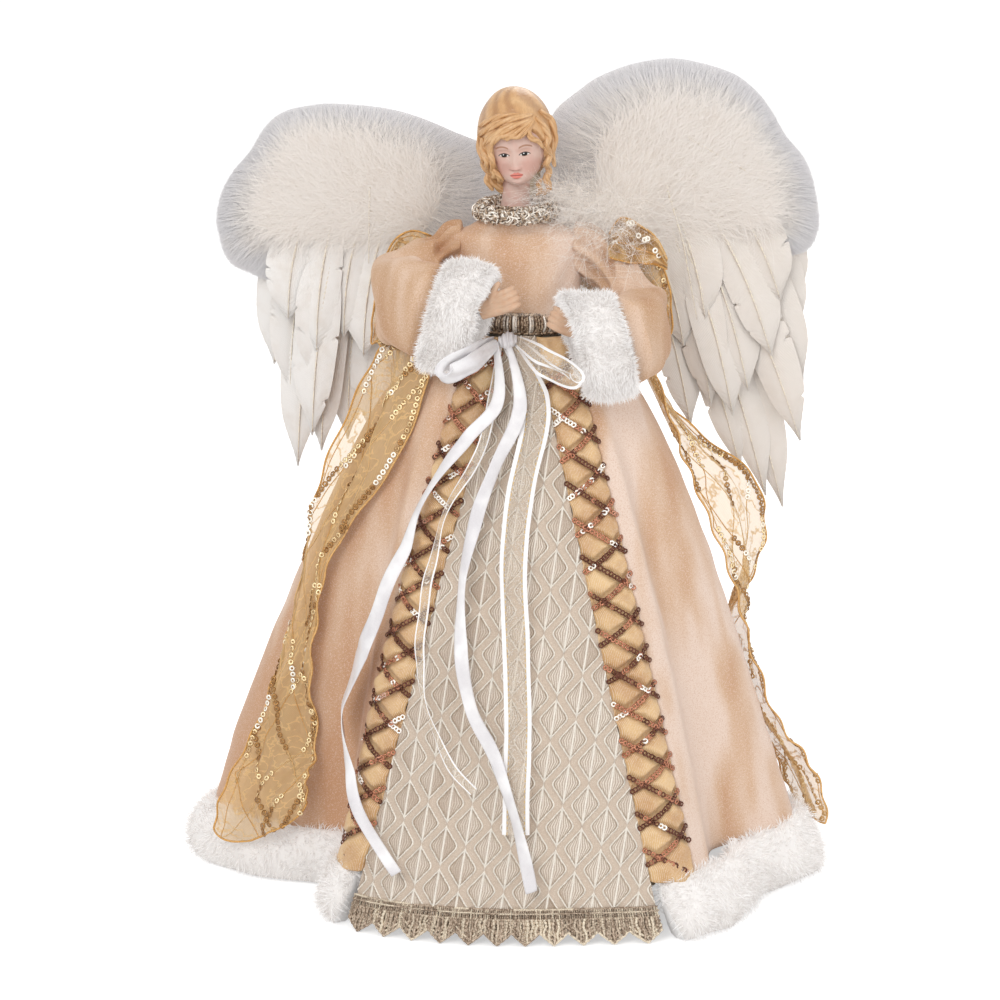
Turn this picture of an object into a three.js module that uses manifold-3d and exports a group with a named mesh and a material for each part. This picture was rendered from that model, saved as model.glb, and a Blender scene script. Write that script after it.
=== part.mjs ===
// Angel figurine with feather wings, a sewn velvet dress and a fur hem, on a cone with a base disc.
// Millimetres, +Z up, the figure faces -Y, and left and right are as seen from the front.
// The origin is the centre of the base disc's underside.
import * as THREE from "three";
import { mergeVertices } from "three/addons/utils/BufferGeometryUtils.js";
import Module from "manifold-3d";

const wasm = await Module();
wasm.setup();

// Driving dimensions
const clearance = 0.35; // gap between pieces that touch
const overrun = 3; // how far a cutting tool runs past what it cuts
const clothThickness = 1.4;
const ribbonThickness = 0.8;

// Base and cone
const coneBaseRadius = 74;
const coneTopRadius = 13;
const coneWall = 2;
const discThickness = 3;

// Skirt, measured on the outside of the cloth
const waistHeight = 274;
const coneTopGap = 12; // from the top of the cone to the waist
const coneHeight = waistHeight - coneTopGap;
const waistHalfWidth = 26;
const waistHalfDepth = 21;
const hemHalfWidth = 140;
const hemFrontReach = 108;
const hemBackReach = 94;
const bodyLeanWidth = 4; // the waist sits this far to the right of the base
const pleatDepth = 6;
const leftTuckDepth = 44;
const leftLobeReach = 26;
const frontLobeReach = 8;
const rightLobeReach = 9;
const rightDipDepth = 14;

// Front of the skirt
const panelWaistHalfWidth = 7;
const panelHemHalfWidth = 75;
const panelBottom = 13;
const bandWidth = 23;
const bandCrown = 2.4;
const latticeCordWidth = 2.2;
const latticeCordHeight = 0.9;
const latticeLift = 0.7;
const laceHeight = 17;
const laceThickness = 1.2;
const scallopDepth = 6;

// Fur
const furHeight = 30;
const furReach = 12; // outwards from the cloth
const furInset = 9; // inwards from the cloth
const cuffLength = 25;
const cuffHalfHeight = 31;
const cuffHalfDepth = 16;
const cuffWall = 7;

// Body
const torsoHeight = 48; // from the waist to the shoulders
const shoulderHeight = waistHeight + torsoHeight;
const shoulderHalfWidth = 30;
const shoulderHalfDepth = 15;
const chestHalfWidth = 27;
const chestHalfDepth = 19;
const torsoWaistInset = 5; // inside the waist of the skirt
const torsoWaistHalfWidth = waistHalfWidth - torsoWaistInset;
const torsoWaistHalfDepth = waistHalfDepth - torsoWaistInset;
const collarReach = 17;
const collarCord = 4;
const waistBraidHeight = 10;
const waistBraidThickness = 2.2;

// Head
const neckRadius = 9;
const plateRadius = 13;
const headHeight = 45; // chin to crown
const headHalfWidth = 19;
const headHalfDepth = 21;
const headRise = 45; // from the shoulders to the middle of the head
const headCentreHeight = shoulderHeight + headRise;

// Arms
const armReach = 62;
const armForwardReach = 42;
const wristRise = 2; // the lowest wrist lies this far above the waist
const armDropHeight = torsoHeight - wristRise;
const sleeveHalfHeight = 25;
const sleeveHalfDepth = 13;
const wireDiameter = 2.4;
const handLength = 15;
const handHalfHeight = 6.5;
const handHalfThickness = 4;

// Bow
const knotWidth = 11;
const knotHeight = 10;
const knotDepth = 10;
const knotRise = 2; // above the waist line
const loopInset = 35; // the loops stop this far inside the wrists' reach
const loopReach = armReach - loopInset;
const loopForwardReach = 37;
const loopDropHeight = 24;
const loopRibbonWidth = 9;
const satinWidth = 6.5;
const sheerWidth = 12;
const thinWidth = 4;

// Scarf
const scarfWidth = 30;
const scarfThickness = 1.2;
const scarfRipple = 2.2;
const scarfDropBottom = 18;
const scarfStandOff = 1.7; // least distance from the skirt
const scarfTopGap = 9; // from the waist down to where the cloth leaves the skirt

// Wings
const wingRootDrop = 10; // below the shoulders
const wingRootHeight = shoulderHeight - wingRootDrop;
const wingRootDepth = 37; // behind the axis of the figure
const wingGap = 3; // between the two cards
const cardThickness = 2;
const featherThickness = 1.2;
const ribThickness = 0.9; // the quill stands this much proud of the vane
const downThickness = 14; // from the middle to the front or the back
const leftWingSpan = 151;
const leftWingRise = 65;
const leftWingDrop = 118;
const rightWingSpan = 146;
const rightWingRise = 88;
const rightWingDrop = 138;
const flightFeatherWidth = 23;
const covertFeatherWidth = 25;
const padHalfWidth = 8;
const padHeight = 26;
const padCorner = 3;

// Angles in degrees and counts
const wingSweepDegrees = 9;
const headTurnDegrees = -2;
const headNodDegrees = 7;
const headRollDegrees = -5;
const scallopCount = 14;
const latticeCells = 13;
const pleatCount = 7;
const roundSides = 30;

const degrees = THREE.MathUtils.degToRad;
const mix = THREE.MathUtils.lerp;
const clamp = THREE.MathUtils.clamp;
const at = (x, y, z) => new THREE.Vector3(x, y, z);

// A closed geometry from points and triangles, turned so that its faces point out
function closedSolid(points, faces) {
  const geometry = new THREE.BufferGeometry().setFromPoints(points);
  let volume = 0;
  for (const [a, b, c] of faces)
    volume += points[a].dot(new THREE.Vector3().crossVectors(points[b], points[c]));
  const outward = volume < 0 ? faces.map(([a, b, c]) => [a, c, b]) : faces;
  geometry.setIndex(outward.flat());
  return geometry;
}

// A sheet between two matching grids of points, each given for u and v from 0 to 1
function sheet(columns, rows, outerAt, innerAt) {
  const points = [];
  for (const side of [outerAt, innerAt])
    for (let i = 0; i <= columns; i++)
      for (let j = 0; j <= rows; j++) points.push(side(i / columns, j / rows));
  const half = (columns + 1) * (rows + 1);
  const index = (side, i, j) => side * half + i * (rows + 1) + j;
  const faces = [];
  const quad = (a, b, c, d) => faces.push([a, b, c], [a, c, d]);
  for (let i = 0; i < columns; i++)
    for (let j = 0; j < rows; j++) {
      quad(index(0, i, j), index(0, i + 1, j), index(0, i + 1, j + 1), index(0, i, j + 1));
      quad(index(1, i, j), index(1, i, j + 1), index(1, i + 1, j + 1), index(1, i + 1, j));
    }
  for (let i = 0; i < columns; i++) {
    quad(index(0, i, 0), index(1, i, 0), index(1, i + 1, 0), index(0, i + 1, 0));
    quad(index(0, i + 1, rows), index(1, i + 1, rows), index(1, i, rows), index(0, i, rows));
  }
  for (let j = 0; j < rows; j++) {
    quad(index(0, 0, j + 1), index(1, 0, j + 1), index(1, 0, j), index(0, 0, j));
    quad(index(0, columns, j), index(1, columns, j), index(1, columns, j + 1), index(0, columns, j + 1));
  }
  return closedSolid(points, faces);
}

// A solid through a row of rings with the same number of points; closed joins the last ring to the first
function loft(rings, closed = false) {
  const sides = rings[0].length;
  const points = rings.flat();
  const faces = [];
  const spans = closed ? rings.length : rings.length - 1;
  for (let i = 0; i < spans; i++) {
    const here = i * sides;
    const next = ((i + 1) % rings.length) * sides;
    for (let j = 0; j < sides; j++) {
      const k = (j + 1) % sides;
      faces.push([here + j, here + k, next + k], [here + j, next + k, next + j]);
    }
  }
  if (!closed)
    for (const [start, flip] of [
      [0, true],
      [(rings.length - 1) * sides, false],
    ]) {
      const ring = points.slice(start, start + sides);
      const middle = ring.reduce((sum, p) => sum.add(p), at(0, 0, 0)).divideScalar(sides);
      points.push(middle);
      const centre = points.length - 1;
      for (let j = 0; j < sides; j++) {
        const k = (j + 1) % sides;
        faces.push(flip ? [start + k, start + j, centre] : [start + j, start + k, centre]);
      }
    }
  return closedSolid(points, faces);
}

// A solid from a flat plan: its triangles run anticlockwise, front and back place each point of the plan
function thicken(plan, front, back) {
  const count = plan.points.length;
  const points = [...plan.points.map(front), ...plan.points.map(back)];
  const faces = [];
  const edges = new Map();
  for (const [a, b, c] of plan.triangles) {
    faces.push([a, b, c], [count + a, count + c, count + b]);
    for (const [p, q] of [
      [a, b],
      [b, c],
      [c, a],
    ])
      edges.set(p + "," + q, [p, q]);
  }
  for (const [p, q] of edges.values())
    if (!edges.has(q + "," + p)) faces.push([q, p, count + p], [q, count + p, count + q]);
  return closedSolid(points, faces);
}

// The plan of an outline given as points in order
function outlinePlan(outline) {
  const points = THREE.ShapeUtils.isClockWise(outline) ? outline.toReversed() : outline;
  return { points, triangles: THREE.ShapeUtils.triangulateShape(points, []) };
}

// An oval ring of points about a centre, in the plane of two unit directions
function ovalRing(centre, across, upward, halfWidth, halfHeight, sides) {
  return Array.from({ length: sides }, (_, i) => {
    const turn = (i / sides) * 2 * Math.PI;
    return centre
      .clone()
      .addScaledVector(across, halfWidth * Math.cos(turn))
      .addScaledVector(upward, halfHeight * Math.sin(turn));
  });
}

// Booleans
function toManifold(geometry) {
  const bare = geometry.index ? geometry.toNonIndexed() : geometry.clone();
  for (const name of Object.keys(bare.attributes)) if (name !== "position") bare.deleteAttribute(name);
  const merged = mergeVertices(bare, clearance / 1000);
  return new wasm.Manifold(
    new wasm.Mesh({
      numProp: 3,
      vertProperties: merged.attributes.position.array,
      triVerts: new Uint32Array(merged.index.array),
    }),
  );
}

function fromManifold(manifold) {
  const mesh = manifold.getMesh();
  const geometry = new THREE.BufferGeometry();
  geometry.setAttribute("position", new THREE.BufferAttribute(new Float32Array(mesh.vertProperties), 3));
  geometry.setIndex(new THREE.BufferAttribute(new Uint32Array(mesh.triVerts), 1));
  return geometry;
}

const cut = (geometry, ...tools) =>
  fromManifold(tools.reduce((body, tool) => body.subtract(toManifold(tool)), toManifold(geometry)));
const join = (...geometries) =>
  fromManifold(geometries.map(toManifold).reduce((body, other) => body.add(other)));

// The largest body of a geometry, where a cut leaves a loose sliver
function mainBody(geometry) {
  const bodies = toManifold(geometry).decompose();
  return fromManifold(bodies.reduce((big, body) => (body.volume() > big.volume() ? body : big)));
}

// Skirt surface
const bell = (x) => Math.exp(-x * x);
const ovalRadius = (phi, a, b) => 1 / Math.hypot(Math.sin(phi) / a, Math.cos(phi) / b);

const skirtFolds = [
  { at: -66, width: 15, depth: -leftTuckDepth },
  { at: -104, width: 22, depth: leftLobeReach },
  { at: 42, width: 15, depth: frontLobeReach },
  { at: 72, width: 13, depth: -rightDipDepth },
  { at: 98, width: 22, depth: rightLobeReach },
];
const sideFlareShare = 0.6;
const frontFlareShare = 0.85;
const foldGrowthShare = 1.3;

// phi is the angle from the front towards the right, seen from above
function skirtRadius(phi, z) {
  const drop = clamp((waistHeight - z) / waistHeight, 0, 1);
  const waist = ovalRadius(phi, waistHalfWidth, waistHalfDepth);
  const hem = ovalRadius(phi, hemHalfWidth, Math.cos(phi) > 0 ? hemFrontReach : hemBackReach);
  const flare = mix(frontFlareShare, sideFlareShare, Math.sin(phi) ** 2);
  const turned = Math.atan2(Math.sin(phi), Math.cos(phi)) * THREE.MathUtils.RAD2DEG;
  const fold = skirtFolds.reduce((sum, f) => sum + f.depth * bell((turned - f.at) / f.width), 0);
  const pleats = pleatDepth * Math.sin(pleatCount * phi) * Math.max(0, -Math.cos(phi)) ** 0.5;
  return waist + (hem - waist) * drop ** flare + (fold + pleats) * drop ** foldGrowthShare;
}

const skirtAxisX = (z) => (bodyLeanWidth * clamp(z, 0, waistHeight)) / waistHeight;
const onSkirt = (phi, z, lift) => {
  const radius = skirtRadius(phi, z) + lift;
  return at(skirtAxisX(z) + radius * Math.sin(phi), -radius * Math.cos(phi), z);
};

// The angle at which the front of the skirt lies x to the side of its axis
function skirtAngle(x, z) {
  let phi = 0;
  for (let i = 0; i < 12; i++) phi = Math.asin(clamp(x / skirtRadius(phi, z), -0.99, 0.99));
  return phi;
}

const skirtTop = waistHeight;
const skirtRows = 10;
const rowGrowthShare = 1.8;
const skirtLevels = Array.from(
  { length: skirtRows + 1 },
  (_, i) => skirtTop * (1 - (i / skirtRows) ** rowGrowthShare),
);

// The levels of the skirt between a top and a bottom height, with both ends
const levelsBetween = (top, bottom) => [
  top,
  ...skirtLevels.filter((z) => z < top - clothThickness && z > bottom + clothThickness),
  bottom,
];

// A piece of cloth on the skirt: from and to give its edges at each height, lift how far it stands off
function skirtCloth({ from, to, top, bottom, thickness, columns, crown = 0 }) {
  const levels = levelsBetween(top, bottom);
  const rows = levels.length - 1;
  const point = (u, v, lift) => {
    const z = levels[Math.round(v * rows)];
    return onSkirt(mix(from(z), to(z), u), z, lift + crown * Math.sin(Math.PI * u));
  };
  return sheet(
    columns,
    rows,
    (u, v) => point(u, v, 0),
    (u, v) => point(u, v, -thickness),
  );
}

// Edges of the panel, the two bands and the velvet, as angles at a height
const panelHalfWidth = (z) => mix(panelHemHalfWidth, panelWaistHalfWidth, clamp(z / skirtTop, 0, 1));
const alongSkirt = (phi, z, distance) => phi + distance / skirtRadius(phi + distance / hemFrontReach, z);
const panelLeft = (z) => skirtAngle(-panelHalfWidth(z), z);
const panelRight = (z) => skirtAngle(panelHalfWidth(z), z);
const bandWidthAt = (z) => bandWidth * mix(1, 0.62, clamp(z / skirtTop, 0, 1) ** 2);
const bandLeft = (z) => alongSkirt(panelLeft(z), z, -bandWidthAt(z) - clearance);
const bandRight = (z) => alongSkirt(panelRight(z), z, bandWidthAt(z) + clearance);
const past = (edge, distance) => (z) => alongSkirt(edge(z), z, distance);

const figure = new THREE.Group();
const materials = {
  card: [0xc9b899, 0.9, 0],
  foam: [0xf2f0ea, 0.9, 0],
  steel: [0xa8a8a8, 0.35, 1],
  skin: [0xe6c4b2, 0.5, 0],
  velvet: [0xdcb491, 0.75, 0],
  brocade: [0xded0b6, 0.6, 0],
  satin: [0xdcb981, 0.45, 0],
  sequin: [0x7d4a34, 0.25, 0.8],
  braid: [0xa8977a, 0.5, 0.4],
  fur: [0xf4f3f1, 0.95, 0],
  ribbon: [0xf5f3f1, 0.35, 0],
  sheer: [0xe6dacd, 0.4, 0],
  organza: [0xd9a94f, 0.4, 0.1],
  feather: [0xf1ebe0, 0.8, 0],
  down: [0xf7f4ee, 0.95, 0],
};

function piece(name, geometry, material, parent = figure) {
  const [color, roughness, metalness] = materials[material];
  const mesh = new THREE.Mesh(geometry, new THREE.MeshStandardMaterial({ color, roughness, metalness }));
  mesh.name = name;
  parent.add(mesh);
  return mesh;
}

// Base disc and support cone
const coneRadius = (z) => mix(coneBaseRadius, coneTopRadius, z / coneHeight);
function coneGeometry() {
  const profile = [
    [coneBaseRadius, 0],
    [coneTopRadius, coneHeight],
    [coneTopRadius - coneWall, coneHeight],
    [coneBaseRadius - coneWall, 0],
    [coneBaseRadius, 0],
  ];
  const geometry = new THREE.LatheGeometry(
    profile.map(([r, z]) => new THREE.Vector2(r, z)),
    roundSides,
  );
  return geometry.rotateX(Math.PI / 2);
}

function discGeometry() {
  const radius = coneRadius(discThickness) - coneWall - clearance;
  const geometry = new THREE.CylinderGeometry(radius, radius, discThickness, roundSides);
  return geometry.rotateX(Math.PI / 2).translate(0, 0, discThickness / 2);
}

piece("support_cone", coneGeometry(), "card");
piece("base_disc", discGeometry(), "card");

// Skirt: brocade panel, satin bands with sequin lattices, velvet coat
piece(
  "front_panel",
  skirtCloth({
    from: past(panelLeft, clearance / 2),
    to: past(panelRight, -clearance / 2),
    top: skirtTop,
    bottom: panelBottom,
    thickness: clothThickness,
    columns: 12,
  }),
  "brocade",
);

const bandEdges = {
  left: [past(bandLeft, clearance / 2), past(panelLeft, -clearance / 2)],
  right: [past(panelRight, clearance / 2), past(bandRight, -clearance / 2)],
};
const clothBottom = furHeight + clearance;

for (const side of ["left", "right"])
  piece(
    side + "_sequin_band",
    skirtCloth({
      from: bandEdges[side][0],
      to: bandEdges[side][1],
      top: skirtTop,
      bottom: clothBottom,
      thickness: clothThickness,
      columns: 5,
      crown: bandCrown,
    }),
    "satin",
  );

piece(
  "velvet_skirt",
  skirtCloth({
    from: past(bandRight, clearance / 2),
    to: (z) => past(bandLeft, -clearance / 2)(z) + 2 * Math.PI,
    top: skirtTop,
    bottom: clothBottom,
    thickness: clothThickness,
    columns: 35,
  }),
  "velvet",
);

// Sequin lattice: cords that cross near either edge of a band in turn, as one zigzag with arms
const nearEdgeShare = 0.22;
const latticeMarginShare = 0.03;

function latticePlan(width, bottom, top) {
  const cell = (top - bottom) / (latticeCells + 1);
  const steep = Math.atan2(cell / 2, (1 - 2 * nearEdgeShare) * width);
  const half = latticeCordWidth / 2;
  const [wide, tall] = [half / Math.sin(steep), half / Math.cos(steep)];
  const plan = { points: [], triangles: [] };
  const point = (x, z) => plan.points.push(new THREE.Vector2(x, z)) - 1;
  const between = (a, b) => {
    const middle = plan.points[a].clone().lerp(plan.points[b], 0.5);
    return point(middle.x, middle.y);
  };
  const quad = (a, b, c, d) => plan.triangles.push([a, b, c], [a, c, d]);
  const crossing = (x, z) => {
    const corner = {
      left: point(x - wide, z),
      low: point(x, z - tall),
      right: point(x + wide, z),
      high: point(x, z + tall),
    };
    quad(corner.left, corner.low, corner.right, corner.high);
    return corner;
  };
  // a cord between two crossings, with a step in its middle: a to b is one edge, c to d the other
  const cord = (a, b, c, d) => {
    const [low, high] = [between(a, b), between(c, d)];
    quad(a, low, high, d);
    quad(low, b, c, high);
  };
  // an arm from the corners a and b of a crossing out to the band's edge, rising or falling
  const arm = (a, b, edge, way) => {
    const reach = (corner) => {
      const from = plan.points[corner];
      return point(edge, from.y + way * Math.abs(edge - from.x) * Math.tan(steep));
    };
    quad(a, reach(a), reach(b), b);
  };
  const edges = [latticeMarginShare * width, (1 - latticeMarginShare) * width];
  let last = null;
  for (let i = 0; i <= latticeCells; i++) {
    const z = bottom + (i + 0.25) * cell;
    const left = crossing(nearEdgeShare * width, z);
    const right = crossing((1 - nearEdgeShare) * width, z + cell / 2);
    cord(left.right, right.low, right.left, left.high);
    if (last) cord(last.high, left.right, left.low, last.left);
    arm(left.high, left.left, edges[0], 1);
    arm(left.left, left.low, edges[0], -1);
    arm(right.right, right.high, edges[1], 1);
    arm(right.low, right.right, edges[1], -1);
    last = right;
  }
  return plan;
}

function latticeGeometry(side) {
  const [from, to] = bandEdges[side];
  const place = (lift) => (p) => {
    const across = p.x / bandWidth;
    const z = clamp(p.y, clothBottom, skirtTop);
    return onSkirt(mix(from(z), to(z), across), z, bandCrown * Math.sin(Math.PI * across) + lift);
  };
  const plan = latticePlan(bandWidth, clothBottom + latticeCordWidth * 2, skirtTop - latticeCordWidth * 3);
  return thicken(plan, place(latticeLift + latticeCordHeight), place(latticeLift));
}

for (const side of ["left", "right"]) piece(side + "_sequin_lattice", latticeGeometry(side), "sequin");

// Lace along the foot of the panel, with scallops that reach the floor
function laceGeometry() {
  const steps = scallopCount * 3;
  const point = (u, v, lift) => {
    const dip = Math.abs(Math.sin(Math.PI * scallopCount * u));
    const foot = scallopDepth * (1 - dip ** 0.6);
    const z = mix(laceHeight, foot, v);
    const phi = mix(past(panelLeft, clearance)(z), past(panelRight, -clearance)(z), u);
    return onSkirt(phi, z, lift + clearance);
  };
  return sheet(
    steps,
    2,
    (u, v) => point(u, v, laceThickness),
    (u, v) => point(u, v, 0),
  );
}

piece("hem_lace", laceGeometry(), "braid");

// Fur roll along the foot of the bands and the velvet, flat where it stands
function furHemGeometry() {
  const from = past(panelRight, 2 * clearance + laceThickness)(furHeight / 2);
  const to = past(panelLeft, -2 * clearance - laceThickness)(furHeight / 2) + 2 * Math.PI;
  const steps = 44;
  // outline of the roll: across is inwards to outwards, up is floor to top
  const outlineShares = [
    [-0.6, 0],
    [0.55, 0],
    [0.95, 0.25],
    [1, 0.6],
    [0.7, 0.9],
    [0.1, 1],
    [-0.7, 0.85],
    [-1, 0.4],
  ];
  const rings = [];
  for (let i = 0; i <= steps; i++) {
    const phi = mix(from, to, i / steps);
    rings.push(
      outlineShares.map(([across, rise]) => {
        const lift = across > 0 ? across * furReach : across * furInset;
        return onSkirt(phi, rise * furHeight, lift);
      }),
    );
  }
  return loft(rings);
}

piece("fur_hem", furHemGeometry(), "fur");

// Torso form, bodice and the two braids; grow widens a form for the tool that clears it
const torsoAxisX = (z) =>
  bodyLeanWidth * clamp((shoulderHeight + plateRadius - z) / (shoulderHeight - waistHeight), 0, 1);
const torsoBottom = coneHeight + clearance;
const torsoRows = [
  // height share from the torso's foot to the shoulder, half width, half depth
  [0, torsoWaistHalfWidth * 0.8, torsoWaistHalfDepth * 0.8],
  [0.25, torsoWaistHalfWidth, torsoWaistHalfDepth],
  [0.5, mix(torsoWaistHalfWidth, chestHalfWidth, 0.7), mix(torsoWaistHalfDepth, chestHalfDepth, 0.8)],
  [0.75, chestHalfWidth, chestHalfDepth],
  [0.93, shoulderHalfWidth, shoulderHalfDepth],
  [1, shoulderHalfWidth * 0.72, shoulderHalfDepth * 0.8],
];

function torsoGeometry(grow, low = torsoBottom) {
  const rings = torsoRows.map(([share, halfWidth, halfDepth]) => {
    const z = mix(torsoBottom, shoulderHeight, share);
    const height = share === 0 ? low : z + grow * share;
    const centre = at(torsoAxisX(z), 0, height);
    return ovalRing(centre, at(1, 0, 0), at(0, 1, 0), halfWidth + grow, halfDepth + grow, 24);
  });
  return loft(rings);
}

// Wire armature from hand to hand, through both sleeves and the torso
const armShares = {
  // share of the reach outwards, of the reach forwards, and of the drop from the shoulder
  left: [
    [0.4, 0, 0.14],
    [0.61, 0, 0.31],
    [0.87, 0.2, 0.68],
    [0.8, 0.55, 0.7],
    [0.61, 0.82, 0.77],
    [0.36, 0.95, 0.8],
    [0.05, 1.05, 0.6],
  ],
  right: [
    [0.44, 0, 0.14],
    [0.74, 0, 0.42],
    [0.97, 0.18, 0.92],
    [0.97, 0.55, 1],
    [0.87, 0.87, 1.04],
    [0.7, 1.02, 1],
    [0.41, 1.1, 0.8],
  ],
};
const armSide = { left: -1, right: 1 };
const armTop = shoulderHeight + clearance;
const armPoint = (side, [out, ahead, down]) =>
  at(armSide[side] * armReach * out, -armForwardReach * ahead, armTop - armDropHeight * down);
const armPoints = (side) => armShares[side].map((shares) => armPoint(side, shares));

function wireGeometry(grow) {
  const left = armPoints("left").reverse();
  const right = armPoints("right");
  const middle = at(bodyLeanWidth / 2, 0, armTop - armDropHeight * 0.2);
  const curve = new THREE.CatmullRomCurve3([...left, middle, ...right], false, "centripetal");
  const steps = 42;
  const rings = [];
  for (let i = 0; i <= steps; i++) {
    const tangent = curve.getTangentAt(i / steps);
    const upward = at(0, 0, 1).addScaledVector(tangent, -tangent.z).normalize();
    const across = new THREE.Vector3().crossVectors(tangent, upward).normalize();
    const radius = wireDiameter / 2 + grow;
    const reach = i === 0 ? -grow : i === steps ? grow : 0;
    const place = curve.getPointAt(i / steps).addScaledVector(tangent, reach);
    rings.push(ovalRing(place, across, upward, radius, radius, 6));
  }
  return loft(rings);
}

const wireTool = wireGeometry(clearance);
piece("arm_wire", wireGeometry(0), "steel");

// Head: skull with moulded hair, face, neck and shoulder plate in one casting
const headAxisX = bodyLeanWidth * 0.1;
const headPose = new THREE.Matrix4().compose(
  at(headAxisX, 0, headCentreHeight),
  new THREE.Quaternion().setFromEuler(
    new THREE.Euler(degrees(headNodDegrees), degrees(headRollDegrees), degrees(headTurnDegrees), "ZYX"),
  ),
  at(1, 1, 1),
);

// The face's relief at a place on the skull, as shares of the head's half width and half height
const faceReliefShares = [
  // across, up, half width, half height, depth share
  [0, -0.34, 0.1, 0.24, 0.09],
  [0, -0.52, 0.16, 0.1, 0.11],
  [0, -0.73, 0.22, 0.08, 0.05],
  [0, -0.97, 0.26, 0.14, 0.07],
  [-0.3, -0.22, 0.18, 0.11, -0.05],
  [0.3, -0.22, 0.18, 0.11, -0.05],
  [-0.4, -0.5, 0.26, 0.22, 0.05],
  [0.4, -0.5, 0.26, 0.22, 0.05],
];

function skullGeometry(grow) {
  const ball = new THREE.SphereGeometry(1, 24, 18).deleteAttribute("uv").deleteAttribute("normal");
  const geometry = mergeVertices(ball);
  geometry.rotateX(Math.PI / 2);
  const position = geometry.attributes.position;
  const half = headHeight / 2;
  for (let i = 0; i < position.count; i++) {
    const p = new THREE.Vector3().fromBufferAttribute(position, i);
    const front = Math.max(0, -p.y);
    const jaw = clamp(-p.z, 0, 1);
    const face = clamp((front - 0.45) / 0.2, 0, 1) * clamp((0.35 - p.z) / 0.2, 0, 1);
    const hair = (1 - face) * (0.1 + 0.03 * Math.sin(9 * Math.atan2(p.x, -p.y) + 6 * p.z));
    const relief = faceReliefShares.reduce(
      (sum, [x, z, w, h, depth]) => sum + depth * bell((p.x - x) / w) * bell((p.z - z) / h),
      0,
    );
    const narrow = 1 - 0.3 * jaw ** 1.5 * (p.y < 0.2 ? 1 : 0.3);
    const reach = 0.9 + hair + face * relief;
    position.setXYZ(
      i,
      p.x * (headHalfWidth * reach * narrow + grow),
      p.y * (headHalfDepth * reach * (p.y > 0 ? 1 : 0.94) + grow),
      p.z * (half * (p.z > 0 ? 0.9 + hair : 1) + grow),
    );
  }
  return geometry.applyMatrix4(headPose);
}

const plateBottom = shoulderHeight + clearance;
const neckFlareShare = 1.2;
function neckGeometry(grow) {
  // radius, and the height as a share of the neck's
  const neckRings = [
    [plateRadius, 0],
    [plateRadius * 0.95, 0.12],
    [neckRadius * neckFlareShare, 0.3],
    [neckRadius, 0.55],
    [neckRadius, 1],
  ];
  const topOfNeck = headCentreHeight - headHeight * 0.25;
  return loft(
    neckRings.map(([radius, share]) => {
      const z = mix(plateBottom, topOfNeck, share) + (share === 1 ? grow : 0) - (share === 0 ? grow : 0);
      return ovalRing(at(headAxisX, 0, z), at(1, 0, 0), at(0, 1, 0), radius + grow, radius + grow, 18);
    }),
  );
}

// A lock of hair that falls from the temple to the collar on one side, and shorter curls on the other
function lockGeometry(grow) {
  const shares = [
    [-0.86, -0.3, 0.1, 0.2],
    [-0.93, -0.25, -0.3, 0.24],
    [-0.78, -0.25, -0.75, 0.26],
    [-0.58, -0.3, -1.15, 0.24],
    [-0.46, -0.34, -1.42, 0.12],
  ];
  return loft(
    shares.map(([x, y, z, radius]) =>
      ovalRing(
        at(x * headHalfWidth, y * headHalfDepth, (z * headHeight) / 2),
        at(1, 0, 0),
        at(0, 1, 0),
        radius * headHalfWidth + grow,
        radius * headHalfWidth + grow,
        8,
      ),
    ),
  ).applyMatrix4(headPose);
}

const headGeometry = (grow) => join(skullGeometry(grow), neckGeometry(grow), lockGeometry(grow));
const headTool = headGeometry(clearance);
piece("head", headGeometry(0), "skin");

piece("torso_form", cut(torsoGeometry(0), wireTool), "foam");

// The bodice is the torso's own form one cloth thickness out, up to the foot of the neck
const bodiceGrow = clearance + clothThickness;
function bodiceOuter(grow) {
  const neckRise = plateRadius * 0.5;
  const out = bodiceGrow + grow;
  const rings = torsoRows.map(([share, halfWidth, halfDepth], i) => {
    const z = mix(torsoBottom, shoulderHeight, share);
    const height = i === 1 ? skirtTop + clearance - grow : z + out * share;
    const centre = at(torsoAxisX(z), 0, height);
    return ovalRing(centre, at(1, 0, 0), at(0, 1, 0), halfWidth + out, halfDepth + out, 24);
  });
  const neckOpening = plateRadius + bodiceGrow + grow;
  const top = shoulderHeight + neckRise + grow;
  rings.push(ovalRing(at(headAxisX, 0, top), at(1, 0, 0), at(0, 1, 0), neckOpening, neckOpening, 24));
  return loft(rings.slice(1));
}
const bodiceTool = bodiceOuter(clearance);
const neckPassage = new THREE.CylinderGeometry(
  neckRadius * neckFlareShare + clearance,
  neckRadius * neckFlareShare + clearance,
  plateRadius * 3,
  24,
)
  .rotateX(Math.PI / 2)
  .translate(headAxisX, 0, shoulderHeight + plateRadius);
const torsoTool = torsoGeometry(clearance, torsoBottom - overrun);
piece("bodice", mainBody(cut(bodiceOuter(0), torsoTool, headTool, neckPassage, wireTool)), "velvet");

// Braid with a knobbly surface, as a ring of sections about an upright axis
function braidGeometry(count, sectionAt, ringAt) {
  const rings = [];
  for (let i = 0; i < count; i++) {
    const phi = (i / count) * 2 * Math.PI;
    const swell = i % 2 ? 0.8 : 1;
    const outward = at(Math.sin(phi), -Math.cos(phi), 0);
    const section = sectionAt(phi, swell);
    rings.push(ovalRing(ringAt(phi), outward, at(0, 0, 1), section[0], section[1], 6));
  }
  return loft(rings, true);
}

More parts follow.
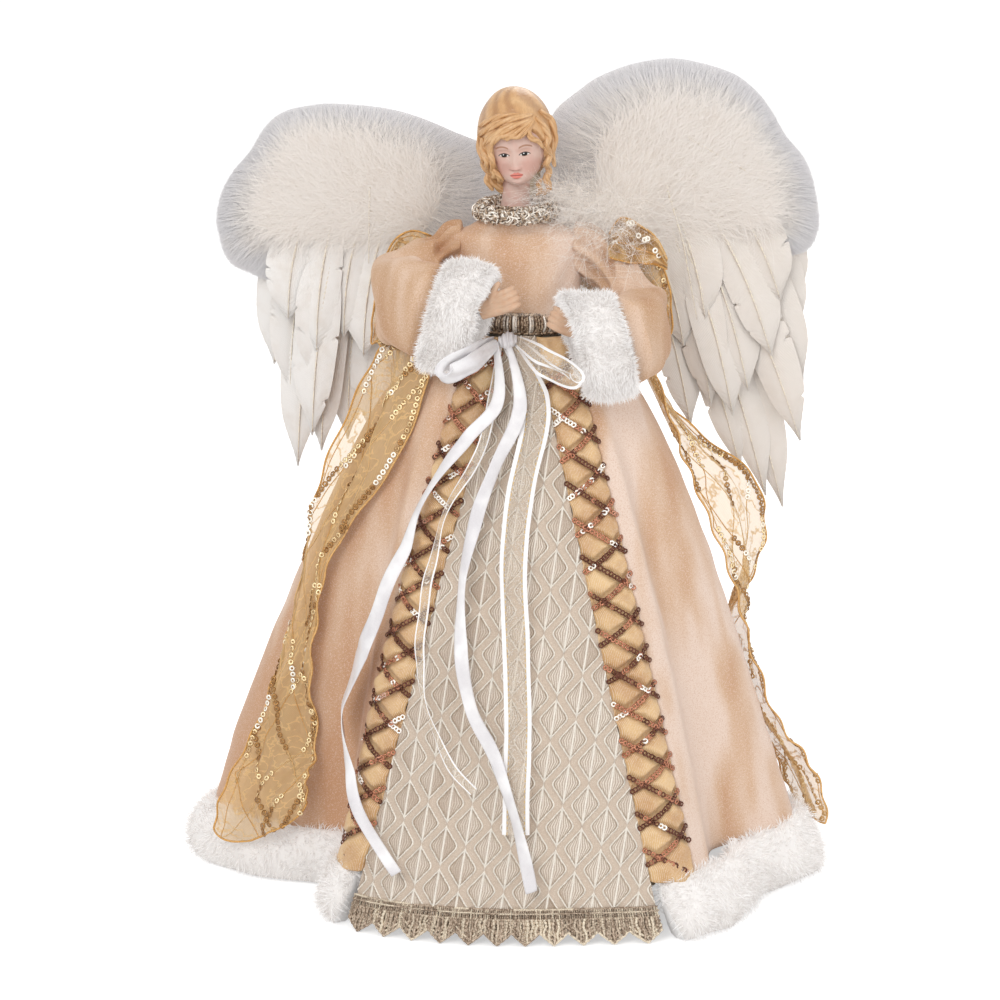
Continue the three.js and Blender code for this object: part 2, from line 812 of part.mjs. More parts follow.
const waistBraidReach = waistBraidThickness + clearance;
const waistMiddle = skirtTop + clearance + waistBraidHeight / 2;
const bodiceRadiusNear = (phi) =>
  ovalRadius(phi, torsoWaistHalfWidth + bodiceGrow, torsoWaistHalfDepth + bodiceGrow);
piece(
  "waist_braid",
  cut(
    braidGeometry(
      40,
      (phi, swell) => [waistBraidThickness * swell, waistBraidHeight / 2 / Math.sin(Math.PI / 3)],
      (phi) => {
        const radius = bodiceRadiusNear(phi) + waistBraidReach;
        return at(torsoAxisX(waistMiddle) + radius * Math.sin(phi), -radius * Math.cos(phi), waistMiddle);
      },
    ),
    bodiceTool,
  ),
  "braid",
);

const collarMiddle = shoulderHeight + plateRadius * 0.62;
piece(
  "collar_braid",
  mainBody(
    cut(
      braidGeometry(
        32,
        (phi, swell) => [collarCord * swell, collarCord * 1.1 * swell],
        (phi) => {
          const radius = collarReach;
          const slope = -Math.cos(phi) * collarCord * 0.7;
          return at(headAxisX + radius * Math.sin(phi), -radius * Math.cos(phi), collarMiddle + slope);
        },
      ),
      bodiceTool,
      headTool,
    ),
  ),
  "braid",
);

// Sleeves: bent tubes of cloth, open at the shoulder and at the cuff
const sleeveSizeShares = {
  // half height and half depth along the arm
  left: [
    [0.5, 0.75],
    [0.6, 0.9],
    [0.86, 1],
    [0.88, 1],
    [1, 1],
  ],
  right: [
    [0.5, 0.75],
    [0.72, 0.9],
    [0.76, 1],
    [0.84, 1],
    [0.96, 1],
  ],
};

// How far the end of a sleeve and its cuff lean towards the hand at their tops, per unit of height
const cuffLeanShare = 0.28;
const sleeveLeanShares = [0, 0, 0, 0.5, 1];

function leaning(tangent, share) {
  return at(0, 0, 1).addScaledVector(tangent, cuffLeanShare * share).normalize();
}

function sleeveShell(side, grow, reach = 0) {
  const points = armPoints(side).slice(0, sleeveSizeShares[side].length);
  const rings = points.map((point, i) => {
    const before = points[Math.max(0, i - 1)];
    const after = armPoints(side)[i + 1];
    const tangent = after.clone().sub(before).setZ(0).normalize();
    const across = at(tangent.y, -tangent.x, 0);
    const [tall, deep] = sleeveSizeShares[side][i];
    const end = i === 0 ? -reach : i === points.length - 1 ? reach : 0;
    const centre = point.clone().addScaledVector(tangent, end);
    return ovalRing(
      centre,
      across,
      leaning(tangent, sleeveLeanShares[i]),
      sleeveHalfDepth * deep + grow,
      sleeveHalfHeight * tall + grow,
      16,
    );
  });
  return loft(rings);
}

// Cuff: a ring of fur round the open end of the sleeve
function cuffRings(side, start, end, grow, bore) {
  const points = armPoints(side);
  const [wrist, hand] = [points[4], points[6]];
  const tangent = hand.clone().sub(wrist).setZ(0).normalize();
  const across = at(tangent.y, -tangent.x, 0);
  const upward = leaning(tangent, 1);
  const place = (distance, swell) =>
    ovalRing(
      wrist.clone().addScaledVector(tangent, distance),
      across,
      upward,
      (cuffHalfDepth - bore) * swell + grow,
      (cuffHalfHeight - bore) * swell + grow,
      16,
    );
  if (bore) return [place(start, 1), place(end, 1)];
  return [
    place(start, 0.86),
    place(mix(start, end, 0.12), 0.97),
    place(mix(start, end, 0.5), 1),
    place(mix(start, end, 0.88), 0.97),
    place(end, 0.86),
  ];
}

for (const side of ["left", "right"]) {
  const sleeveEndGap = clearance * 2;
  const outer = sleeveShell(side, 0);
  const inner = sleeveShell(side, -clothThickness, overrun);
  const body = loft(cuffRings(side, sleeveEndGap, cuffLength, 0, 0));
  const cuffTool = loft(cuffRings(side, sleeveEndGap - clearance, cuffLength + clearance, clearance, 0));
  const bore = loft(cuffRings(side, -overrun, cuffLength + overrun, 0, cuffWall));
  piece(side + "_sleeve", mainBody(cut(outer, inner, bodiceTool, cuffTool)), "velvet");
  piece(side + "_cuff", mainBody(cut(body, bore, bodiceTool)), "fur");
}

// Hands: a palm with four curled fingers and a thumb, bored for the wire
function handGeometry(side) {
  const points = armPoints(side);
  const [before, tip] = [points[5], points[6]];
  const tangent = tip.clone().sub(before).normalize();
  const upward = at(0, 0, 1).addScaledVector(tangent, -tangent.z).normalize();
  const across = new THREE.Vector3().crossVectors(tangent, upward).normalize();
  const place = (along, up, out) =>
    tip.clone().addScaledVector(tangent, along).addScaledVector(upward, up).addScaledVector(across, out);
  const rod = (list, radius) =>
    loft(
      list.map(([along, up, out, share]) =>
        ovalRing(place(along, up, out), across, upward, radius * share, radius * share, 6),
      ),
    );
  const palm = loft(
    [
      [-handLength * 0.8, 0.42, 0.9],
      [-handLength * 0.45, 0.5, 0.9],
      [-handLength * 0.2, 0.85, 1],
      [handLength * 0.15, 0.95, 1],
      [handLength * 0.25, 0.8, 0.7],
    ].map(([along, tall, deep]) =>
      ovalRing(place(along, 0, 0), across, upward, handHalfThickness * deep, handHalfHeight * tall, 12),
    ),
  );
  const fingerRadius = handHalfHeight / 4.2;
  const front = side === "left" ? 1 : -1;
  const fingers = [-0.72, -0.25, 0.22, 0.68].map((share) => {
    const up = share * handHalfHeight;
    const out = front * handHalfThickness * 0.5;
    return rod(
      [
        [0, up, out, 0.7],
        [handLength * 0.15, up, out, 1],
        [handLength * 0.4, up, out * 0.6, 1],
        [handLength * 0.52, up, -out * 0.4, 0.85],
      ],
      fingerRadius,
    );
  });
  const thumb = rod(
    [
      [-handLength * 0.25, handHalfHeight * 0.7, front * handHalfThickness * 0.3, 0.7],
      [-handLength * 0.02, handHalfHeight * 1.25, front * handHalfThickness * 0.4, 1],
      [handLength * 0.16, handHalfHeight * 1.4, front * handHalfThickness * 0.4, 0.6],
    ],
    fingerRadius,
  );
  return cut(join(palm, ...fingers, thumb), wireTool);
}

for (const side of ["left", "right"]) piece(side + "_hand", handGeometry(side), "skin");

// Bow at the front of the waist: knot, two loops and four tails
const knotSeatShare = 0.75; // the knot sits below the fullest line of the braid
const knotFront = bodiceRadiusNear(0) + waistBraidReach + waistBraidThickness * knotSeatShare + clearance;
const knotCentre = at(bodyLeanWidth, -knotFront - knotDepth / 2, waistHeight + knotRise);

// Along the knot, and how full it is there
const knotShares = [
  [-0.5, 0.55],
  [-0.3, 0.9],
  [0, 1],
  [0.3, 0.9],
  [0.5, 0.55],
];
function knotGeometry(grow) {
  return loft(
    knotShares.map(([share, swell]) =>
      ovalRing(
        knotCentre.clone().addScaledVector(at(1, 0, 0), share * (knotWidth + 2 * grow)),
        at(0, 1, 0),
        at(0, 0, 1),
        (knotDepth / 2) * swell + grow,
        (knotHeight / 2) * swell + grow,
        12,
      ),
    ),
  );
}
const knotTool = knotGeometry(clearance);
piece("bow_knot", knotGeometry(0), "ribbon");

// A flat ribbon along a curve, with its width along one direction and its thickness square to both
function ribbonGeometry(points, width, widthDirection, thickness, steps) {
  const curve = new THREE.CatmullRomCurve3(points, false, "centripetal");
  const point = (u, v, side) => {
    const tangent = curve.getTangentAt(u);
    const wide = widthDirection(u).addScaledVector(tangent, -widthDirection(u).dot(tangent)).normalize();
    const thick = new THREE.Vector3().crossVectors(tangent, wide).normalize();
    return curve
      .getPointAt(u)
      .addScaledVector(wide, (v - 0.5) * width)
      .addScaledVector(thick, (side * thickness) / 2);
  };
  return sheet(
    steps,
    2,
    (u, v) => point(u, v, 1),
    (u, v) => point(u, v, -1),
  );
}

// Loop shares: outwards, forwards and downwards from the knot's side, past the front of the cuff and back
const loopShares = [
  [0, 0, 0],
  [0.16, 0.4, -0.02],
  [0.4, 0.85, 0.05],
  [0.8, 1, 0.4],
  [1, 1.02, 0.8],
  [0.92, 1, 1],
  [0.72, 0.96, 0.85],
  [0.42, 0.85, 0.5],
  [0.18, 0.42, 0.25],
  [0.03, 0.05, 0.14],
];
for (const side of ["left", "right"]) {
  const way = armSide[side];
  const start = knotCentre.clone().add(at(way * (knotWidth / 2 + clearance * 2), 0, 0));
  const points = loopShares.map(([out, ahead, down]) =>
    start.clone().add(at(way * out * loopReach, -ahead * loopForwardReach, -down * loopDropHeight)),
  );
  const wide = () => at(way * 0.3, -0.9, 0.3);
  const loop = ribbonGeometry(points, loopRibbonWidth, wide, ribbonThickness, 18);
  piece(side + "_bow_loop", mainBody(cut(loop, knotTool)), "ribbon");
}

// Tails lie over the skirt one above another: each route is x and height, as shares of the hem and the waist
const gatherShare = 0.35;
const gatherLengthShare = 0.12;
function tailGeometry(routeShares, width, lift, taper = 1) {
  const curve = new THREE.CatmullRomCurve3(
    routeShares.map(([x, z]) => at(x * panelHemHalfWidth, 0, z * waistHeight)),
    false,
    "centripetal",
  );
  const steps = 22;
  const point = (u, v, side) => {
    const place = curve.getPointAt(u);
    const tangent = curve.getTangentAt(u);
    const wide = width * mix(gatherShare, 1, clamp(u / gatherLengthShare, 0, 1)) * mix(1, taper, u);
    const x = place.x + (v - 0.5) * wide * Math.abs(tangent.z);
    const z = place.z - (v - 0.5) * wide * tangent.x;
    return onSkirt(skirtAngle(x, z), z, lift + side);
  };
  const tail = sheet(
    steps,
    1,
    (u, v) => point(u, v, ribbonThickness),
    (u, v) => point(u, v, 0),
  );
  return mainBody(cut(tail, knotTool));
}

const tailTop = knotCentre.z / waistHeight;
const tailStep = ribbonThickness + clearance * 2;
const tailLift = (layer) => bandCrown + latticeCordHeight + 3 * clearance + layer * tailStep;
piece(
  "sheer_tail",
  tailGeometry(
    [
      [0, tailTop],
      [0.04, 0.94],
      [0.1, 0.87],
      [0.03, 0.75],
      [0, 0.63],
      [0.03, 0.5],
      [0.055, 0.37],
      [0.055, 0.26],
      [0.06, 0.19],
    ],
    sheerWidth,
    tailLift(0),
  ),
  "sheer",
);
piece(
  "thin_tail",
  tailGeometry(
    [
      [-0.02, tailTop],
      [-0.18, 0.83],
      [-0.36, 0.73],
      [-0.46, 0.63],
      [-0.51, 0.53],
      [-0.52, 0.45],
      [-0.47, 0.39],
      [-0.35, 0.31],
      [-0.19, 0.26],
    ],
    thinWidth,
    tailLift(1),
  ),
  "sheer",
);
piece(
  "satin_tail_centre",
  tailGeometry(
    [
      [0.02, tailTop],
      [0.01, 0.89],
      [-0.11, 0.79],
      [-0.23, 0.68],
      [-0.28, 0.57],
      [-0.27, 0.48],
      [-0.21, 0.4],
      [-0.09, 0.33],
      [0.03, 0.24],
      [0.11, 0.16],
      [0.16, 0.1],
    ],
    satinWidth,
    tailLift(2),
  ),
  "ribbon",
);
piece(
  "satin_tail_left",
  tailGeometry(
    [
      [-0.03, tailTop],
      [-0.1, 0.9],
      [-0.25, 0.84],
      [-0.44, 0.76],
      [-0.59, 0.66],
      [-0.72, 0.56],
      [-0.84, 0.47],
      [-0.93, 0.39],
      [-0.96, 0.33],
      [-0.9, 0.25],
      [-0.77, 0.18],
      [-0.61, 0.12],
    ],
    satinWidth,
    tailLift(3),
    0.8,
  ),
  "ribbon",
);

// Scarf of organza, one cloth: up the left side, behind the sleeve and through the crook of the arm,
// across the back and down again. Each row of the tails gives its height, then the angle in degrees and
// the stand-off of the outer edge, then those of the inner edge.
const scarfTailShares = {
  left: [
    [0, -81, 0.55, -66, 0.6],
    [0.1, -82, 0.5, -67, 0.55],
    [0.2, -84, 0.2, -70, 0.3],
    [0.31, -83, 0.1, -73, 0.1],
    [0.46, -83, 0, -75, 0.05],
    [0.62, -85, 0.35, -76, 0.05],
    [0.77, -86, 0.5, -66, 0.05],
    [0.91, -88, 0.85, -62, 0.05],
    [1, -87, 1.35, -66, 0.35],
  ],
  right: [
    [0, 112, 0.5, 98, 0.42],
    [0.1, 112, 0.45, 98, 0.42],
    [0.22, 112, 0.1, 98, 0.05],
    [0.38, 114, 0.1, 98, 0.05],
    [0.5, 112, 0.5, 98, 0.1],
    [0.6, 110, 0.8, 98, 0.15],
    [0.75, 107, 1, 98, 0.1],
    [0.88, 108, 0.3, 94, 0.1],
    [1, 104, 0.6, 92, 0.3],
  ],
};

// A value that runs smoothly through a list of rows of numbers
function smoothRows(rows, count) {
  return Array.from({ length: count }, (_, n) => {
    const place = (n / (count - 1)) * (rows.length - 1);
    const i = Math.min(Math.floor(place), rows.length - 2);
    const t = place - i;
    const [a, b, c, d] = [-1, 0, 1, 2].map((k) => rows[clamp(i + k, 0, rows.length - 1)]);
    return b.map(
      (_, k) =>
        0.5 *
        (2 * b[k] +
          (c[k] - a[k]) * t +
          (2 * a[k] - 5 * b[k] + 4 * c[k] - d[k]) * t * t +
          (3 * b[k] - a[k] - 3 * c[k] + d[k]) * t ** 3),
    );
  });
}

const scarfColumns = 6;
const scarfTop = skirtTop - scarfTopGap;

// A row of a tail hangs straight from edge to edge, but never inside the skirt or its fur
function scarfTailRows(side, phase) {
  return smoothRows(scarfTailShares[side], 13).map(([height, outer, outerOff, inner, innerOff], row) => {
    const z = mix(scarfDropBottom, scarfTop, height);
    const edge = (angle, off) => onSkirt(degrees(angle), z, scarfStandOff + off * scarfWidth);
    const [from, to] = [edge(outer, outerOff), edge(inner, innerOff)];
    const nearFur = clamp((furHeight + 3 * scarfStandOff - z) / scarfStandOff, 0, 1) * furReach;
    return Array.from({ length: scarfColumns + 1 }, (_, i) => {
      const u = i / scarfColumns;
      const place = from.clone().lerp(to, u);
      const [x, y] = [place.x - skirtAxisX(z), place.y];
      const phi = Math.atan2(x, -y);
      const ripple = scarfRipple * (1 + Math.cos(3 * Math.PI * u + phase + row * 0.6));
      const least = skirtRadius(phi, z) + scarfStandOff + nearFur;
      return onSkirt(phi, z, Math.max(Math.hypot(x, y), least) + ripple - skirtRadius(phi, z));
    });
  });
}

// Where the cloth is free of the skirt: its outer or upper edge, then its inner or lower edge, as shares
// of the arm's reach, the wing's depth and the shoulder's height
const scarfBackShares = [
  [-1.13, 0.22, 0.826, -0.74, 0.16, 0.808],
  [-1.12, 0.42, 0.882, -0.71, 0.43, 0.832],
  [-1.02, 0.38, 0.957, -0.62, 0.49, 0.87],
  [-0.84, 0.36, 0.99, -0.52, 0.6, 0.826],
  [-0.61, 0.46, 0.975, -0.32, 0.81, 0.801],
  [-0.35, 0.65, 0.926, -0.13, 0.92, 0.792],
  [0.06, 0.7, 0.902, 0.06, 0.95, 0.783],
  [0.48, 0.65, 0.926, 0.26, 0.92, 0.792],
  [0.74, 0.46, 0.965, 0.48, 0.81, 0.795],
  [0.94, 0.36, 0.978, 0.68, 0.65, 0.814],
  [1.13, 0.36, 0.944, 0.77, 0.54, 0.845],
  [1.21, 0.38, 0.888, 0.84, 0.49, 0.82],
  [1.2, 0.32, 0.832, 0.88, 0.27, 0.8],
];

// A place on the scarf moved outwards where it would lie inside the skirt
function clearOfSkirt(place) {
  const [x, y] = [place.x - skirtAxisX(place.z), place.y];
  const radius = Math.hypot(x, y);
  const least = skirtRadius(Math.atan2(x, -y), place.z) + scarfStandOff;
  if (place.z >= waistHeight || radius >= least) return place;
  return at(skirtAxisX(place.z) + (x * least) / radius, (y * least) / radius, place.z);
}

function scarfBackRows() {
  return smoothRows(scarfBackShares, 17).map((shares, row) => {
    const place = (k) =>
      at(shares[k] * armReach, shares[k + 1] * wingRootDepth, shares[k + 2] * shoulderHeight);
    const [upper, lower] = [place(0), place(3)];
    return Array.from({ length: scarfColumns + 1 }, (_, i) => {
      const u = i / scarfColumns;
      const ripple = (scarfRipple / 2) * Math.sin(3 * Math.PI * u + row * 0.6);
      return clearOfSkirt(upper.clone().lerp(lower, u).add(at(0, ripple, 0)));
    });
  });
}

// A cloth through rows of points, thickened along its own normal
function clothGeometry(rows, thickness) {
  const columns = rows[0].length - 1;
  const grid = (i, j) => rows[clamp(i, 0, rows.length - 1)][clamp(j, 0, columns)];
  const normal = (i, j) => {
    const along = grid(i + 1, j).clone().sub(grid(i - 1, j));
    const across = grid(i, j + 1).clone().sub(grid(i, j - 1));
    return along.cross(across).normalize();
  };
  const point = (u, v, side) => {
    const [i, j] = [Math.round(u * (rows.length - 1)), Math.round(v * columns)];
    return grid(i, j)
      .clone()
      .addScaledVector(normal(i, j), (side * thickness) / 2);
  };
  return sheet(
    rows.length - 1,
    columns,
    (u, v) => point(u, v, 1),
    (u, v) => point(u, v, -1),
  );
}

piece(
  "scarf",
  clothGeometry(
    [...scarfTailRows("left", 0), ...scarfBackRows(), ...scarfTailRows("right", 2).reverse()],
    scarfThickness,
  ),
  "organza",
);

// Wings: a card that carries the flight feathers, shorter coverts in front, and a pillow of down round both
const wings = {
  left: {
    way: -1,
    span: leftWingSpan,
    rise: leftWingRise,
    drop: leftWingDrop,
    downShares: [
      [0.05, 0.63],
      [0.2, 0.82],
      [0.38, 0.96],
      [0.57, 1],
      [0.68, 0.98],
      [0.77, 0.92],
      [0.83, 0.8],
      [0.88, 0.62],
      [0.94, 0.46],
      [0.985, 0.27],
      [1, 0.07],
      [0.985, -0.06],
      [0.95, -0.14],
      [0.885, -0.18],
      [0.81, -0.21],
      [0.65, -0.24],
      [0.48, -0.27],
      [0.3, -0.25],
      [0.14, -0.14],
      [0.05, 0.15],
    ],
    // each feather: root across, root height, tip across, tip height, the heights of the rise or the drop
    flightShares: [
      [0.72, 0.3, 0.81, -0.57],
      [0.66, 0.22, 0.75, -0.68],
      [0.62, 0.02, 0.725, -1],
      [0.55, 0, 0.635, -0.92],
      [0.48, 0, 0.56, -0.88],
      [0.41, -0.03, 0.475, -0.84],
      [0.35, -0.05, 0.4, -0.78],
    ],
    covertShares: [
      [0.66, 0.25, 0.74, -0.36],
      [0.56, 0.1, 0.66, -0.85],
      [0.55, 0.2, 0.64, -0.64],
      [0.56, 0.3, 0.64, -0.49],
      [0.47, 0.25, 0.55, -0.42],
      [0.4, 0.15, 0.48, -0.5],
      [0.32, 0.1, 0.37, -0.56],
    ],
  },
  right: {
    way: 1,
    span: rightWingSpan,
    rise: rightWingRise,
    drop: rightWingDrop,
    downShares: [
      [0.07, 0.64],
      [0.19, 0.85],
      [0.29, 0.94],
      [0.4, 0.99],
      [0.52, 1],
      [0.68, 0.93],
      [0.77, 0.83],
      [0.83, 0.71],
      [0.88, 0.57],
      [0.945, 0.44],
      [0.98, 0.3],
      [1, 0.12],
      [0.995, 0.01],
      [0.965, -0.05],
      [0.89, -0.08],
      [0.72, -0.15],
      [0.5, -0.2],
      [0.3, -0.22],
      [0.14, -0.12],
      [0.05, 0.15],
    ],
    flightShares: [
      [0.73, 0.42, 0.93, -0.25],
      [0.71, 0.33, 0.93, -0.36],
      [0.66, 0.2, 0.95, -0.535],
      [0.63, 0.05, 0.94, -0.74],
      [0.58, 0, 0.895, -1],
      [0.53, 0, 0.83, -0.95],
      [0.46, 0, 0.74, -0.85],
      [0.38, 0, 0.56, -0.675],
    ],
    covertShares: [
      [0.66, 0.3, 0.86, -0.22],
      [0.6, 0.2, 0.83, -0.42],
      [0.55, 0.15, 0.755, -0.55],
      [0.5, 0.1, 0.7, -0.635],
      [0.46, 0.2, 0.625, -0.6],
      [0.46, 0.3, 0.6, -0.28],
      [0.38, 0.15, 0.53, -0.38],
    ],
  },
};

const cardShares = [
  [0, 0.36],
  [0.3, 0.56],
  [0.6, 0.6],
  [0.8, 0.48],
  [0.84, 0.2],
  [0.76, -0.08],
  [0.5, -0.14],
  [0.2, -0.15],
  [0, -0.1],
];
const slotShares = [
  [-0.2, 0.42],
  [0.05, 0.45],
  [0.3, 0.64],
  [0.6, 0.7],
  [0.82, 0.56],
  [0.93, 0.25],
  [0.975, 0],
  [1, -0.4],
  [-0.2, -0.4],
];
const featherLayers = 4;
const layerPitch = featherThickness + ribThickness + clearance;
const covertPitch = featherThickness * 0.9;

// A place on the wing: shares of the span and of the rise or the drop, and the distance in front of the card
function onWing(wing, across, height, front) {
  const x = across * wing.span;
  const z = height * (height > 0 ? wing.rise : wing.drop);
  const sweep = degrees(wingSweepDegrees);
  return at(
    wing.way * (wingGap + x * Math.cos(sweep) + front * Math.sin(sweep)),
    wingRootDepth + x * Math.sin(sweep) - front * Math.cos(sweep),
    wingRootHeight + z,
  );
}

function wingPlate(wing, shares, back, front) {
  const plan = outlinePlan(shares.map(([x, z]) => new THREE.Vector2(x, z)));
  return thicken(
    plan,
    (p) => onWing(wing, p.x, p.y, front),
    (p) => onWing(wing, p.x, p.y, back),
  );
}

// A feather: narrow at the quill, widest past its middle, with the quill standing proud of the vane
const vaneShares = [0.1, 0.55, 0.95, 1, 0.72, 0.1];
function featherGeometry(wing, [rootX, rootZ, tipX, tipZ], width, front) {
  const flat = ([x, z]) => new THREE.Vector2(x * wing.span, z * (z > 0 ? wing.rise : wing.drop));
  const [root, tip] = [flat([rootX, rootZ]), flat([tipX, tipZ])];
  const side = tip.clone().sub(root).normalize();
  const across = new THREE.Vector2(-side.y, side.x);
  const bow = width * 0.12;
  const columns = vaneShares.length - 1;
  const point = (u, v, lift) => {
    const half = (vaneShares[Math.round(u * columns)] * width) / 2;
    const shift = (v * 2 - 1) * half + bow * Math.sin(Math.PI * u);
    const place = root.clone().lerp(tip, u).addScaledVector(across, shift);
    const rib = v === 0.5 ? ribThickness * (1 - 0.7 * u) : 0;
    return onWing(
      wing,
      place.x / wing.span,
      place.y / (place.y > 0 ? wing.rise : wing.drop),
      front + lift * (featherThickness + rib),
    );
  };
  return sheet(
    columns,
    2,
    (u, v) => point(u, v, 1),
    (u, v) => point(u, v, 0),
  );
}

// The down: rings that shrink from the outline to the middle while the pillow thickens
const pillowShares = [
  [0.45, 0.97],
  [0.75, 0.8],
  [0.92, 0.5],
  [1, 0.06],
];
const downMiddleShares = [0.5, 0.35];
function downGeometry(wing, slot, middle) {
  const ring = (scale, thick) =>
    wing.downShares.map(([x, z]) =>
      onWing(
        wing,
        mix(downMiddleShares[0], x, scale),
        mix(downMiddleShares[1], z, scale),
        middle + thick * downThickness,
      ),
    );
  const rings = [
    ...pillowShares.map(([scale, thick]) => ring(scale, thick)),
    ...pillowShares.toReversed().map(([scale, thick]) => ring(scale, -thick)),
  ];
  return mainBody(cut(loft(rings), slot));
}

for (const [side, wing] of Object.entries(wings)) {
  const card = wingPlate(wing, cardShares, -cardThickness, 0);
  piece(side + "_wing_card", card, "card");
  wing.flightShares.forEach((shares, i) => {
    const front = clearance + (i % featherLayers) * layerPitch;
    const feather = featherGeometry(wing, shares, flightFeatherWidth, front);
    piece(side + "_flight_feather_" + (i + 1), feather, "feather");
  });
  const covertFront = clearance + featherLayers * layerPitch;
  const coverts = wing.covertShares.map((shares, i) =>
    featherGeometry(wing, shares, covertFeatherWidth, covertFront + (i % 2) * covertPitch),
  );
  piece(side + "_coverts", join(...coverts), "feather");
  const slotFront = covertFront + covertPitch + featherThickness + ribThickness + clearance;
  const slot = wingPlate(wing, slotShares, -cardThickness - clearance, slotFront);
  piece(side + "_wing_down", downGeometry(wing, slot, (slotFront - cardThickness) / 2), "down");
}

// Pad between the back of the bodice and the two cards
function padGeometry() {
  const shape = new THREE.Shape();
  const [w, h, r] = [padHalfWidth, padHeight / 2, padCorner];
  shape.moveTo(-w + r, -h);
  shape.lineTo(w - r, -h);
  shape.quadraticCurveTo(w, -h, w, -h + r);
  shape.lineTo(w, h - r);
  shape.quadraticCurveTo(w, h, w - r, h);
  shape.lineTo(-w + r, h);
  shape.quadraticCurveTo(-w, h, -w, h - r);
  shape.lineTo(-w, -h + r);
  shape.quadraticCurveTo(-w, -h, -w + r, -h);
  const depth = wingRootDepth - clearance;
  const pad = new THREE.ExtrudeGeometry(shape, { depth, bevelEnabled: false, curveSegments: 3 });
  pad.rotateX(Math.PI / 2).translate(0, depth, wingRootHeight);
  return mainBody(cut(pad, bodiceTool, headTool));
}
piece("wing_pad", padGeometry(), "foam");

export default figure;
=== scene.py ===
import math

import bmesh
import bpy
import numpy as np
from mathutils import Euler, Matrix, Vector


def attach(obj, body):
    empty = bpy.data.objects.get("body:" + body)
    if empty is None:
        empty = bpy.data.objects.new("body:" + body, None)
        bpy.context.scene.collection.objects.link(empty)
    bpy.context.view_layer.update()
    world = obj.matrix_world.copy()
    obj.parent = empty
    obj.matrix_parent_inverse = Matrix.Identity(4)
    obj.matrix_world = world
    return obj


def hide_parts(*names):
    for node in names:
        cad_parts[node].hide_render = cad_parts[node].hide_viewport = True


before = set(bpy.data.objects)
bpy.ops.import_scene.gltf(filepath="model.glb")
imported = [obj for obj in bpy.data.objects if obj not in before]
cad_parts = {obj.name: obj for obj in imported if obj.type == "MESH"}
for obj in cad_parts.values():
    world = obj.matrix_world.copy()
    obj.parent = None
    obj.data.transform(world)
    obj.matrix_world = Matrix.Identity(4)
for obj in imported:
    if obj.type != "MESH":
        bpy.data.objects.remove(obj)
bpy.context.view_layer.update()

bl_info = {
    "name": "Angel Figurine",
    "version": (1, 0, 0),
    "blender": (4, 5, 0),
    "location": "3D View > Sidebar > Angel",
    "description": "Dresses the angel figurine: cloth, fur, feathers, ribbons, sequins, hair and stage",
    "category": "Object",
}


# Sizes of the figure, in metres

COAT_TOP = 0.274
WAIST_HALF_WIDTH, WAIST_HALF_DEPTH = 0.026, 0.021
HEM_HALF_WIDTH, HEM_FRONT_REACH, HEM_BACK_REACH = 0.140, 0.108, 0.094
BODY_LEAN = 0.004
PLEAT_DEPTH, PLEAT_COUNT = 0.006, 7
SIDE_FLARE, FRONT_FLARE, FOLD_GROWTH = 0.6, 0.85, 1.3
SKIRT_FOLDS = [  # angle, width in degrees, depth
    (-66, 15, -0.044),
    (-104, 22, 0.026),
    (42, 15, 0.008),
    (72, 13, -0.014),
    (98, 22, 0.009),
]
PANEL_WAIST_HALF, PANEL_HEM_HALF, PANEL_BOTTOM = 0.007, 0.075, 0.013
BAND_WIDTH, BAND_CROWN = 0.023, 0.0024
LATTICE_CELLS, LATTICE_CORD = 13, 0.0022
NEAR_EDGE, LATTICE_MARGIN = 0.22, 0.03
LACE_POINTS = 11
FUR_HEIGHT, FUR_REACH, FUR_INSET = 0.030, 0.012, 0.009
CLEARANCE = 0.00035
CLOTH = 0.0014
SEQUIN_LIFT = 0.0012

SHOULDER_HEIGHT = 0.322
SHOULDER_HALF_WIDTH, SHOULDER_HALF_DEPTH = 0.030, 0.015
CHEST_HALF_WIDTH, CHEST_HALF_DEPTH = 0.027, 0.019
TORSO_WAIST_HALF_WIDTH, TORSO_WAIST_HALF_DEPTH = 0.021, 0.016
PLATE_RADIUS = 0.013
HEAD_HEIGHT, HEAD_HALF_WIDTH, HEAD_HALF_DEPTH = 0.045, 0.019, 0.021
HEAD_CENTRE = 0.367
ARM_REACH, ARM_FORWARD, ARM_DROP = 0.062, 0.042, 0.046
SLEEVE_HALF_HEIGHT, SLEEVE_HALF_DEPTH = 0.025, 0.013
CUFF_LENGTH, CUFF_HALF_HEIGHT, CUFF_HALF_DEPTH = 0.025, 0.031, 0.016
WING_ROOT_HEIGHT, WING_ROOT_DEPTH, WING_GAP, WING_SWEEP = 0.312, 0.037, 0.003, 9


def srgb(red, green, blue):
    """A colour of the 0 to 255 scale as linear light."""
    def linear(share):
        return share / 12.92 if share <= 0.04045 else ((share + 0.055) / 1.055) ** 2.4
    return tuple(linear(part / 255) for part in (red, green, blue)) + (1.0,)


# Number helpers

def mix(low, high, share):
    return low + (high - low) * share


def bell(x):
    return np.exp(-x * x)


def unit(vectors):
    return vectors / np.maximum(np.linalg.norm(vectors, axis=-1, keepdims=True), 1e-12)


def rise(x, low, high):
    """0 below low, 1 above high and smooth between."""
    share = np.clip((x - low) / (high - low), 0, 1)
    return share * share * (3 - 2 * share)


def smooth_run(a, b, c, d, t):
    """A cubic from b to c at t from 0 to 1, with a before them and d after."""
    square = 2 * a - 5 * b + 4 * c - d
    return 0.5 * (2 * b + (c - a) * t + square * t**2 + (3 * b - a - 3 * c + d) * t**3)


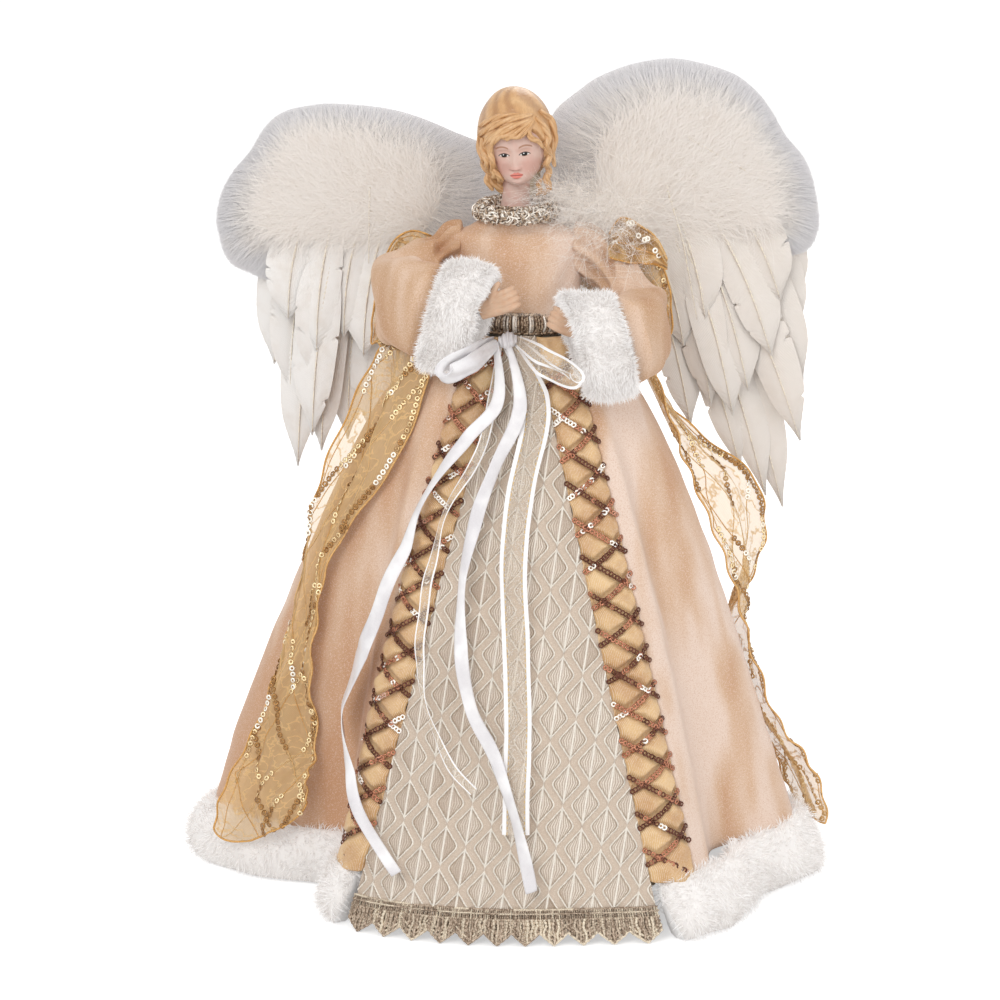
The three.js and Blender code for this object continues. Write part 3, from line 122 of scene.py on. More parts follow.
def along(rows, place):
    """The value at a place, from 0 to the last row, of a smooth run through rows of numbers."""
    rows = np.asarray(rows, float)
    place = np.clip(np.asarray(place, float), 0, len(rows) - 1)
    first = np.minimum(place.astype(int), len(rows) - 2)
    t = (place - first)[..., None]
    return smooth_run(*(rows[np.clip(first + k, 0, len(rows) - 1)] for k in (-1, 0, 1, 2)), t)


def ripples(points, size, seed, count=14):
    """Smooth noise from -1 to 1 about, with hills of the given size, at an array of places."""
    dice = np.random.default_rng(seed)
    ways = unit(dice.normal(size=(count, 3))) / size * dice.uniform(0.7, 1.4, (count, 1)) * math.pi
    phases = dice.uniform(0, 2 * math.pi, count)
    return np.sin(points @ ways.T + phases).sum(axis=-1) / math.sqrt(count)


# Mesh helpers

def add_object(name, mesh):
    piece = bpy.data.objects.new(name, mesh)
    bpy.context.scene.collection.objects.link(piece)
    return piece


def read_points(mesh):
    points = np.empty(len(mesh.vertices) * 3, np.float32)
    mesh.vertices.foreach_get("co", points)
    return points.reshape(-1, 3).astype(float)


def write_points(mesh, points):
    mesh.vertices.foreach_set("co", np.ascontiguousarray(points, np.float32).ravel())
    mesh.update()


def read_uv(mesh):
    layer = mesh.uv_layers["UVMap"]
    uv = np.empty(len(layer.uv) * 2, np.float32)
    layer.uv.foreach_get("vector", uv)
    return uv.reshape(-1, 2)


def write_uv(mesh, uv):
    mesh.uv_layers["UVMap"].uv.foreach_set("vector", np.ascontiguousarray(uv, np.float32).ravel())


def chart_points(mesh, chart):
    """A UV map that gives each vertex its own place on a chart."""
    corners = np.empty(len(mesh.loops), np.int32)
    mesh.loops.foreach_get("vertex_index", corners)
    write_uv(mesh, chart[corners])


def mesh_from(bm, name):
    """The mesh of a bmesh, which is then freed."""
    mesh = bpy.data.meshes.new(name)
    bm.to_mesh(mesh)
    bm.free()
    return mesh


def gathered(parts, name):
    """One mesh of several pieces, which are then taken away."""
    bm = bmesh.new()
    for part in parts:
        bm.from_mesh(part.data)
        bpy.data.objects.remove(part)
    return mesh_from(bm, name)


def plain_grid(columns, rows):
    """A flat grid from 0 to 1 both ways, with a UV map."""
    bm = bmesh.new()
    bm.loops.layers.uv.new("UVMap")
    bmesh.ops.create_grid(bm, x_segments=columns, y_segments=rows, size=0.5, calc_uvs=True)
    bmesh.ops.translate(bm, verts=bm.verts, vec=(0.5, 0.5, 0))
    return mesh_from(bm, "grid")


def close_seams(mesh, caps=False):
    """Merge the two edges of a wrapped grid, and close its ends."""
    bm = bmesh.new()
    bm.from_mesh(mesh)
    bmesh.ops.remove_doubles(bm, verts=bm.verts, dist=1e-6)
    if caps:
        bmesh.ops.holes_fill(bm, edges=[edge for edge in bm.edges if edge.is_boundary], sides=0)
    bmesh.ops.recalc_face_normals(bm, faces=bm.faces)
    bm.to_mesh(mesh)
    bm.free()


def cloth_mesh(name, columns, rows, place, size=(1, 1), wrap=False, caps=False):
    """A cloth of columns by rows faces: place(u, v) gives its points, size the real size of its UV map."""
    mesh = plain_grid(columns, rows)
    flat = read_points(mesh)
    write_points(mesh, place(flat[:, 0], flat[:, 1]))
    write_uv(mesh, read_uv(mesh) * np.float32(size))
    if wrap or caps:
        close_seams(mesh, caps)
    mesh.shade_smooth()
    mesh.name = name
    return add_object(name, mesh)


def note(piece, name, values):
    """Keep one number for each vertex, for the finish to read."""
    layer = piece.data.attributes.new(name, "FLOAT", "POINT")
    layer.data.foreach_set("value", np.ascontiguousarray(values, np.float32))


def copies(unit_mesh, count):
    """One mesh of many copies of a small one, each after the other."""
    bm = bmesh.new()
    for _ in range(min(64, count)):
        bm.from_mesh(unit_mesh)
    block = bpy.data.meshes.new("block")
    bm.to_mesh(block)
    for _ in range(count // 64 - 1):
        bm.from_mesh(block)
    for _ in range(count % 64 if count > 64 else 0):
        bm.from_mesh(unit_mesh)
    whole = bpy.data.meshes.new("copies")
    bm.to_mesh(whole)
    bm.free()
    bpy.data.meshes.remove(block)
    return whole


def mark_copies(mesh, count, shares):
    """Put a random share for each copy in u and the place along the copy in v of the UV map."""
    uv = read_uv(mesh).reshape(count, -1, 2)
    uv[:, :, 0] = np.asarray(shares)[:, None]
    write_uv(mesh, uv)


def blades(name, spines, widths, across, shares):
    """Flat tapered fibres: spines are count x stations x 3, widths and across match them."""
    count, stations = spines.shape[:2]
    blade = plain_grid(1, stations - 1)
    flat = read_points(blade)
    row = np.rint(flat[:, 1] * (stations - 1)).astype(int)
    side = flat[:, 0] - 0.5
    mesh = copies(blade, count)
    points = spines[:, row] + across[:, row] * (widths[:, row] * side)[..., None]
    write_points(mesh, points.reshape(-1, 3))
    mark_copies(mesh, count, shares)
    mesh.shade_smooth()
    mesh.name = name
    bpy.data.meshes.remove(blade)
    return add_object(name, mesh)


def tubes(name, spines, radii, sides=6, shares=None):
    """Round tapered yarns: spines are count x stations x 3, radii count x stations."""
    spines = np.asarray(spines, float)
    radii = np.asarray(radii, float)
    count, stations = spines.shape[:2]
    shell = plain_grid(sides, stations - 1)
    flat = read_points(shell)
    turn = 2 * math.pi * flat[:, 0]
    write_points(shell, np.stack([np.cos(turn), np.sin(turn), flat[:, 1] * (stations - 1)], axis=-1))
    close_seams(shell, caps=True)
    flat = read_points(shell)
    row = np.clip(np.rint(flat[:, 2]).astype(int), 0, stations - 1)
    tangents = unit(np.gradient(spines, axis=1))
    first = np.eye(3)[np.argmin(np.abs(tangents[:, 0]), axis=-1)]
    ways = np.empty_like(spines)
    for j in range(stations):
        first = unit(first - (first * tangents[:, j]).sum(-1, keepdims=True) * tangents[:, j])
        ways[:, j] = first
    second = np.cross(tangents, ways)
    round_part = ways[:, row] * flat[:, 0, None] + second[:, row] * flat[:, 1, None]
    points = spines[:, row] + round_part * radii[:, row][..., None]
    mesh = copies(shell, count)
    write_points(mesh, points.reshape(-1, 3))
    mark_copies(mesh, count, np.zeros(count) if shares is None else shares)
    mesh.shade_smooth()
    mesh.name = name
    bpy.data.meshes.remove(shell)
    return add_object(name, mesh)


def ring_unit(sides, inner, thick):
    """A flat sequin with a hole: a circle, inset and thickened."""
    bm = bmesh.new()
    bm.loops.layers.uv.new("UVMap")
    bmesh.ops.create_circle(bm, cap_ends=True, segments=sides, radius=1)
    bmesh.ops.inset_individual(bm, faces=bm.faces[:], thickness=1 - inner, use_even_offset=False)
    middle = [face for face in bm.faces if len(face.verts) == sides]
    bmesh.ops.delete(bm, geom=middle, context="FACES_ONLY")
    for vertex in bm.verts:
        vertex.co.z = thick * (1 - vertex.co.xy.length)
    bmesh.ops.solidify(bm, geom=bm.faces[:], thickness=thick)
    bmesh.ops.recalc_face_normals(bm, faces=bm.faces)
    return mesh_from(bm, "sequin")


def scatter(name, unit_mesh, centres, normals, radii, shares, tilt=0.25, seed=1):
    """Copies of a small mesh on a surface, each turned and tilted a little."""
    dice = np.random.default_rng(seed)
    count = len(centres)
    flat = read_points(unit_mesh)
    facing = unit(normals + dice.normal(scale=tilt, size=(count, 3)))
    right = unit(np.cross(facing, dice.normal(size=(count, 3))))
    up = np.cross(facing, right)
    frames = np.stack([right, up, facing], axis=-1) * np.asarray(radii)[:, None, None]
    points = centres[:, None] + np.einsum("nij,kj->nki", frames, flat)
    mesh = copies(unit_mesh, count)
    write_points(mesh, points.reshape(-1, 3))
    mark_copies(mesh, count, shares)
    mesh.shade_smooth()
    mesh.name = name
    return add_object(name, mesh)


def facing(place, u, v, step=0.002):
    """The unit normals of a placed surface, which looks outwards where u runs right and v up."""
    low_u, high_u = np.clip(u - step, 0, 1), np.clip(u + step, 0, 1)
    low_v, high_v = np.clip(v - step, 0, 1), np.clip(v + step, 0, 1)
    return unit(np.cross(place(high_u, v) - place(low_u, v), place(u, high_v) - place(u, low_v)))


def thicken(piece, thickness, offset=-1.0):
    """A live wall on a thin cloth."""
    wall = piece.modifiers.new("Wall", "SOLIDIFY")
    wall.thickness = thickness
    wall.offset = offset


def settle(piece, finish, slot, *nodes):
    """Give a piece its finish, hang it on the root and hide the CAD nodes it replaces; the slot is not used.
    """
    piece.data.materials.clear()
    piece.data.materials.append(finish)
    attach(piece, "root")
    if nodes:
        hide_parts(*nodes)
    return piece


def mesh_area(piece):
    areas = np.empty(len(piece.data.polygons), np.float32)
    piece.data.polygons.foreach_get("area", areas)
    return float(areas.sum())


# Shader helpers

class Value:
    """A socket of a finish: sums on it add the Math nodes that they need."""

    def __init__(self, finish, socket):
        self.finish, self.socket = finish, socket

    def math(self, operation, *values):
        return self.finish.node("Math", {"operation": operation}, dict(enumerate(values)))

    def __add__(self, other):
        return self.math("ADD", self, other)

    def __sub__(self, other):
        return self.math("SUBTRACT", self, other)

    def __rsub__(self, other):
        return self.math("SUBTRACT", other, self)

    def __mul__(self, other):
        return self.math("MULTIPLY", self, other)

    def __truediv__(self, other):
        return self.math("DIVIDE", self, other)

    def __pow__(self, other):
        return self.math("POWER", self, other)

    __radd__, __rmul__ = __add__, __mul__

    def least(self, other):
        return self.math("MINIMUM", self, other)

    def sine(self):
        return self.math("SINE", self)

    def size(self):
        return self.math("ABSOLUTE", self)

    def between(self, low, high):
        """0 below low, 1 above high and smooth between; the other way round where low is higher."""
        settings = {"interpolation_type": "SMOOTHSTEP"}
        inputs = {"Value": self, "From Min": low, "From Max": high}
        return self.finish.node("MapRange", settings, inputs)


class Finish:
    """A procedural material round one Principled shader."""

    def __init__(self, name, **constants):
        self.material = bpy.data.materials.new(name)
        self.material.use_nodes = True
        self.tree = self.material.node_tree
        self.tree.nodes.clear()
        self.shader = self.tree.nodes.new("ShaderNodeBsdfPrincipled")
        output = self.tree.nodes.new("ShaderNodeOutputMaterial")
        self.tree.links.new(self.shader.outputs[0], output.inputs["Surface"])
        for socket, value in constants.items():
            self.shader.inputs[socket.replace("_", " ")].default_value = value

    def node(self, kind, settings=None, inputs=None, output=0):
        """A node of a type, with its settings set first and then its sockets' values or links."""
        node = self.tree.nodes.new("ShaderNode" + kind)
        for name, value in (settings or {}).items():
            setattr(node, name, value)
        for name, value in (inputs or {}).items():
            if isinstance(value, Value):
                self.tree.links.new(value.socket, node.inputs[name])
            else:
                node.inputs[name].default_value = value
        return Value(self, node.outputs[output])

    def blend(self, share, first, second):
        return self.node("Mix", {"data_type": "RGBA"}, {0: share, 6: first, 7: second}, 2)

    def place(self, stretch=None):
        """Object coordinates in metres, stretched along the axes."""
        return self.stretched(self.node("TexCoord", output=3), stretch)

    def chart(self, stretch=None):
        """The piece's own UV map."""
        return self.stretched(self.node("UVMap", {"uv_map": "UVMap"}), stretch)

    def stretched(self, where, stretch):
        if stretch:
            where = self.node("VectorMath", {"operation": "MULTIPLY"}, {0: where, 1: stretch})
        return where

    def parts(self, where):
        """The x and y of a vector."""
        split = self.node("SeparateXYZ", {}, {0: where})
        return split, Value(self, split.socket.node.outputs[1])

    def own(self, name):
        """A number that the piece keeps at each vertex."""
        return self.node("Attribute", {"attribute_name": name}, output=2)

    def grain(self, where, scale, detail=2.0, kind="TexNoise"):
        inputs = {"Vector": where, "Scale": scale}
        if kind == "TexNoise":
            inputs["Detail"] = detail
        return self.node(kind, {}, inputs)

    def bumps(self, height, distance, strength=1.0):
        inputs = {"Height": height, "Distance": distance, "Strength": strength}
        return self.node("Bump", {}, inputs)

    def wear(self, **links):
        """Link what changes over the surface: colour, roughness, normal, metal, coat or alpha."""
        names = {"colour": "Base Color", "roughness": "Roughness", "normal": "Normal",
                 "metal": "Metallic", "coat": "Coat Weight", "alpha": "Alpha"}
        for name, value in links.items():
            self.tree.links.new(value.socket, self.shader.inputs[names[name]])
        return self.material


# Finishes

def velvet_finish(name, colour, deep, light):
    look = Finish(name, Roughness=0.75, Sheen_Weight=0.8, Sheen_Roughness=0.35, Sheen_Tint=light,
                  Specular_IOR_Level=0.2)
    where = look.place()
    wide = look.grain(look.place((1.0, 1.0, 0.22)), 34.0, 2.0)
    pile = look.grain(where, 3200.0, 2.0)
    tips = look.grain(where, 1900.0, 2.0)
    aside, _ = look.parts(where)
    # Painted light and shade: long vertical patches, and more light towards +x, take the pile from its painted
    # fold shade to its painted highlight.
    lit = wide + aside * 0.9
    tone = look.blend(lit.between(0.36, 0.54), deep, colour)
    tone = look.blend(lit.between(0.48, 0.64) * 0.7, tone, light)
    # Fine painted glints and dark specks of shade in the pile.
    tone = look.blend(tips.between(0.52, 0.66) * 0.45, tone, light)
    tone = look.blend(tips.between(0.48, 0.36) * 0.4, tone, deep)
    return look.wear(colour=tone, normal=look.bumps(pile * 0.6 + tips * 0.4, 0.0004, 0.6))


def satin_finish(name, colour, deep, light, roughness=0.34, thread=9000.0):
    look = Finish(name, Sheen_Weight=0.1, Specular_IOR_Level=0.5)
    across, _ = look.parts(look.chart())
    threads = (across * thread).sine() * 0.5 + 0.5
    cloud = look.grain(look.place(), 60.0, 3.0)
    fine = look.grain(look.place(), 1500.0, 2.0)
    # Painted shade: the deep colour in broad cloudy patches.
    tone = look.blend(cloud.between(0.35, 0.7), deep, colour)
    # Painted sheen: the light colour along the threads.
    tone = look.blend((threads * fine).between(0.2, 0.6) * 0.35, tone, light)
    return look.wear(colour=tone, roughness=cloud * 0.2 + (roughness - 0.08),
                     normal=look.bumps(threads * 0.4 + fine, 0.00012, 0.6))


def sequin_finish(dark, bronze, painted_glint):
    look = Finish("Sequins", Roughness=0.22, Specular_IOR_Level=0.6)
    share, _ = look.parts(look.chart())
    tone = look.blend(share.between(0.42, 0.55), dark, bronze)
    # Sequins with a share above 0.9 take the bright colour with less metal: painted glints.
    tone = look.blend(share.between(0.88, 0.92), tone, painted_glint)
    haze = look.grain(look.place(), 700.0, 2.0)
    metal = 0.75 - share.between(0.88, 0.92) * 0.35
    return look.wear(colour=tone, metal=metal, roughness=haze * 0.25 + 0.12)


def yarn_finish(name, colour, deep, light, metal=0.45, roughness=0.42, twist=5200.0):
    look = Finish(name, Specular_IOR_Level=0.5)
    share, _ = look.parts(look.chart())
    where = look.place()
    strands = (look.grain(where, 380.0, 1.0) * 26.0).sine() * 0.5 + 0.5
    fine = look.grain(where, twist / 2, 2.0)
    # Painted shade: the deep colour in stripes along the twist, in the hollows between the strands.
    tone = look.blend(strands, deep, colour)
    # Painted glints: the light colour on random strands and in fine specks.
    tone = look.blend((share * 0.7 + fine * 0.6).between(0.55, 0.95), tone, light)
    return look.wear(colour=tone, metal=fine * 0.3 + metal - 0.15, roughness=fine * 0.25 + roughness - 0.1,
                     normal=look.bumps(strands + fine * 0.5, 0.0002, 0.8))


def fur_finish(name, root, tip, roughness=0.75, glow=0.12):
    look = Finish(name, Roughness=roughness, Specular_IOR_Level=0.2, Emission_Strength=glow)
    share, height = look.parts(look.chart())
    # The root colour at the foot of each fibre, on a quarter of the fibres and in patches: for the fur and the
    # inner down it is painted shade between the fibres.
    tone = look.blend(height.between(0.0, 0.8), root, tip)
    tone = look.blend(share.between(0.7, 1.0) * 0.25, tone, root)
    patch = look.grain(look.place(), 90.0, 2.0)
    tone = look.blend(patch.between(0.55, 0.8) * 0.3, tone, root)
    # A painted glow: the fibres give off their own colour, which lifts the shade between them.
    look.tree.links.new(tone.socket, look.shader.inputs["Emission Color"])
    return look.wear(colour=tone)


def plain_finish(name, colour, shade, scale=120.0, bump=0.0002, **constants):
    """Card, foam, wire and other hidden stuff: mottled, with a fine tooth."""
    look = Finish(name, **constants)
    where = look.place()
    cloud = look.grain(where, scale, 4.0)
    tooth = look.grain(where, scale * 14, 2.0)
    tone = look.blend(cloud.between(0.35, 0.7), colour, shade)
    return look.wear(colour=tone, normal=look.bumps(cloud * 0.4 + tooth * 0.6, bump, 0.6))


# The skirt's shape

def oval_radius(phi, half_width, half_depth):
    return 1 / np.hypot(np.sin(phi) / half_width, np.cos(phi) / half_depth)


def skirt_radius(phi, z):
    """How far the coat stands from its axis, at an angle from the front and a height."""
    drop = np.clip((COAT_TOP - z) / COAT_TOP, 0, 1)
    waist = oval_radius(phi, WAIST_HALF_WIDTH, WAIST_HALF_DEPTH)
    hem = oval_radius(phi, HEM_HALF_WIDTH, np.where(np.cos(phi) > 0, HEM_FRONT_REACH, HEM_BACK_REACH))
    flare = mix(FRONT_FLARE, SIDE_FLARE, np.sin(phi) ** 2)
    turned = np.degrees(np.arctan2(np.sin(phi), np.cos(phi)))
    fold = sum(depth * bell((turned - at) / width) for at, width, depth in SKIRT_FOLDS)
    pleats = PLEAT_DEPTH * np.sin(PLEAT_COUNT * phi) * np.maximum(0, -np.cos(phi)) ** 0.5
    return waist + (hem - waist) * drop**flare + (fold + pleats) * drop**FOLD_GROWTH


def axis_x(z):
    return BODY_LEAN * np.clip(z, 0, COAT_TOP) / COAT_TOP


def on_skirt(phi, z, lift):
    radius = skirt_radius(phi, z) + lift
    return np.stack([axis_x(z) + radius * np.sin(phi), -radius * np.cos(phi), z + 0 * phi], axis=-1)


def skirt_angle(x, z):
    """The angle at which the front of the coat lies x beside its axis."""
    phi = np.zeros_like(x + z)
    for _ in range(12):
        phi = np.arcsin(np.clip(x / skirt_radius(phi, z), -0.99, 0.99))
    return phi


def beside(phi, z, distance):
    return phi + distance / skirt_radius(phi + distance / HEM_FRONT_REACH, z)


def panel_half(z):
    return mix(PANEL_HEM_HALF, PANEL_WAIST_HALF, np.clip(z / COAT_TOP, 0, 1))


def panel_edge(side, z):
    return skirt_angle(side * panel_half(z), z)


def band_edge(side, z):
    width = BAND_WIDTH * mix(1, 0.62, np.clip(z / COAT_TOP, 0, 1) ** 2)
    return beside(panel_edge(side, z), z, side * (width + CLEARANCE))


BAND_TOP, BAND_BOTTOM = COAT_TOP, FUR_HEIGHT + CLEARANCE


def on_band(side, across, z, lift):
    """A place on a band: across runs from 0 at its left to 1 at its right."""
    outer, inner = band_edge(side, z), panel_edge(side, z)
    phi = mix(outer, inner, across) if side < 0 else mix(inner, outer, across)
    return on_skirt(phi, z, BAND_CROWN * np.sin(math.pi * np.clip(across, 0, 1)) + lift)


def lattice_lines():
    """The cords of a band's lattice as pairs of plan points: across from 0 to 1, and height."""
    bottom, top = BAND_BOTTOM + 2 * LATTICE_CORD, COAT_TOP - 3 * LATTICE_CORD
    cell = (top - bottom) / (LATTICE_CELLS + 1)
    slope = (cell / 2) / (1 - 2 * NEAR_EDGE)
    lines, last = [], None
    for i in range(LATTICE_CELLS + 1):
        z = bottom + (i + 0.25) * cell
        left, right = (NEAR_EDGE, z), (1 - NEAR_EDGE, z + cell / 2)
        lines.append((left, right))
        if last:
            lines.append((last, left))
        for (x, height), edge in ((left, -LATTICE_MARGIN), (right, 1 + LATTICE_MARGIN)):
            reach = abs(edge - x) * slope
            lines.append(((x, height), (edge, height + reach)))
            lines.append(((x, height), (edge, height - reach)))
        last = right
    return lines


# The brocade's pattern

COLUMN, WAVE_PITCH, WAVE_REACH, GRAIN_LEAN = 0.0106, 0.0202, 0.0033, 0.114


def fraction(x):
    return x.math("FRACT", x) if isinstance(x, Value) else x - np.floor(x)


def size(x):
    return x.size() if isinstance(x, Value) else np.abs(x)


def cosine(x):
    return (x * (2 * math.pi) + math.pi / 2).sine() if isinstance(x, Value) else np.cos(x * 2 * math.pi)


def step_up(x, low, high):
    return x.between(low, high) if isinstance(x, Value) else rise(x, low, high)


def brocade_marks(across, down):
    """Cords, lines and leaf veins of the brocade at a place of the cloth, for points or a finish."""
    placed = (across + down * GRAIN_LEAN) / COLUMN
    column = placed + 0.5 - fraction(placed + 0.5)
    odd = fraction(column * 0.5) * 2
    swing = cosine(down / WAVE_PITCH)
    swing = swing * 0.72 + swing * swing * swing * 0.28
    off = size(placed - column) * COLUMN
    inward = (1 - odd * 2) * swing * WAVE_REACH + (COLUMN / 2 - off)
    depth = size(inward)
    inside = step_up(inward, -0.00002, 0.00002)
    side = off * inside + (COLUMN - off) * (1 - inside)
    own = odd * inside + (1 - odd) * (1 - inside)
    tip = WAVE_PITCH / 2 - size(fraction(down / WAVE_PITCH + own * 0.5 + 0.5) - 0.5) * WAVE_PITCH
    field = step_up(depth, 0.0022, 0.0027)
    cord = step_up(size(depth - 0.0023), 0.0005, 0.0002)
    line = step_up(size(depth - 0.0032), 0.0005, 0.0002)
    rib = step_up(side, 0.0007, 0.0002) * field
    vein = (cosine(side / (tip + 0.0009) * 8.5) * 0.5 + 0.5) * field
    return depth, field, cord, line, rib, vein


# Sizes and colours a user may change

def length(name, description, default):
    return bpy.props.FloatProperty(name=name, description=description, default=default, min=0.0,
                                   subtype="DISTANCE", unit="LENGTH", precision=5)


def count(name, description, default):
    return bpy.props.IntProperty(name=name, description=description, default=default, min=1)


def colour(name, description, *parts):
    return bpy.props.FloatVectorProperty(name=name, description=description, default=srgb(*parts),
                                         subtype="COLOR", size=4, min=0.0, max=1.0)


class AngelSkirt(bpy.types.PropertyGroup):
    velvet: colour("Velvet", "Pile of the coat, bodice and sleeves", 216, 183, 155)
    # The next two are painted light: the shade in the velvet's folds and the highlights on its pile.
    velvet_shade: colour("Velvet folds", "Pile seen from the side, in folds", 200, 156, 122)
    velvet_highlight: colour("Velvet glints", "Tips of the pile", 238, 219, 207)
    # The sleeves take a darker copy of the velvet: painted shade on the sleeves, with their own painted fold
    # shade and highlights.
    sleeve: colour("Sleeve velvet", "Pile of the sleeves, which is brushed the other way", 206, 170, 138)
    sleeve_shade: colour("Sleeve folds", "Pile of the sleeves in folds", 188, 144, 108)
    sleeve_highlight: colour("Sleeve glints", "Tips of the pile of the sleeves", 232, 208, 190)
    cream: colour("Brocade bands", "Waved bands of the brocade", 206, 188, 170)
    cord: colour("Brocade cord", "Raised outlines of the brocade", 255, 248, 236)
    shade: colour("Brocade leaves", "Leaves between the waved bands", 178, 157, 138)
    cord_shadow: colour("Brocade furrow", "Ground beside the cords, in their shadow", 150, 126, 98)
    satin: colour("Band satin", "Satin of the two bands", 220, 182, 128)
    satin_deep: colour("Band shade", "Satin where it turns away", 190, 143, 90)
    dark: colour("Dark sequins", "Brown sequins of the lattice", 96, 56, 42)
    bronze: colour("Bronze sequins", "Rose and bronze sequins", 176, 118, 92)
    glint: colour("Bright sequins", "Sequins that catch the light", 250, 244, 236)
    braid: colour("Braid", "Metallic yarn of the braids", 206, 182, 156)
    braid_deep: colour("Braid shade", "Yarn in the hollows", 96, 70, 50)
    braid_light: colour("Braid glints", "Tinsel in the yarn", 255, 248, 238)
    lace: colour("Lace", "Yarn of the lace", 198, 178, 158)
    lace_deep: colour("Lace shade", "Yarn of the lace in the hollows", 140, 120, 101)
    lace_light: colour("Lace glints", "Bright strands of the lace", 228, 214, 192)
    fur: colour("Fur", "Tips of the fur", 242, 240, 239)
    # Painted shade at the roots of the fibres.
    fur_root_shade: colour("Fur root", "Fur near its cloth", 228, 224, 221)
    sequin: length("Sequin", "Diameter of a sequin on the bands", 0.0028)
    sequin_pitch: length("Sequin pitch", "Distance between sequins on a cord", 0.0017)
    fur_length: length("Fur length", "Longest fibres of the hem", 0.0060)
    fur_count: count("Fur fibres", "Fibres on the hem", 28000)
    yarn: length("Lace yarn", "Diameter of the yarn of the lace", 0.0011)


class Piece:
    """What every operator here has in common."""
    bl_options = {"REGISTER", "UNDO"}


def flare(phi, z):
    """How far the gathers push the coat out at its left side."""
    off = np.mod(np.asarray(phi) + math.radians(100) + math.pi, 2 * math.pi) - math.pi
    return bell(off / math.radians(34)) * np.interp(
        z, [0.0, 0.02, 0.06, 0.2, 0.24, 0.264, 0.274], [0.003, 0.006, 0.0095, 0.0105, 0.0095, 0.004, 0.0])


def coat_place(u, v):
    z = mix(BAND_BOTTOM - 0.004, COAT_TOP, v)
    start = beside(band_edge(1, z), z, CLEARANCE / 2)
    end = beside(band_edge(-1, z), z, -CLEARANCE / 2) + 2 * math.pi
    phi = mix(start, end, u)
    drop = 1 - z / COAT_TOP
    edge = rise(np.minimum(u, 1 - u), 0.0, 0.04)
    places = on_skirt(phi, z, 0)
    folds = np.sin(phi * 17 + 3.0 * np.sin(phi * 3)) * np.exp(-((drop - 0.05) / 0.28) ** 2) * 0.0008
    broad = (np.sin(phi * 9 + 1.8 * np.sin(phi * 2 + 1) + drop * 1.5) - 1) * 0.0030 * rise(drop, 0.03, 0.4)
    soft = ripples(places * (1, 1, 0.35), 0.050, 3) * 0.0009 + ripples(places, 0.013, 4) * 0.0003
    near = np.minimum(phi - start, end - phi)
    roll = 0.0030 * bell((near - 0.11) / 0.07) - 0.0034 * bell((near - 0.30) / 0.10)
    roll = roll * rise(drop, 0.03, 0.35)
    return on_skirt(phi, z, flare(phi, z) * edge + (folds + broad + roll + soft * drop**0.5) * edge)


class ANGEL_OT_coat(Piece, bpy.types.Operator):
    """Velvet coat from the waist to the fur"""
    bl_idname, bl_label = "angel.coat", "Velvet coat"

    def execute(self, context):
        kit = context.scene.angel_skirt
        coat = cloth_mesh("velvet_coat", 240, 96, coat_place)
        finish = velvet_finish("Velvet", kit.velvet, kit.velvet_shade, kit.velvet_highlight)
        settle(coat, finish, "velvet", "velvet_skirt")
        mesh_area(coat)
        thicken(coat, CLOTH)
        return {"FINISHED"}


def panel_place(u, v):
    z = mix(PANEL_BOTTOM, COAT_TOP, v)
    return on_skirt(mix(panel_edge(-1, z), panel_edge(1, z), u), z, 0)


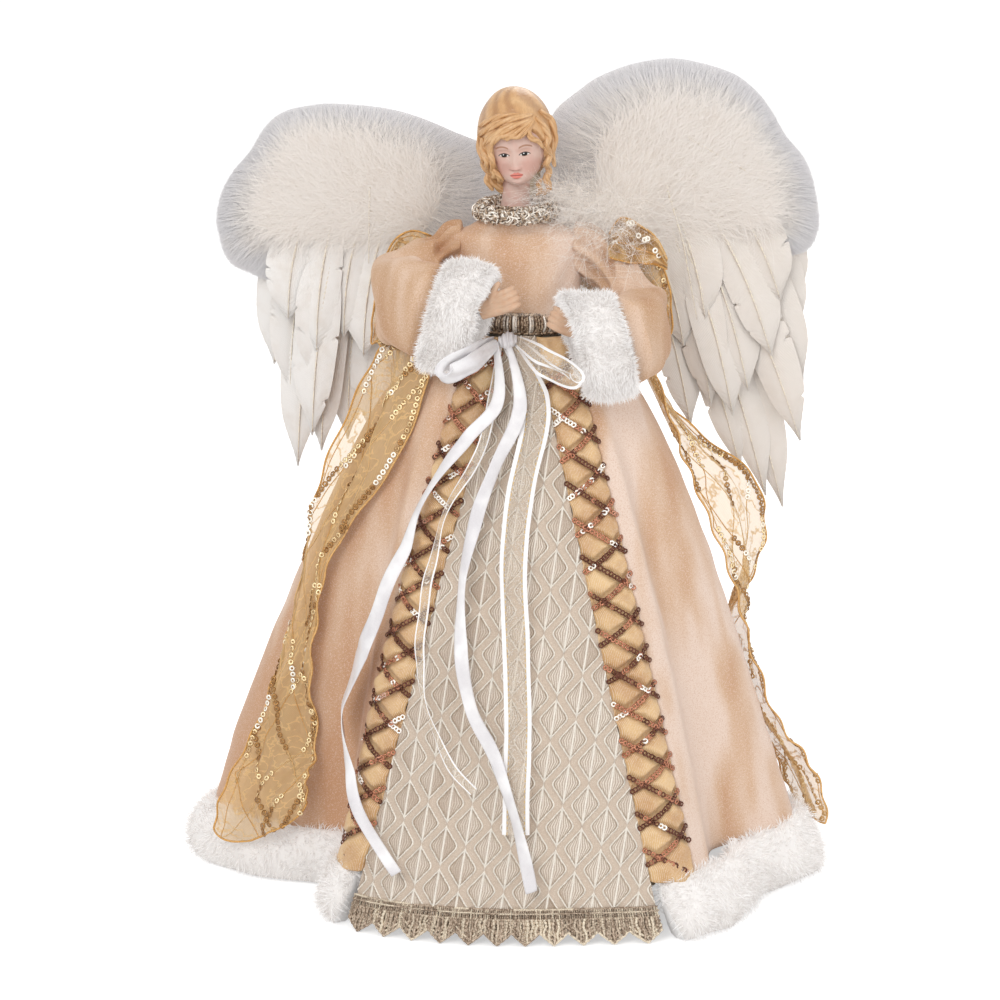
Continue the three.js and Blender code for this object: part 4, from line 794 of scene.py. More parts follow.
class ANGEL_OT_panel(Piece, bpy.types.Operator):
    """Brocade panel down the front, woven in relief"""
    bl_idname, bl_label = "angel.panel", "Brocade panel"

    def execute(self, context):
        kit = context.scene.angel_skirt
        columns, rows = 272, 228
        panel = cloth_mesh("brocade_panel", columns, rows, panel_place)
        points = read_points(panel.data)
        grid = points.reshape(rows + 1, columns + 1, 3)
        across = np.cumsum(np.linalg.norm(np.diff(grid, axis=1, prepend=grid[:, :1]), axis=-1), axis=1)
        across -= across[:, columns // 2, None]
        middle = grid[:, columns // 2]
        down = np.cumsum(np.linalg.norm(np.diff(middle, axis=0, prepend=middle[:1]), axis=-1))
        down = (down[-1] - down)[:, None] + 0 * across
        depth, _, cord, line, rib, vein = brocade_marks(across, down)
        relief = 0.0006 * rise(depth, 0.001, 0.007) + 0.0008 * cord + 0.00018 * line
        relief += 0.0003 * rib + 0.00012 * vein
        sag = ripples(grid, 0.05, 8) * 0.0006
        u = np.linspace(0, 1, columns + 1)[None, :] + 0 * across
        v = np.linspace(0, 1, rows + 1)[:, None] + 0 * across
        normals = facing(panel_place, u, v)
        edge = rise(np.minimum(u, 1 - u), 0, 0.03)
        write_points(panel.data, (grid + normals * (relief + sag * edge - 0.0003)[..., None]).reshape(-1, 3))
        chart_points(panel.data, np.stack([across, down], axis=-1).reshape(-1, 2))
        look = self.finish(kit)
        settle(panel, look, "brocade", "front_panel")
        return {"FINISHED"}

    def finish(self, kit):
        look = Finish("Brocade", Roughness=0.55, Sheen_Weight=0.12, Specular_IOR_Level=0.4)
        across, down = look.parts(look.chart())
        _, field, cord, line, rib, vein = brocade_marks(across, down)
        weft = (down * 11000.0).sine() * 0.5 + 0.5
        warp = (across * 12000.0).sine() * 0.5 + 0.5
        twill = ((across + down) * 6000.0).sine() * 0.5 + 0.5
        fibre = look.grain(look.place(), 2400.0, 2.0)
        plain = 1 - field
        sheen_streaks = look.grain(look.place((1.0, 1.0, 0.25)), 30.0, 2.0)
        tone = look.blend(field, kit.cream, kit.shade)
        # The woven veins are pattern; their lighter colour in long vertical streaks is painted sheen.
        tone = look.blend(vein * sheen_streaks.between(0.3, 0.6) * 0.75, tone, kit.cord)
        # Painted shadow: a thin dark line just beyond each cord, on the leaf side.
        tone = look.blend(line * 0.55, tone, kit.cord_shadow)
        tone = look.blend((cord + rib).least(1.0), tone, kit.cord)
        tone = look.blend(fibre.between(0.5, 0.3) * 0.35, tone, kit.shade)
        tone = look.blend(fibre.between(0.55, 0.7) * 0.35, tone, kit.cord)
        tone = look.blend((weft * warp) * 0.22, tone, kit.shade)
        height = vein * 0.6 + rib * 0.5 + cord * 0.6 + weft * 0.25 + twill * plain * 0.3 + fibre * 0.5
        cloud = look.grain(look.place(), 35.0, 2.0)
        return look.wear(colour=tone, normal=look.bumps(height, 0.00035, 0.8),
                         roughness=cloud * 0.2 + 0.45 - cord * 0.1)


def near_lines(x, y, lines):
    """The distance from plan places to the nearest of some straight lines."""
    nearest = np.full(np.shape(x), 1.0)
    for (ax, ay), (bx, by) in lines:
        wide, tall = bx - ax, by - ay
        t = np.clip(((x - ax) * wide + (y - ay) * tall) / (wide * wide + tall * tall), 0, 1)
        nearest = np.minimum(nearest, np.hypot(x - ax - wide * t, y - ay - tall * t))
    return nearest


class ANGEL_OT_bands(Piece, bpy.types.Operator):
    """Satin bands beside the panel, puffed between their cords of sequins"""
    bl_idname, bl_label = "angel.bands", "Satin bands"

    def execute(self, context):
        kit = context.scene.angel_skirt
        finish = satin_finish("Band satin", kit.satin, kit.satin_deep, kit.braid_light, 0.4)
        sequins = sequin_finish(kit.dark, kit.bronze, kit.glint)
        lines = [((ax * BAND_WIDTH, ay), (bx * BAND_WIDTH, by)) for (ax, ay), (bx, by) in lattice_lines()]
        for way, side in ((-1, "left"), (1, "right")):
            def place(u, v):
                z = mix(BAND_BOTTOM - 0.003, BAND_TOP, v)
                puff = rise(near_lines(u * BAND_WIDTH, z, lines), 0.0004, 0.0042)
                rim = rise(np.minimum(u, 1 - u), 0.0, 0.06)
                creases = ripples(np.stack([u * 0.02, z * 0.6, z * 0], axis=-1), 0.004, 5 + way) * 0.00025
                return on_band(way, u, z, (0.0032 * puff - 0.0014) * rim + creases * 2.4 * puff)
            band = cloth_mesh(side + "_satin_band", 34, 330, place, size=(0.023, 0.27))
            settle(band, finish, "satin_band", side + "_sequin_band")
            thicken(band, CLOTH)
            self.sew(kit, way, side, sequins)
        return {"FINISHED"}

    def sew(self, kit, way, side, finish):
        """Sequins in rows along the cords, each lying partly on the one before."""
        def seat(across, z):
            return on_band(way, across, z, SEQUIN_LIFT)
        dice = np.random.default_rng(21 + way)
        centres, normals, shares = [], [], []
        run = 0.2
        lines = lattice_lines()
        (foot_x, foot_z), (end_x, end_z) = lines[0]
        for (ax, ay), (bx, by) in lines + [((foot_x, foot_z), (end_x, 2 * foot_z - end_z))]:
            reach = math.hypot((bx - ax) * BAND_WIDTH, by - ay)
            many = max(2, int(round(reach / kit.sequin_pitch)))
            steps = (np.arange(many) + 0.5) / many
            x = ax + (bx - ax) * steps
            z = np.clip(ay + (by - ay) * steps, BAND_BOTTOM + 0.001, BAND_TOP - 0.001)
            inside = np.clip(x, 0.0, 1.0)
            right = seat(np.clip(x + 0.02, 0, 1.02), z) - seat(np.clip(x - 0.02, -0.02, 1), z)
            up = seat(inside, z + 0.002) - seat(inside, z - 0.002)
            centres.append(seat(inside, z))
            normals.append(unit(np.cross(right, up)))
            for _ in range(len(x)):
                if dice.random() < 0.22:
                    run = dice.random()
                shares.append(np.clip(run + dice.normal(scale=0.06), 0, 1))
        centres, normals = np.concatenate(centres), np.concatenate(normals)
        radii = np.full(len(centres), kit.sequin / 2) * dice.uniform(0.92, 1.06, len(centres))
        cords = scatter(side + "_sequins", ring_unit(8, 0.46, 0.2), centres, normals, radii, shares, 0.24, 31)
        settle(cords, finish, "sequins", side + "_sequin_lattice")


FUR_SECTION = [  # shares of the reach and of the height, from the outer foot up, over the top and back
    [0.55, 0.03], [0.95, 0.25], [1, 0.6], [0.7, 0.9], [0.1, 1], [-0.7, 0.85], [-1, 0.4], [-0.6, 0.03],
    [0.55, 0.03]]
FIBRE_WIDTH, FIBRE_STATIONS = 0.00042, 3
LACE_STATIONS, LACE_STRANDS = 19, 13  # places along a yarn, and yarns in each scallop


def fur_skin(phi, turn, inset=0.0030):
    """The cloth under the hem's fur: turn runs from 0 to 1 round its section."""
    shares = along(FUR_SECTION, np.asarray(turn) * (len(FUR_SECTION) - 1))
    reach = np.where(shares[..., 0] > 0, FUR_REACH - inset, FUR_INSET - 0.001)
    z = shares[..., 1] * (FUR_HEIGHT - inset * 0.7) + 0.0008
    lumps = ripples(np.stack([np.cos(phi), np.sin(phi), z * 8], axis=-1), 0.10, 12) * 0.0011
    return on_skirt(phi, z, shares[..., 0] * reach + lumps)


def fur_blades(name, roots, normals, lengths, curl, droop, seed):
    """Fine curved fibres that leave a skin along its normals and lean with their neighbours."""
    dice = np.random.default_rng(seed)
    many = len(roots)
    lean = ripples(roots, 0.011, seed + 1)[:, None] * unit(np.cross(normals, (0, 0, 1)))
    lean = lean + ripples(roots, 0.009, seed + 2)[:, None] * np.array((0.0, 0.0, 1.0))
    start = unit(normals + lean * curl + dice.normal(scale=0.28, size=(many, 3)))
    bend = unit(dice.normal(size=(many, 3))) * 0.5 + np.array((0.0, 0.0, -droop))
    share = np.linspace(0, 1, FIBRE_STATIONS)[None, :, None]
    lie = start[:, None] * share + bend[:, None] * share**2 * 0.5
    spines = roots[:, None] + lengths[:, None, None] * lie
    across = unit(np.cross(start, dice.normal(size=(many, 3))))[:, None] + 0 * spines
    widths = FIBRE_WIDTH * (1 - 0.85 * share[..., 0] ** 1.5) * dice.uniform(0.7, 1.2, (many, 1))
    return blades(name, spines, widths, across, dice.random(many))


class ANGEL_OT_hem(Piece, bpy.types.Operator):
    """Fur roll round the foot of the coat and lace along the foot of the panel"""
    bl_idname, bl_label = "angel.hem", "Fur hem and lace"

    def execute(self, context):
        kit = context.scene.angel_skirt
        finish = fur_finish("Fur", kit.fur_root_shade, kit.fur)
        middle = np.array(FUR_HEIGHT / 2)
        start = float(beside(panel_edge(1, middle), middle, 0.003))
        end = float(beside(panel_edge(-1, middle), middle, -0.003)) + 2 * math.pi

        def skin(u, v):
            ends = np.minimum(rise(u, 0.0, 0.008), rise(1 - u, 0.0, 0.008))
            middle_line = fur_skin(mix(start, end, u), 0.45 + 0 * v, 0.010)
            return mix(middle_line, fur_skin(mix(start, end, u), v), (0.25 + 0.75 * ends)[..., None])
        roll = cloth_mesh("fur_hem_pile", 260, 22, skin, wrap=True, caps=True)
        settle(roll, finish, "fur", "fur_hem")
        dice = np.random.default_rng(5)
        u = dice.random(kit.fur_count)
        v = dice.beta(1.1, 1.3, kit.fur_count) * 0.8
        roots = skin(u, v)
        normals = facing(skin, u, v, 0.004)
        lengths = kit.fur_length * dice.uniform(0.45, 1.0, len(u)) * np.clip(roots[:, 2] / 0.006, 0.35, 1)
        fibres = fur_blades("hem_fur_fibres", roots, normals, lengths, 0.75, 0.35, 50)
        settle(fibres, finish, "fur")
        self.lace(kit)
        return {"FINISHED"}

    def lace(self, kit):
        radius = kit.yarn / 2
        dice = np.random.default_rng(9)

        def on_lace(u, z, lift):
            phi = mix(panel_edge(-1, z), panel_edge(1, z), u)
            return on_skirt(phi, np.maximum(z, 0.0008), lift)
        spines, radii, shares = [], [], []

        def yarn(us, zs, lift, thick, share):
            path = np.linspace(0, 1, LACE_STATIONS)
            keys = np.linspace(0, 1, len(us))
            u = along(np.stack([us, zs], axis=-1), np.interp(path, keys, np.arange(len(us))))
            spines.append(on_lace(u[:, 0], u[:, 1], lift + 0.0003 * np.sin(path * 40)))
            radii.append(np.full(LACE_STATIONS, thick) * (1 + 0.18 * np.sin(path * 70 + dice.random() * 6)))
            shares.append(share)
        for z, lift, thick in ((0.0166, 0.0012, 1.1), (0.0150, 0.0019, 0.8), (0.0122, 0.0014, 1.2)):
            for i in range(20):
                yarn([i / 20, (i + 0.5) / 20, (i + 1) / 20], [z, z, z], lift, radius * thick, dice.random())
        strands = LACE_POINTS * LACE_STRANDS

        def scallop(u):
            return (1 - np.abs(1 - 2 * np.mod(u * LACE_POINTS, 1))) ** 0.85
        for i in range(strands):
            u = (i + 0.5) / strands
            foot = 0.0068 - 0.0056 * scallop(u)
            side = dice.uniform(-0.3, 0.3) / strands
            yarn([u, u + side, u], [0.0164, 0.0142, 0.0120], 0.0016, radius * 0.8, dice.random())
            heights = [0.0124, mix(0.0124, foot, 0.35), mix(0.0124, foot, 0.7), foot]
            yarn([u - side, u + side * 2, u - side * 2, u], heights, 0.0011 + 0.0008 * (i % 2), radius * 1.35,
                 dice.random())
        for i in range(LACE_POINTS):
            u = np.linspace(i, i + 1, 9) / LACE_POINTS
            for inner, thick in ((0.0, 1.3), (0.0022, 1.0), (0.0042, 0.9)):
                yarn(u, 0.0066 - 0.0056 * scallop(u - 1e-6) + inner, 0.0016, radius * thick, dice.random())
        lace = tubes("hem_lace_yarn", spines, radii, 5, shares)
        look = yarn_finish("Lace", kit.lace, kit.lace_deep, kit.lace_light, 0.3, 0.5)
        settle(lace, look, "braid", "hem_lace")
        ground = cloth_mesh("hem_lace_ground", 440, 6, lambda u, v: on_lace(
            u, mix(0.0072 - 0.0056 * scallop(u), 0.0163, v), 0.0006))
        # Its yarn takes the colour of the lace in the hollows: painted shade between the raised yarns.
        look = yarn_finish("Lace ground", kit.lace_deep, kit.lace_deep, kit.lace, 0.1, 0.7)
        settle(ground, look, "braid")


# Body, arms and head

class AngelBody(bpy.types.PropertyGroup):
    skin: colour("Skin", "Painted skin of the face", 214, 183, 170)
    blush: colour("Blush", "Painted cheeks", 204, 142, 128)
    lips: colour("Lips", "Painted lips", 216, 118, 104)
    eye: colour("Eyes", "Painted iris and lashes", 44, 28, 24)
    brow: colour("Brows", "Painted eyebrows", 150, 98, 62)
    hand: colour("Hands", "Bare cast skin of the hands", 208, 175, 148)
    hair: colour("Hair", "Glossy moulded hair", 205, 158, 107)
    # The next two are painted light on the hair: shade in its grooves and along fine strands, and gloss
    # highlights in cloudy patches.
    hair_shade: colour("Hair grooves", "Paint in the grooves of the hair", 146, 96, 56)
    hair_highlight: colour("Hair crests", "Worn crests of the waves", 236, 199, 152)
    cuff_count: count("Cuff fibres", "Fibres on each cuff", 18000)
    cuff_fibre: length("Cuff fibre", "Longest fibres of the cuffs", 0.0044)
    tinsel: count("Collar strands", "Short strands on the collar", 2200)


HAND_MOTTLE = srgb(206, 160, 128)
EYE_SHADOW, EYE_WHITE, IRIS, PUPIL = (srgb(*parts) for parts in (
    (196, 140, 118), (238, 232, 226), (34, 20, 14), (4, 3, 3)))
EYE_GLINT = srgb(250, 250, 250)
LIP_PARTING, NOSTRIL = srgb(110, 40, 36), srgb(150, 84, 70)
BODICE_FLAT, SLEEVE_FLAT = (0.19, 0.066), (0.14, 0.075)
COLLAR_REACH = 0.0165  # from the neck's axis to the middle of the collar braid
BRAID_FOOT, RUNG_TOP, BRAID_TOP = 0.2750, 0.2838, 0.2840
RAIL_LIFT, RAIL_RADIUS = 0.0014, 0.0010
CUFF_INSET = 0.0028  # how deep the cuff's cloth lies inside its outer form
HAIR_BALL = (0.0177, 0.0199, 0.0232)  # half width, half depth and half height of the combed cap
ARM_TOP = SHOULDER_HEIGHT + CLEARANCE
CUFF_LEAN = 0.28  # how far a cuff's top leans towards the hand, for each unit of its height
ARM_SHARES = {  # outwards, forwards and down, from the shoulder to the hand
    -1: [[0.4, 0, 0.14], [0.61, 0, 0.31], [0.87, 0.2, 0.68], [0.8, 0.55, 0.7], [0.61, 0.82, 0.77],
         [0.36, 0.95, 0.8], [0.05, 1.05, 0.6]],
    1: [[0.44, 0, 0.14], [0.74, 0, 0.42], [0.97, 0.18, 0.92], [0.97, 0.55, 1], [0.87, 0.87, 1.04],
        [0.7, 1.02, 1], [0.41, 1.1, 0.8]],
}
SLEEVE_SHARES = {  # half height and half depth along the arm
    -1: [[0.5, 0.75], [0.6, 0.9], [0.86, 1], [0.88, 1], [1, 1]],
    1: [[0.5, 0.75], [0.72, 0.9], [0.76, 1], [0.84, 1], [0.96, 1]],
}
HEAD_X = BODY_LEAN * 0.1
HEAD_POSE = Matrix.Translation((HEAD_X, 0, HEAD_CENTRE)) @ Euler(
    (math.radians(7), math.radians(-5), math.radians(-2))).to_matrix().to_4x4()


def arm_points(side):
    out, ahead, down = np.array(ARM_SHARES[side], float).T
    return np.stack([side * ARM_REACH * out, -ARM_FORWARD * ahead, ARM_TOP - ARM_DROP * down], axis=-1)


def posed(points):
    """Places on the head moved to where the head is held."""
    frame_part = np.array(HEAD_POSE)
    return points @ frame_part[:3, :3].T + frame_part[:3, 3]


def torso_axis(z):
    return BODY_LEAN * np.clip((SHOULDER_HEIGHT + PLATE_RADIUS - z) / (SHOULDER_HEIGHT - COAT_TOP), 0, 1)


def bodice_place(u, v):
    """The bodice from the waist, at v = 0, to the foot of the neck."""
    out = CLEARANCE + CLOTH
    foot = COAT_TOP - 0.012 + CLEARANCE
    rows = [[COAT_TOP + 0.0003, TORSO_WAIST_HALF_WIDTH + out, TORSO_WAIST_HALF_DEPTH + out]]
    for share, wide, deep in ((0.5, mix(TORSO_WAIST_HALF_WIDTH, CHEST_HALF_WIDTH, 0.7),
                               mix(TORSO_WAIST_HALF_DEPTH, CHEST_HALF_DEPTH, 0.8)),
                              (0.75, CHEST_HALF_WIDTH, CHEST_HALF_DEPTH),
                              (0.93, SHOULDER_HALF_WIDTH, SHOULDER_HALF_DEPTH),
                              (1, SHOULDER_HALF_WIDTH * 0.72, SHOULDER_HALF_DEPTH * 0.8)):
        rows.append([mix(foot, SHOULDER_HEIGHT, share) + out * share, wide + out, deep + out])
    rows.append([SHOULDER_HEIGHT + PLATE_RADIUS * 0.5, PLATE_RADIUS + out, PLATE_RADIUS + out])
    z, wide, deep = along(rows, v * 5).transpose(-1, *range(np.ndim(v)))
    turn = 2 * math.pi * u
    centre = np.where(v > 0.9, HEAD_X, torso_axis(z))
    wrinkle = ripples(np.stack([np.cos(turn), np.sin(turn), z * 14], axis=-1), 0.5, 61) * 0.0006
    pull = 0.0007 * np.sin(np.cos(turn) * 14 + z * 260) * bell((z - 0.300) / 0.012)
    x = centre + (wide + wrinkle) * np.sin(turn)
    y = -(deep + wrinkle + pull) * np.cos(turn)
    return np.stack([x, y, z], axis=-1)


def sleeve_place(side):
    points = arm_points(side)
    tangents = np.gradient(points, axis=0)[:5] * (1, 1, 0)
    ways = unit(tangents)

    def place(u, v):
        t = v * 4
        tall, deep = along(SLEEVE_SHARES[side], t).transpose(-1, *range(np.ndim(v)))
        centre = along(points[:5], t)
        way = unit(along(ways, t))
        across = np.stack([way[..., 1], -way[..., 0], 0 * v], axis=-1)
        turn = 2 * math.pi * u
        pleat = 0.0026 * np.sin(turn * 7 + side) * bell((v - 0.18) / 0.16)
        pleat += 0.0016 * np.cos(t * 7.5 + turn) * bell((v - 0.28) / 0.13)
        crook = 0.0016 * np.sin(turn * 4 + t * 5) * bell((v - 0.58) / 0.14)
        soft = ripples(centre + np.stack([np.cos(turn), np.sin(turn), 0 * v], axis=-1) * 0.02, 0.016,
                       70 + side) * 0.0007
        corner = (np.cos(turn) ** 4 + np.sin(turn) ** 4) ** -0.25
        boxy = mix(1, corner, bell((v - 0.70) / 0.26))
        slim = 1 - 0.20 * bell((v - 0.22) / 0.12)
        tall, deep = tall * boxy * 0.95 * slim, deep * boxy * slim
        swell = pleat + crook + soft - 0.0075 * rise(v, 0.955, 1.0) - 0.004 * rise(0.035 - v, 0.0, 0.035)
        centre = centre + way * (0.0030 * rise(v, 0.955, 1.0))[..., None]
        lean = CUFF_LEAN * np.interp(v, [0.5, 1], [0, 1])
        upward = unit(np.array((0, 0, 1.0)) + way * lean[..., None])
        tall = tall * mix(0.86, 1, rise(v, 0.0, 0.14))
        return (centre + across * ((SLEEVE_HALF_DEPTH * deep + swell) * np.cos(turn))[..., None]
                + upward * ((SLEEVE_HALF_HEIGHT * tall + swell) * np.sin(turn))[..., None])
    return place


def cuff_place(side, inset):
    """The fur cuff: u runs round the arm, v round its section from the inner rim over the outside."""
    points = arm_points(side)
    tangent = unit((points[6] - points[4]) * (1, 1, 0))
    across = np.array((tangent[1], -tangent[0], 0))
    upward = unit(np.array((0, 0, 1.0)) + CUFF_LEAN * tangent)
    section = np.array([[0.05, 7], [0.0, 4.2], [0.1, 1.2], [0.5, 0], [0.9, 1.2], [1.0, 4.2], [0.95, 7],
                        [0.5, 8],
                        [0.05, 7]])

    def place(u, v):
        share, low = along(section, v * 8).transpose(-1, *range(np.ndim(v)))
        low = low * 0.001 + inset * np.clip(1 - low / 7, 0, 1)
        turn = 2 * math.pi * u
        lump = ripples(np.stack([np.cos(turn), np.sin(turn), share], axis=-1), 0.55, 80 + side) * 0.0009
        low = low - lump
        reach = 0.0007 + inset * 0.6 + share * (CUFF_LENGTH - inset * 1.2)
        return (points[4] + tangent * reach[..., None]
                + across * ((CUFF_HALF_DEPTH - low) * np.cos(turn))[..., None]
                + upward * ((CUFF_HALF_HEIGHT - 0.0022 * inset / CUFF_INSET - low) * np.sin(turn))[..., None])
    return place


def baked(piece):
    """The piece with its modifiers made part of its mesh."""
    graph = bpy.context.evaluated_depsgraph_get()
    graph.update()
    mesh = bpy.data.meshes.new_from_object(piece.evaluated_get(graph))
    piece.modifiers.clear()
    piece.data = mesh
    mesh.name = piece.name
    return piece


def melted(name, parts, voxel, smooth=4):
    """Several closed pieces cast as one smooth solid."""
    piece = add_object(name, gathered(parts, name))
    merge = piece.modifiers.new("Cast", "REMESH")
    merge.mode, merge.voxel_size, merge.use_smooth_shade = "VOXEL", voxel, True
    soft = piece.modifiers.new("Soft", "SMOOTH")
    soft.factor, soft.iterations = 0.5, smooth
    return baked(piece)


class ANGEL_OT_dress(Piece, bpy.types.Operator):
    """Velvet bodice and sleeves"""
    bl_idname, bl_label = "angel.dress", "Bodice and sleeves"

    def execute(self, context):
        kit = context.scene.angel_skirt
        finish = bpy.data.materials["Velvet"]
        bodice = cloth_mesh("velvet_bodice", 100, 56, bodice_place, wrap=True)
        settle(bodice, finish, "velvet", "bodice")
        mesh_area(bodice)
        thicken(bodice, CLOTH)
        # A darker copy of the coat's velvet: painted shade on the sleeves.
        finish = velvet_finish("Sleeve velvet", kit.sleeve, kit.sleeve_shade, kit.sleeve_highlight)
        for side, name in ((-1, "left"), (1, "right")):
            sleeve = cloth_mesh(name + "_velvet_sleeve", 88, 88, sleeve_place(side), wrap=True)
            settle(sleeve, finish, "velvet", name + "_sleeve")
            min(mesh_area(sleeve), SLEEVE_FLAT[0] * SLEEVE_FLAT[1])
            thicken(sleeve, CLOTH)
        return {"FINISHED"}


class ANGEL_OT_cuffs(Piece, bpy.types.Operator):
    """Fur cuffs"""
    bl_idname, bl_label = "angel.cuffs", "Fur cuffs"

    def execute(self, context):
        kit = context.scene.angel_body
        fur = bpy.data.materials["Fur"]
        for side, name in ((-1, "left"), (1, "right")):
            skin = cuff_place(side, CUFF_INSET)
            roll = cloth_mesh(name + "_cuff_pile", 96, 40, skin, wrap=True)
            settle(roll, fur, "fur", name + "_cuff")
            dice = np.random.default_rng(90 + side)
            u, v = dice.random(kit.cuff_count), mix(0.03, 0.86, dice.random(kit.cuff_count))
            roots = skin(u, v)
            normals = facing(skin, u, v, 0.004)
            middle = arm_points(side)[4:7].mean(axis=0)
            flip = np.sign(((roots - middle) * normals).sum(-1).mean())
            lengths = kit.cuff_fibre * dice.uniform(0.5, 1.0, len(u))
            fibres = fur_blades(name + "_cuff_fibres", roots, normals * flip, lengths, 0.75, 0.3, 100 + side)
            settle(fibres, fur, "fur")
        return {"FINISHED"}


class ANGEL_OT_braids(Piece, bpy.types.Operator):
    """Metallic braid round the waist and tinsel yarn round the collar"""
    bl_idname, bl_label = "angel.braids", "Waist and collar braids"

    def execute(self, context):
        kit, body = context.scene.angel_skirt, context.scene.angel_body
        finish = yarn_finish("Braid", kit.braid, kit.braid_deep, kit.braid_light)
        dice = np.random.default_rng(41)

        def on_waist(phi, z, lift):
            out = CLEARANCE + CLOTH + lift
            radius = oval_radius(phi, TORSO_WAIST_HALF_WIDTH + out, TORSO_WAIST_HALF_DEPTH + out)
            x, y = torso_axis(z) + radius * np.sin(phi), -radius * np.cos(phi)
            return np.stack([x, y, z + 0 * phi], axis=-1)
        spines, radii, shares = [], [], []
        path = np.linspace(0, 1, 9)
        upright = 96
        for i in range(upright):
            phi = 2 * math.pi * (i + dice.uniform(-0.2, 0.2)) / upright + 0.012 * np.sin(path * 3.1)
            bulge = 0.0012 + 0.0022 * np.sin(math.pi * path)
            spines.append(on_waist(phi, mix(BRAID_FOOT, RUNG_TOP, path), bulge))
            radii.append(np.full(9, 0.00062) * dice.uniform(0.8, 1.15))
            shares.append(dice.random())
        ladder = tubes("waist_braid_rungs", spines, radii, 6, shares)
        rails, thick = [], []
        long_path = np.linspace(0, 2 * math.pi, 240)
        for z in (BRAID_FOOT, BRAID_TOP):
            rails.append(on_waist(long_path, z + 0.0002 * np.sin(long_path * 60), RAIL_LIFT))
            thick.append(RAIL_RADIUS * (1 + 0.2 * np.sin(long_path * 90)))
        rail = tubes("waist_braid_rails", rails, thick, 6, [0.3, 0.5])
        settle(ladder, finish, "braid", "waist_braid")
        settle(rail, finish, "braid")
        self.collar(body, finish)
        return {"FINISHED"}

    def collar(self, body, finish):
        dice = np.random.default_rng(43)
        middle = SHOULDER_HEIGHT + PLATE_RADIUS * 0.72

        def ring(phi, turn, radius):
            slope = -np.cos(phi) * 0.0008
            reach = COLLAR_REACH + radius * np.cos(turn)
            return np.stack([HEAD_X + reach * np.sin(phi), -reach * np.cos(phi),
                             middle + slope + radius * 1.1 * np.sin(turn)], axis=-1)
        lie = np.linspace(0, 1, 6)
        phi = dice.uniform(0, 2 * math.pi, (body.tinsel, 1))
        turn = dice.uniform(-0.9, 3.3, (body.tinsel, 1))
        way = dice.uniform(0, 2 * math.pi, (body.tinsel, 1))
        reach = dice.uniform(0.0025, 0.0050, (body.tinsel, 1))
        rise_off = dice.uniform(0.0020, 0.0036, (body.tinsel, 1)) + 0.0010 * np.sin(math.pi * lie)
        ahead = phi + np.cos(way) * reach / COLLAR_REACH * (lie - 0.5)
        round_cord = turn + np.sin(way) * reach / 0.004 * (lie - 0.5)
        spines = ring(ahead, round_cord, rise_off)
        radii = np.full((body.tinsel, 6), 0.00036) * dice.uniform(0.7, 1.3, (body.tinsel, 1))
        strands = tubes("collar_tinsel", spines, radii, 4, dice.random(body.tinsel))
        round_path = np.linspace(0, 2 * math.pi, 200)
        cords = []
        for k in range(3):
            cords.append(ring(round_path, 12 * round_path + k * 2.1, 0.0017))
        core = tubes("collar_cord", cords, np.full((3, 200), 0.0017), 8, [0.2, 0.4, 0.6])
        settle(strands, finish, "braid", "collar_braid")
        settle(core, finish, "braid")


class ANGEL_OT_hands(Piece, bpy.types.Operator):
    """Cast hands with curled fingers"""
    bl_idname, bl_label = "angel.hands", "Hands"

    def execute(self, context):
        kit = context.scene.angel_body
        look = Finish("Hand skin", Roughness=0.5, Specular_IOR_Level=0.4)
        mottle = look.grain(look.place(), 420.0, 3.0)
        tone = look.blend(mottle.between(0.35, 0.7) * 0.5, kit.hand, HAND_MOTTLE)
        look.wear(colour=tone, normal=look.bumps(mottle, 0.00015, 0.5), roughness=mottle * 0.2 + 0.4)
        for side, name in ((-1, "left"), (1, "right")):
            hand = melted(name + "_cast_hand", [self.blocks(side)], 0.0003, 1)
            settle(hand, look.material, "hand_skin", name + "_hand")
        return {"FINISHED"}

    def blocks(self, side):
        """Palm, fingers and thumb as closed tubes that run into each other."""
        before, tip = arm_points(side)[5:7]
        tangent = unit(tip - before)
        upward = unit(np.array((0, 0, 1.0)) - tangent[2] * tangent)
        across = np.cross(tangent, upward)
        front = 1 if side < 0 else -1

        def run(rows, count=13):
            rows = along(np.array(rows, float), np.linspace(0, len(rows) - 1, count)) * 0.001
            spot = tip + rows[:, :1] * tangent + rows[:, 1:2] * upward + rows[:, 2:3] * across
            return spot, rows[:, 3]
        rods = []
        for k, share in enumerate((-0.72, -0.25, 0.22, 0.68)):
            up = share * 6.2
            out = front * 1.6
            reach = (0.86, 0.97, 1.0, 0.93)[k]
            rods.append(run([
                [-6, up * 0.6, 0, 1.6], [-1, up * 0.85, out * 0.7, 1.6], [2.4, up * 0.93, out, 1.5],
                [4.9 * reach, up * 0.93, out * 0.8, 1.42], [6.8 * reach, up * 0.92, -out * 0.5, 1.36],
                [5.6 * reach, up * 0.9, -out * 1.5, 1.2]]))
        rods.append(run([
            [-6.5, 1.5, front * 0.6, 1.7], [-3, 5.2, front * 1.4, 1.75], [0.2, 7.8, front * 1.7, 1.5],
            [2.6, 8.8, front * 1.4, 1.0]]))
        for low in (-3.4, -1.1, 1.2, 3.3):
            rods.append(run([[-12.5, low * 0.55, 0, 2.3], [-7, low * 0.75, 0, 2.4], [-2, low, 0, 2.3],
                             [2.6, low * 1.1, 0, 1.7]]))
        return tubes("hand_rods", [rod[0] for rod in rods], [rod[1] for rod in rods], 10)


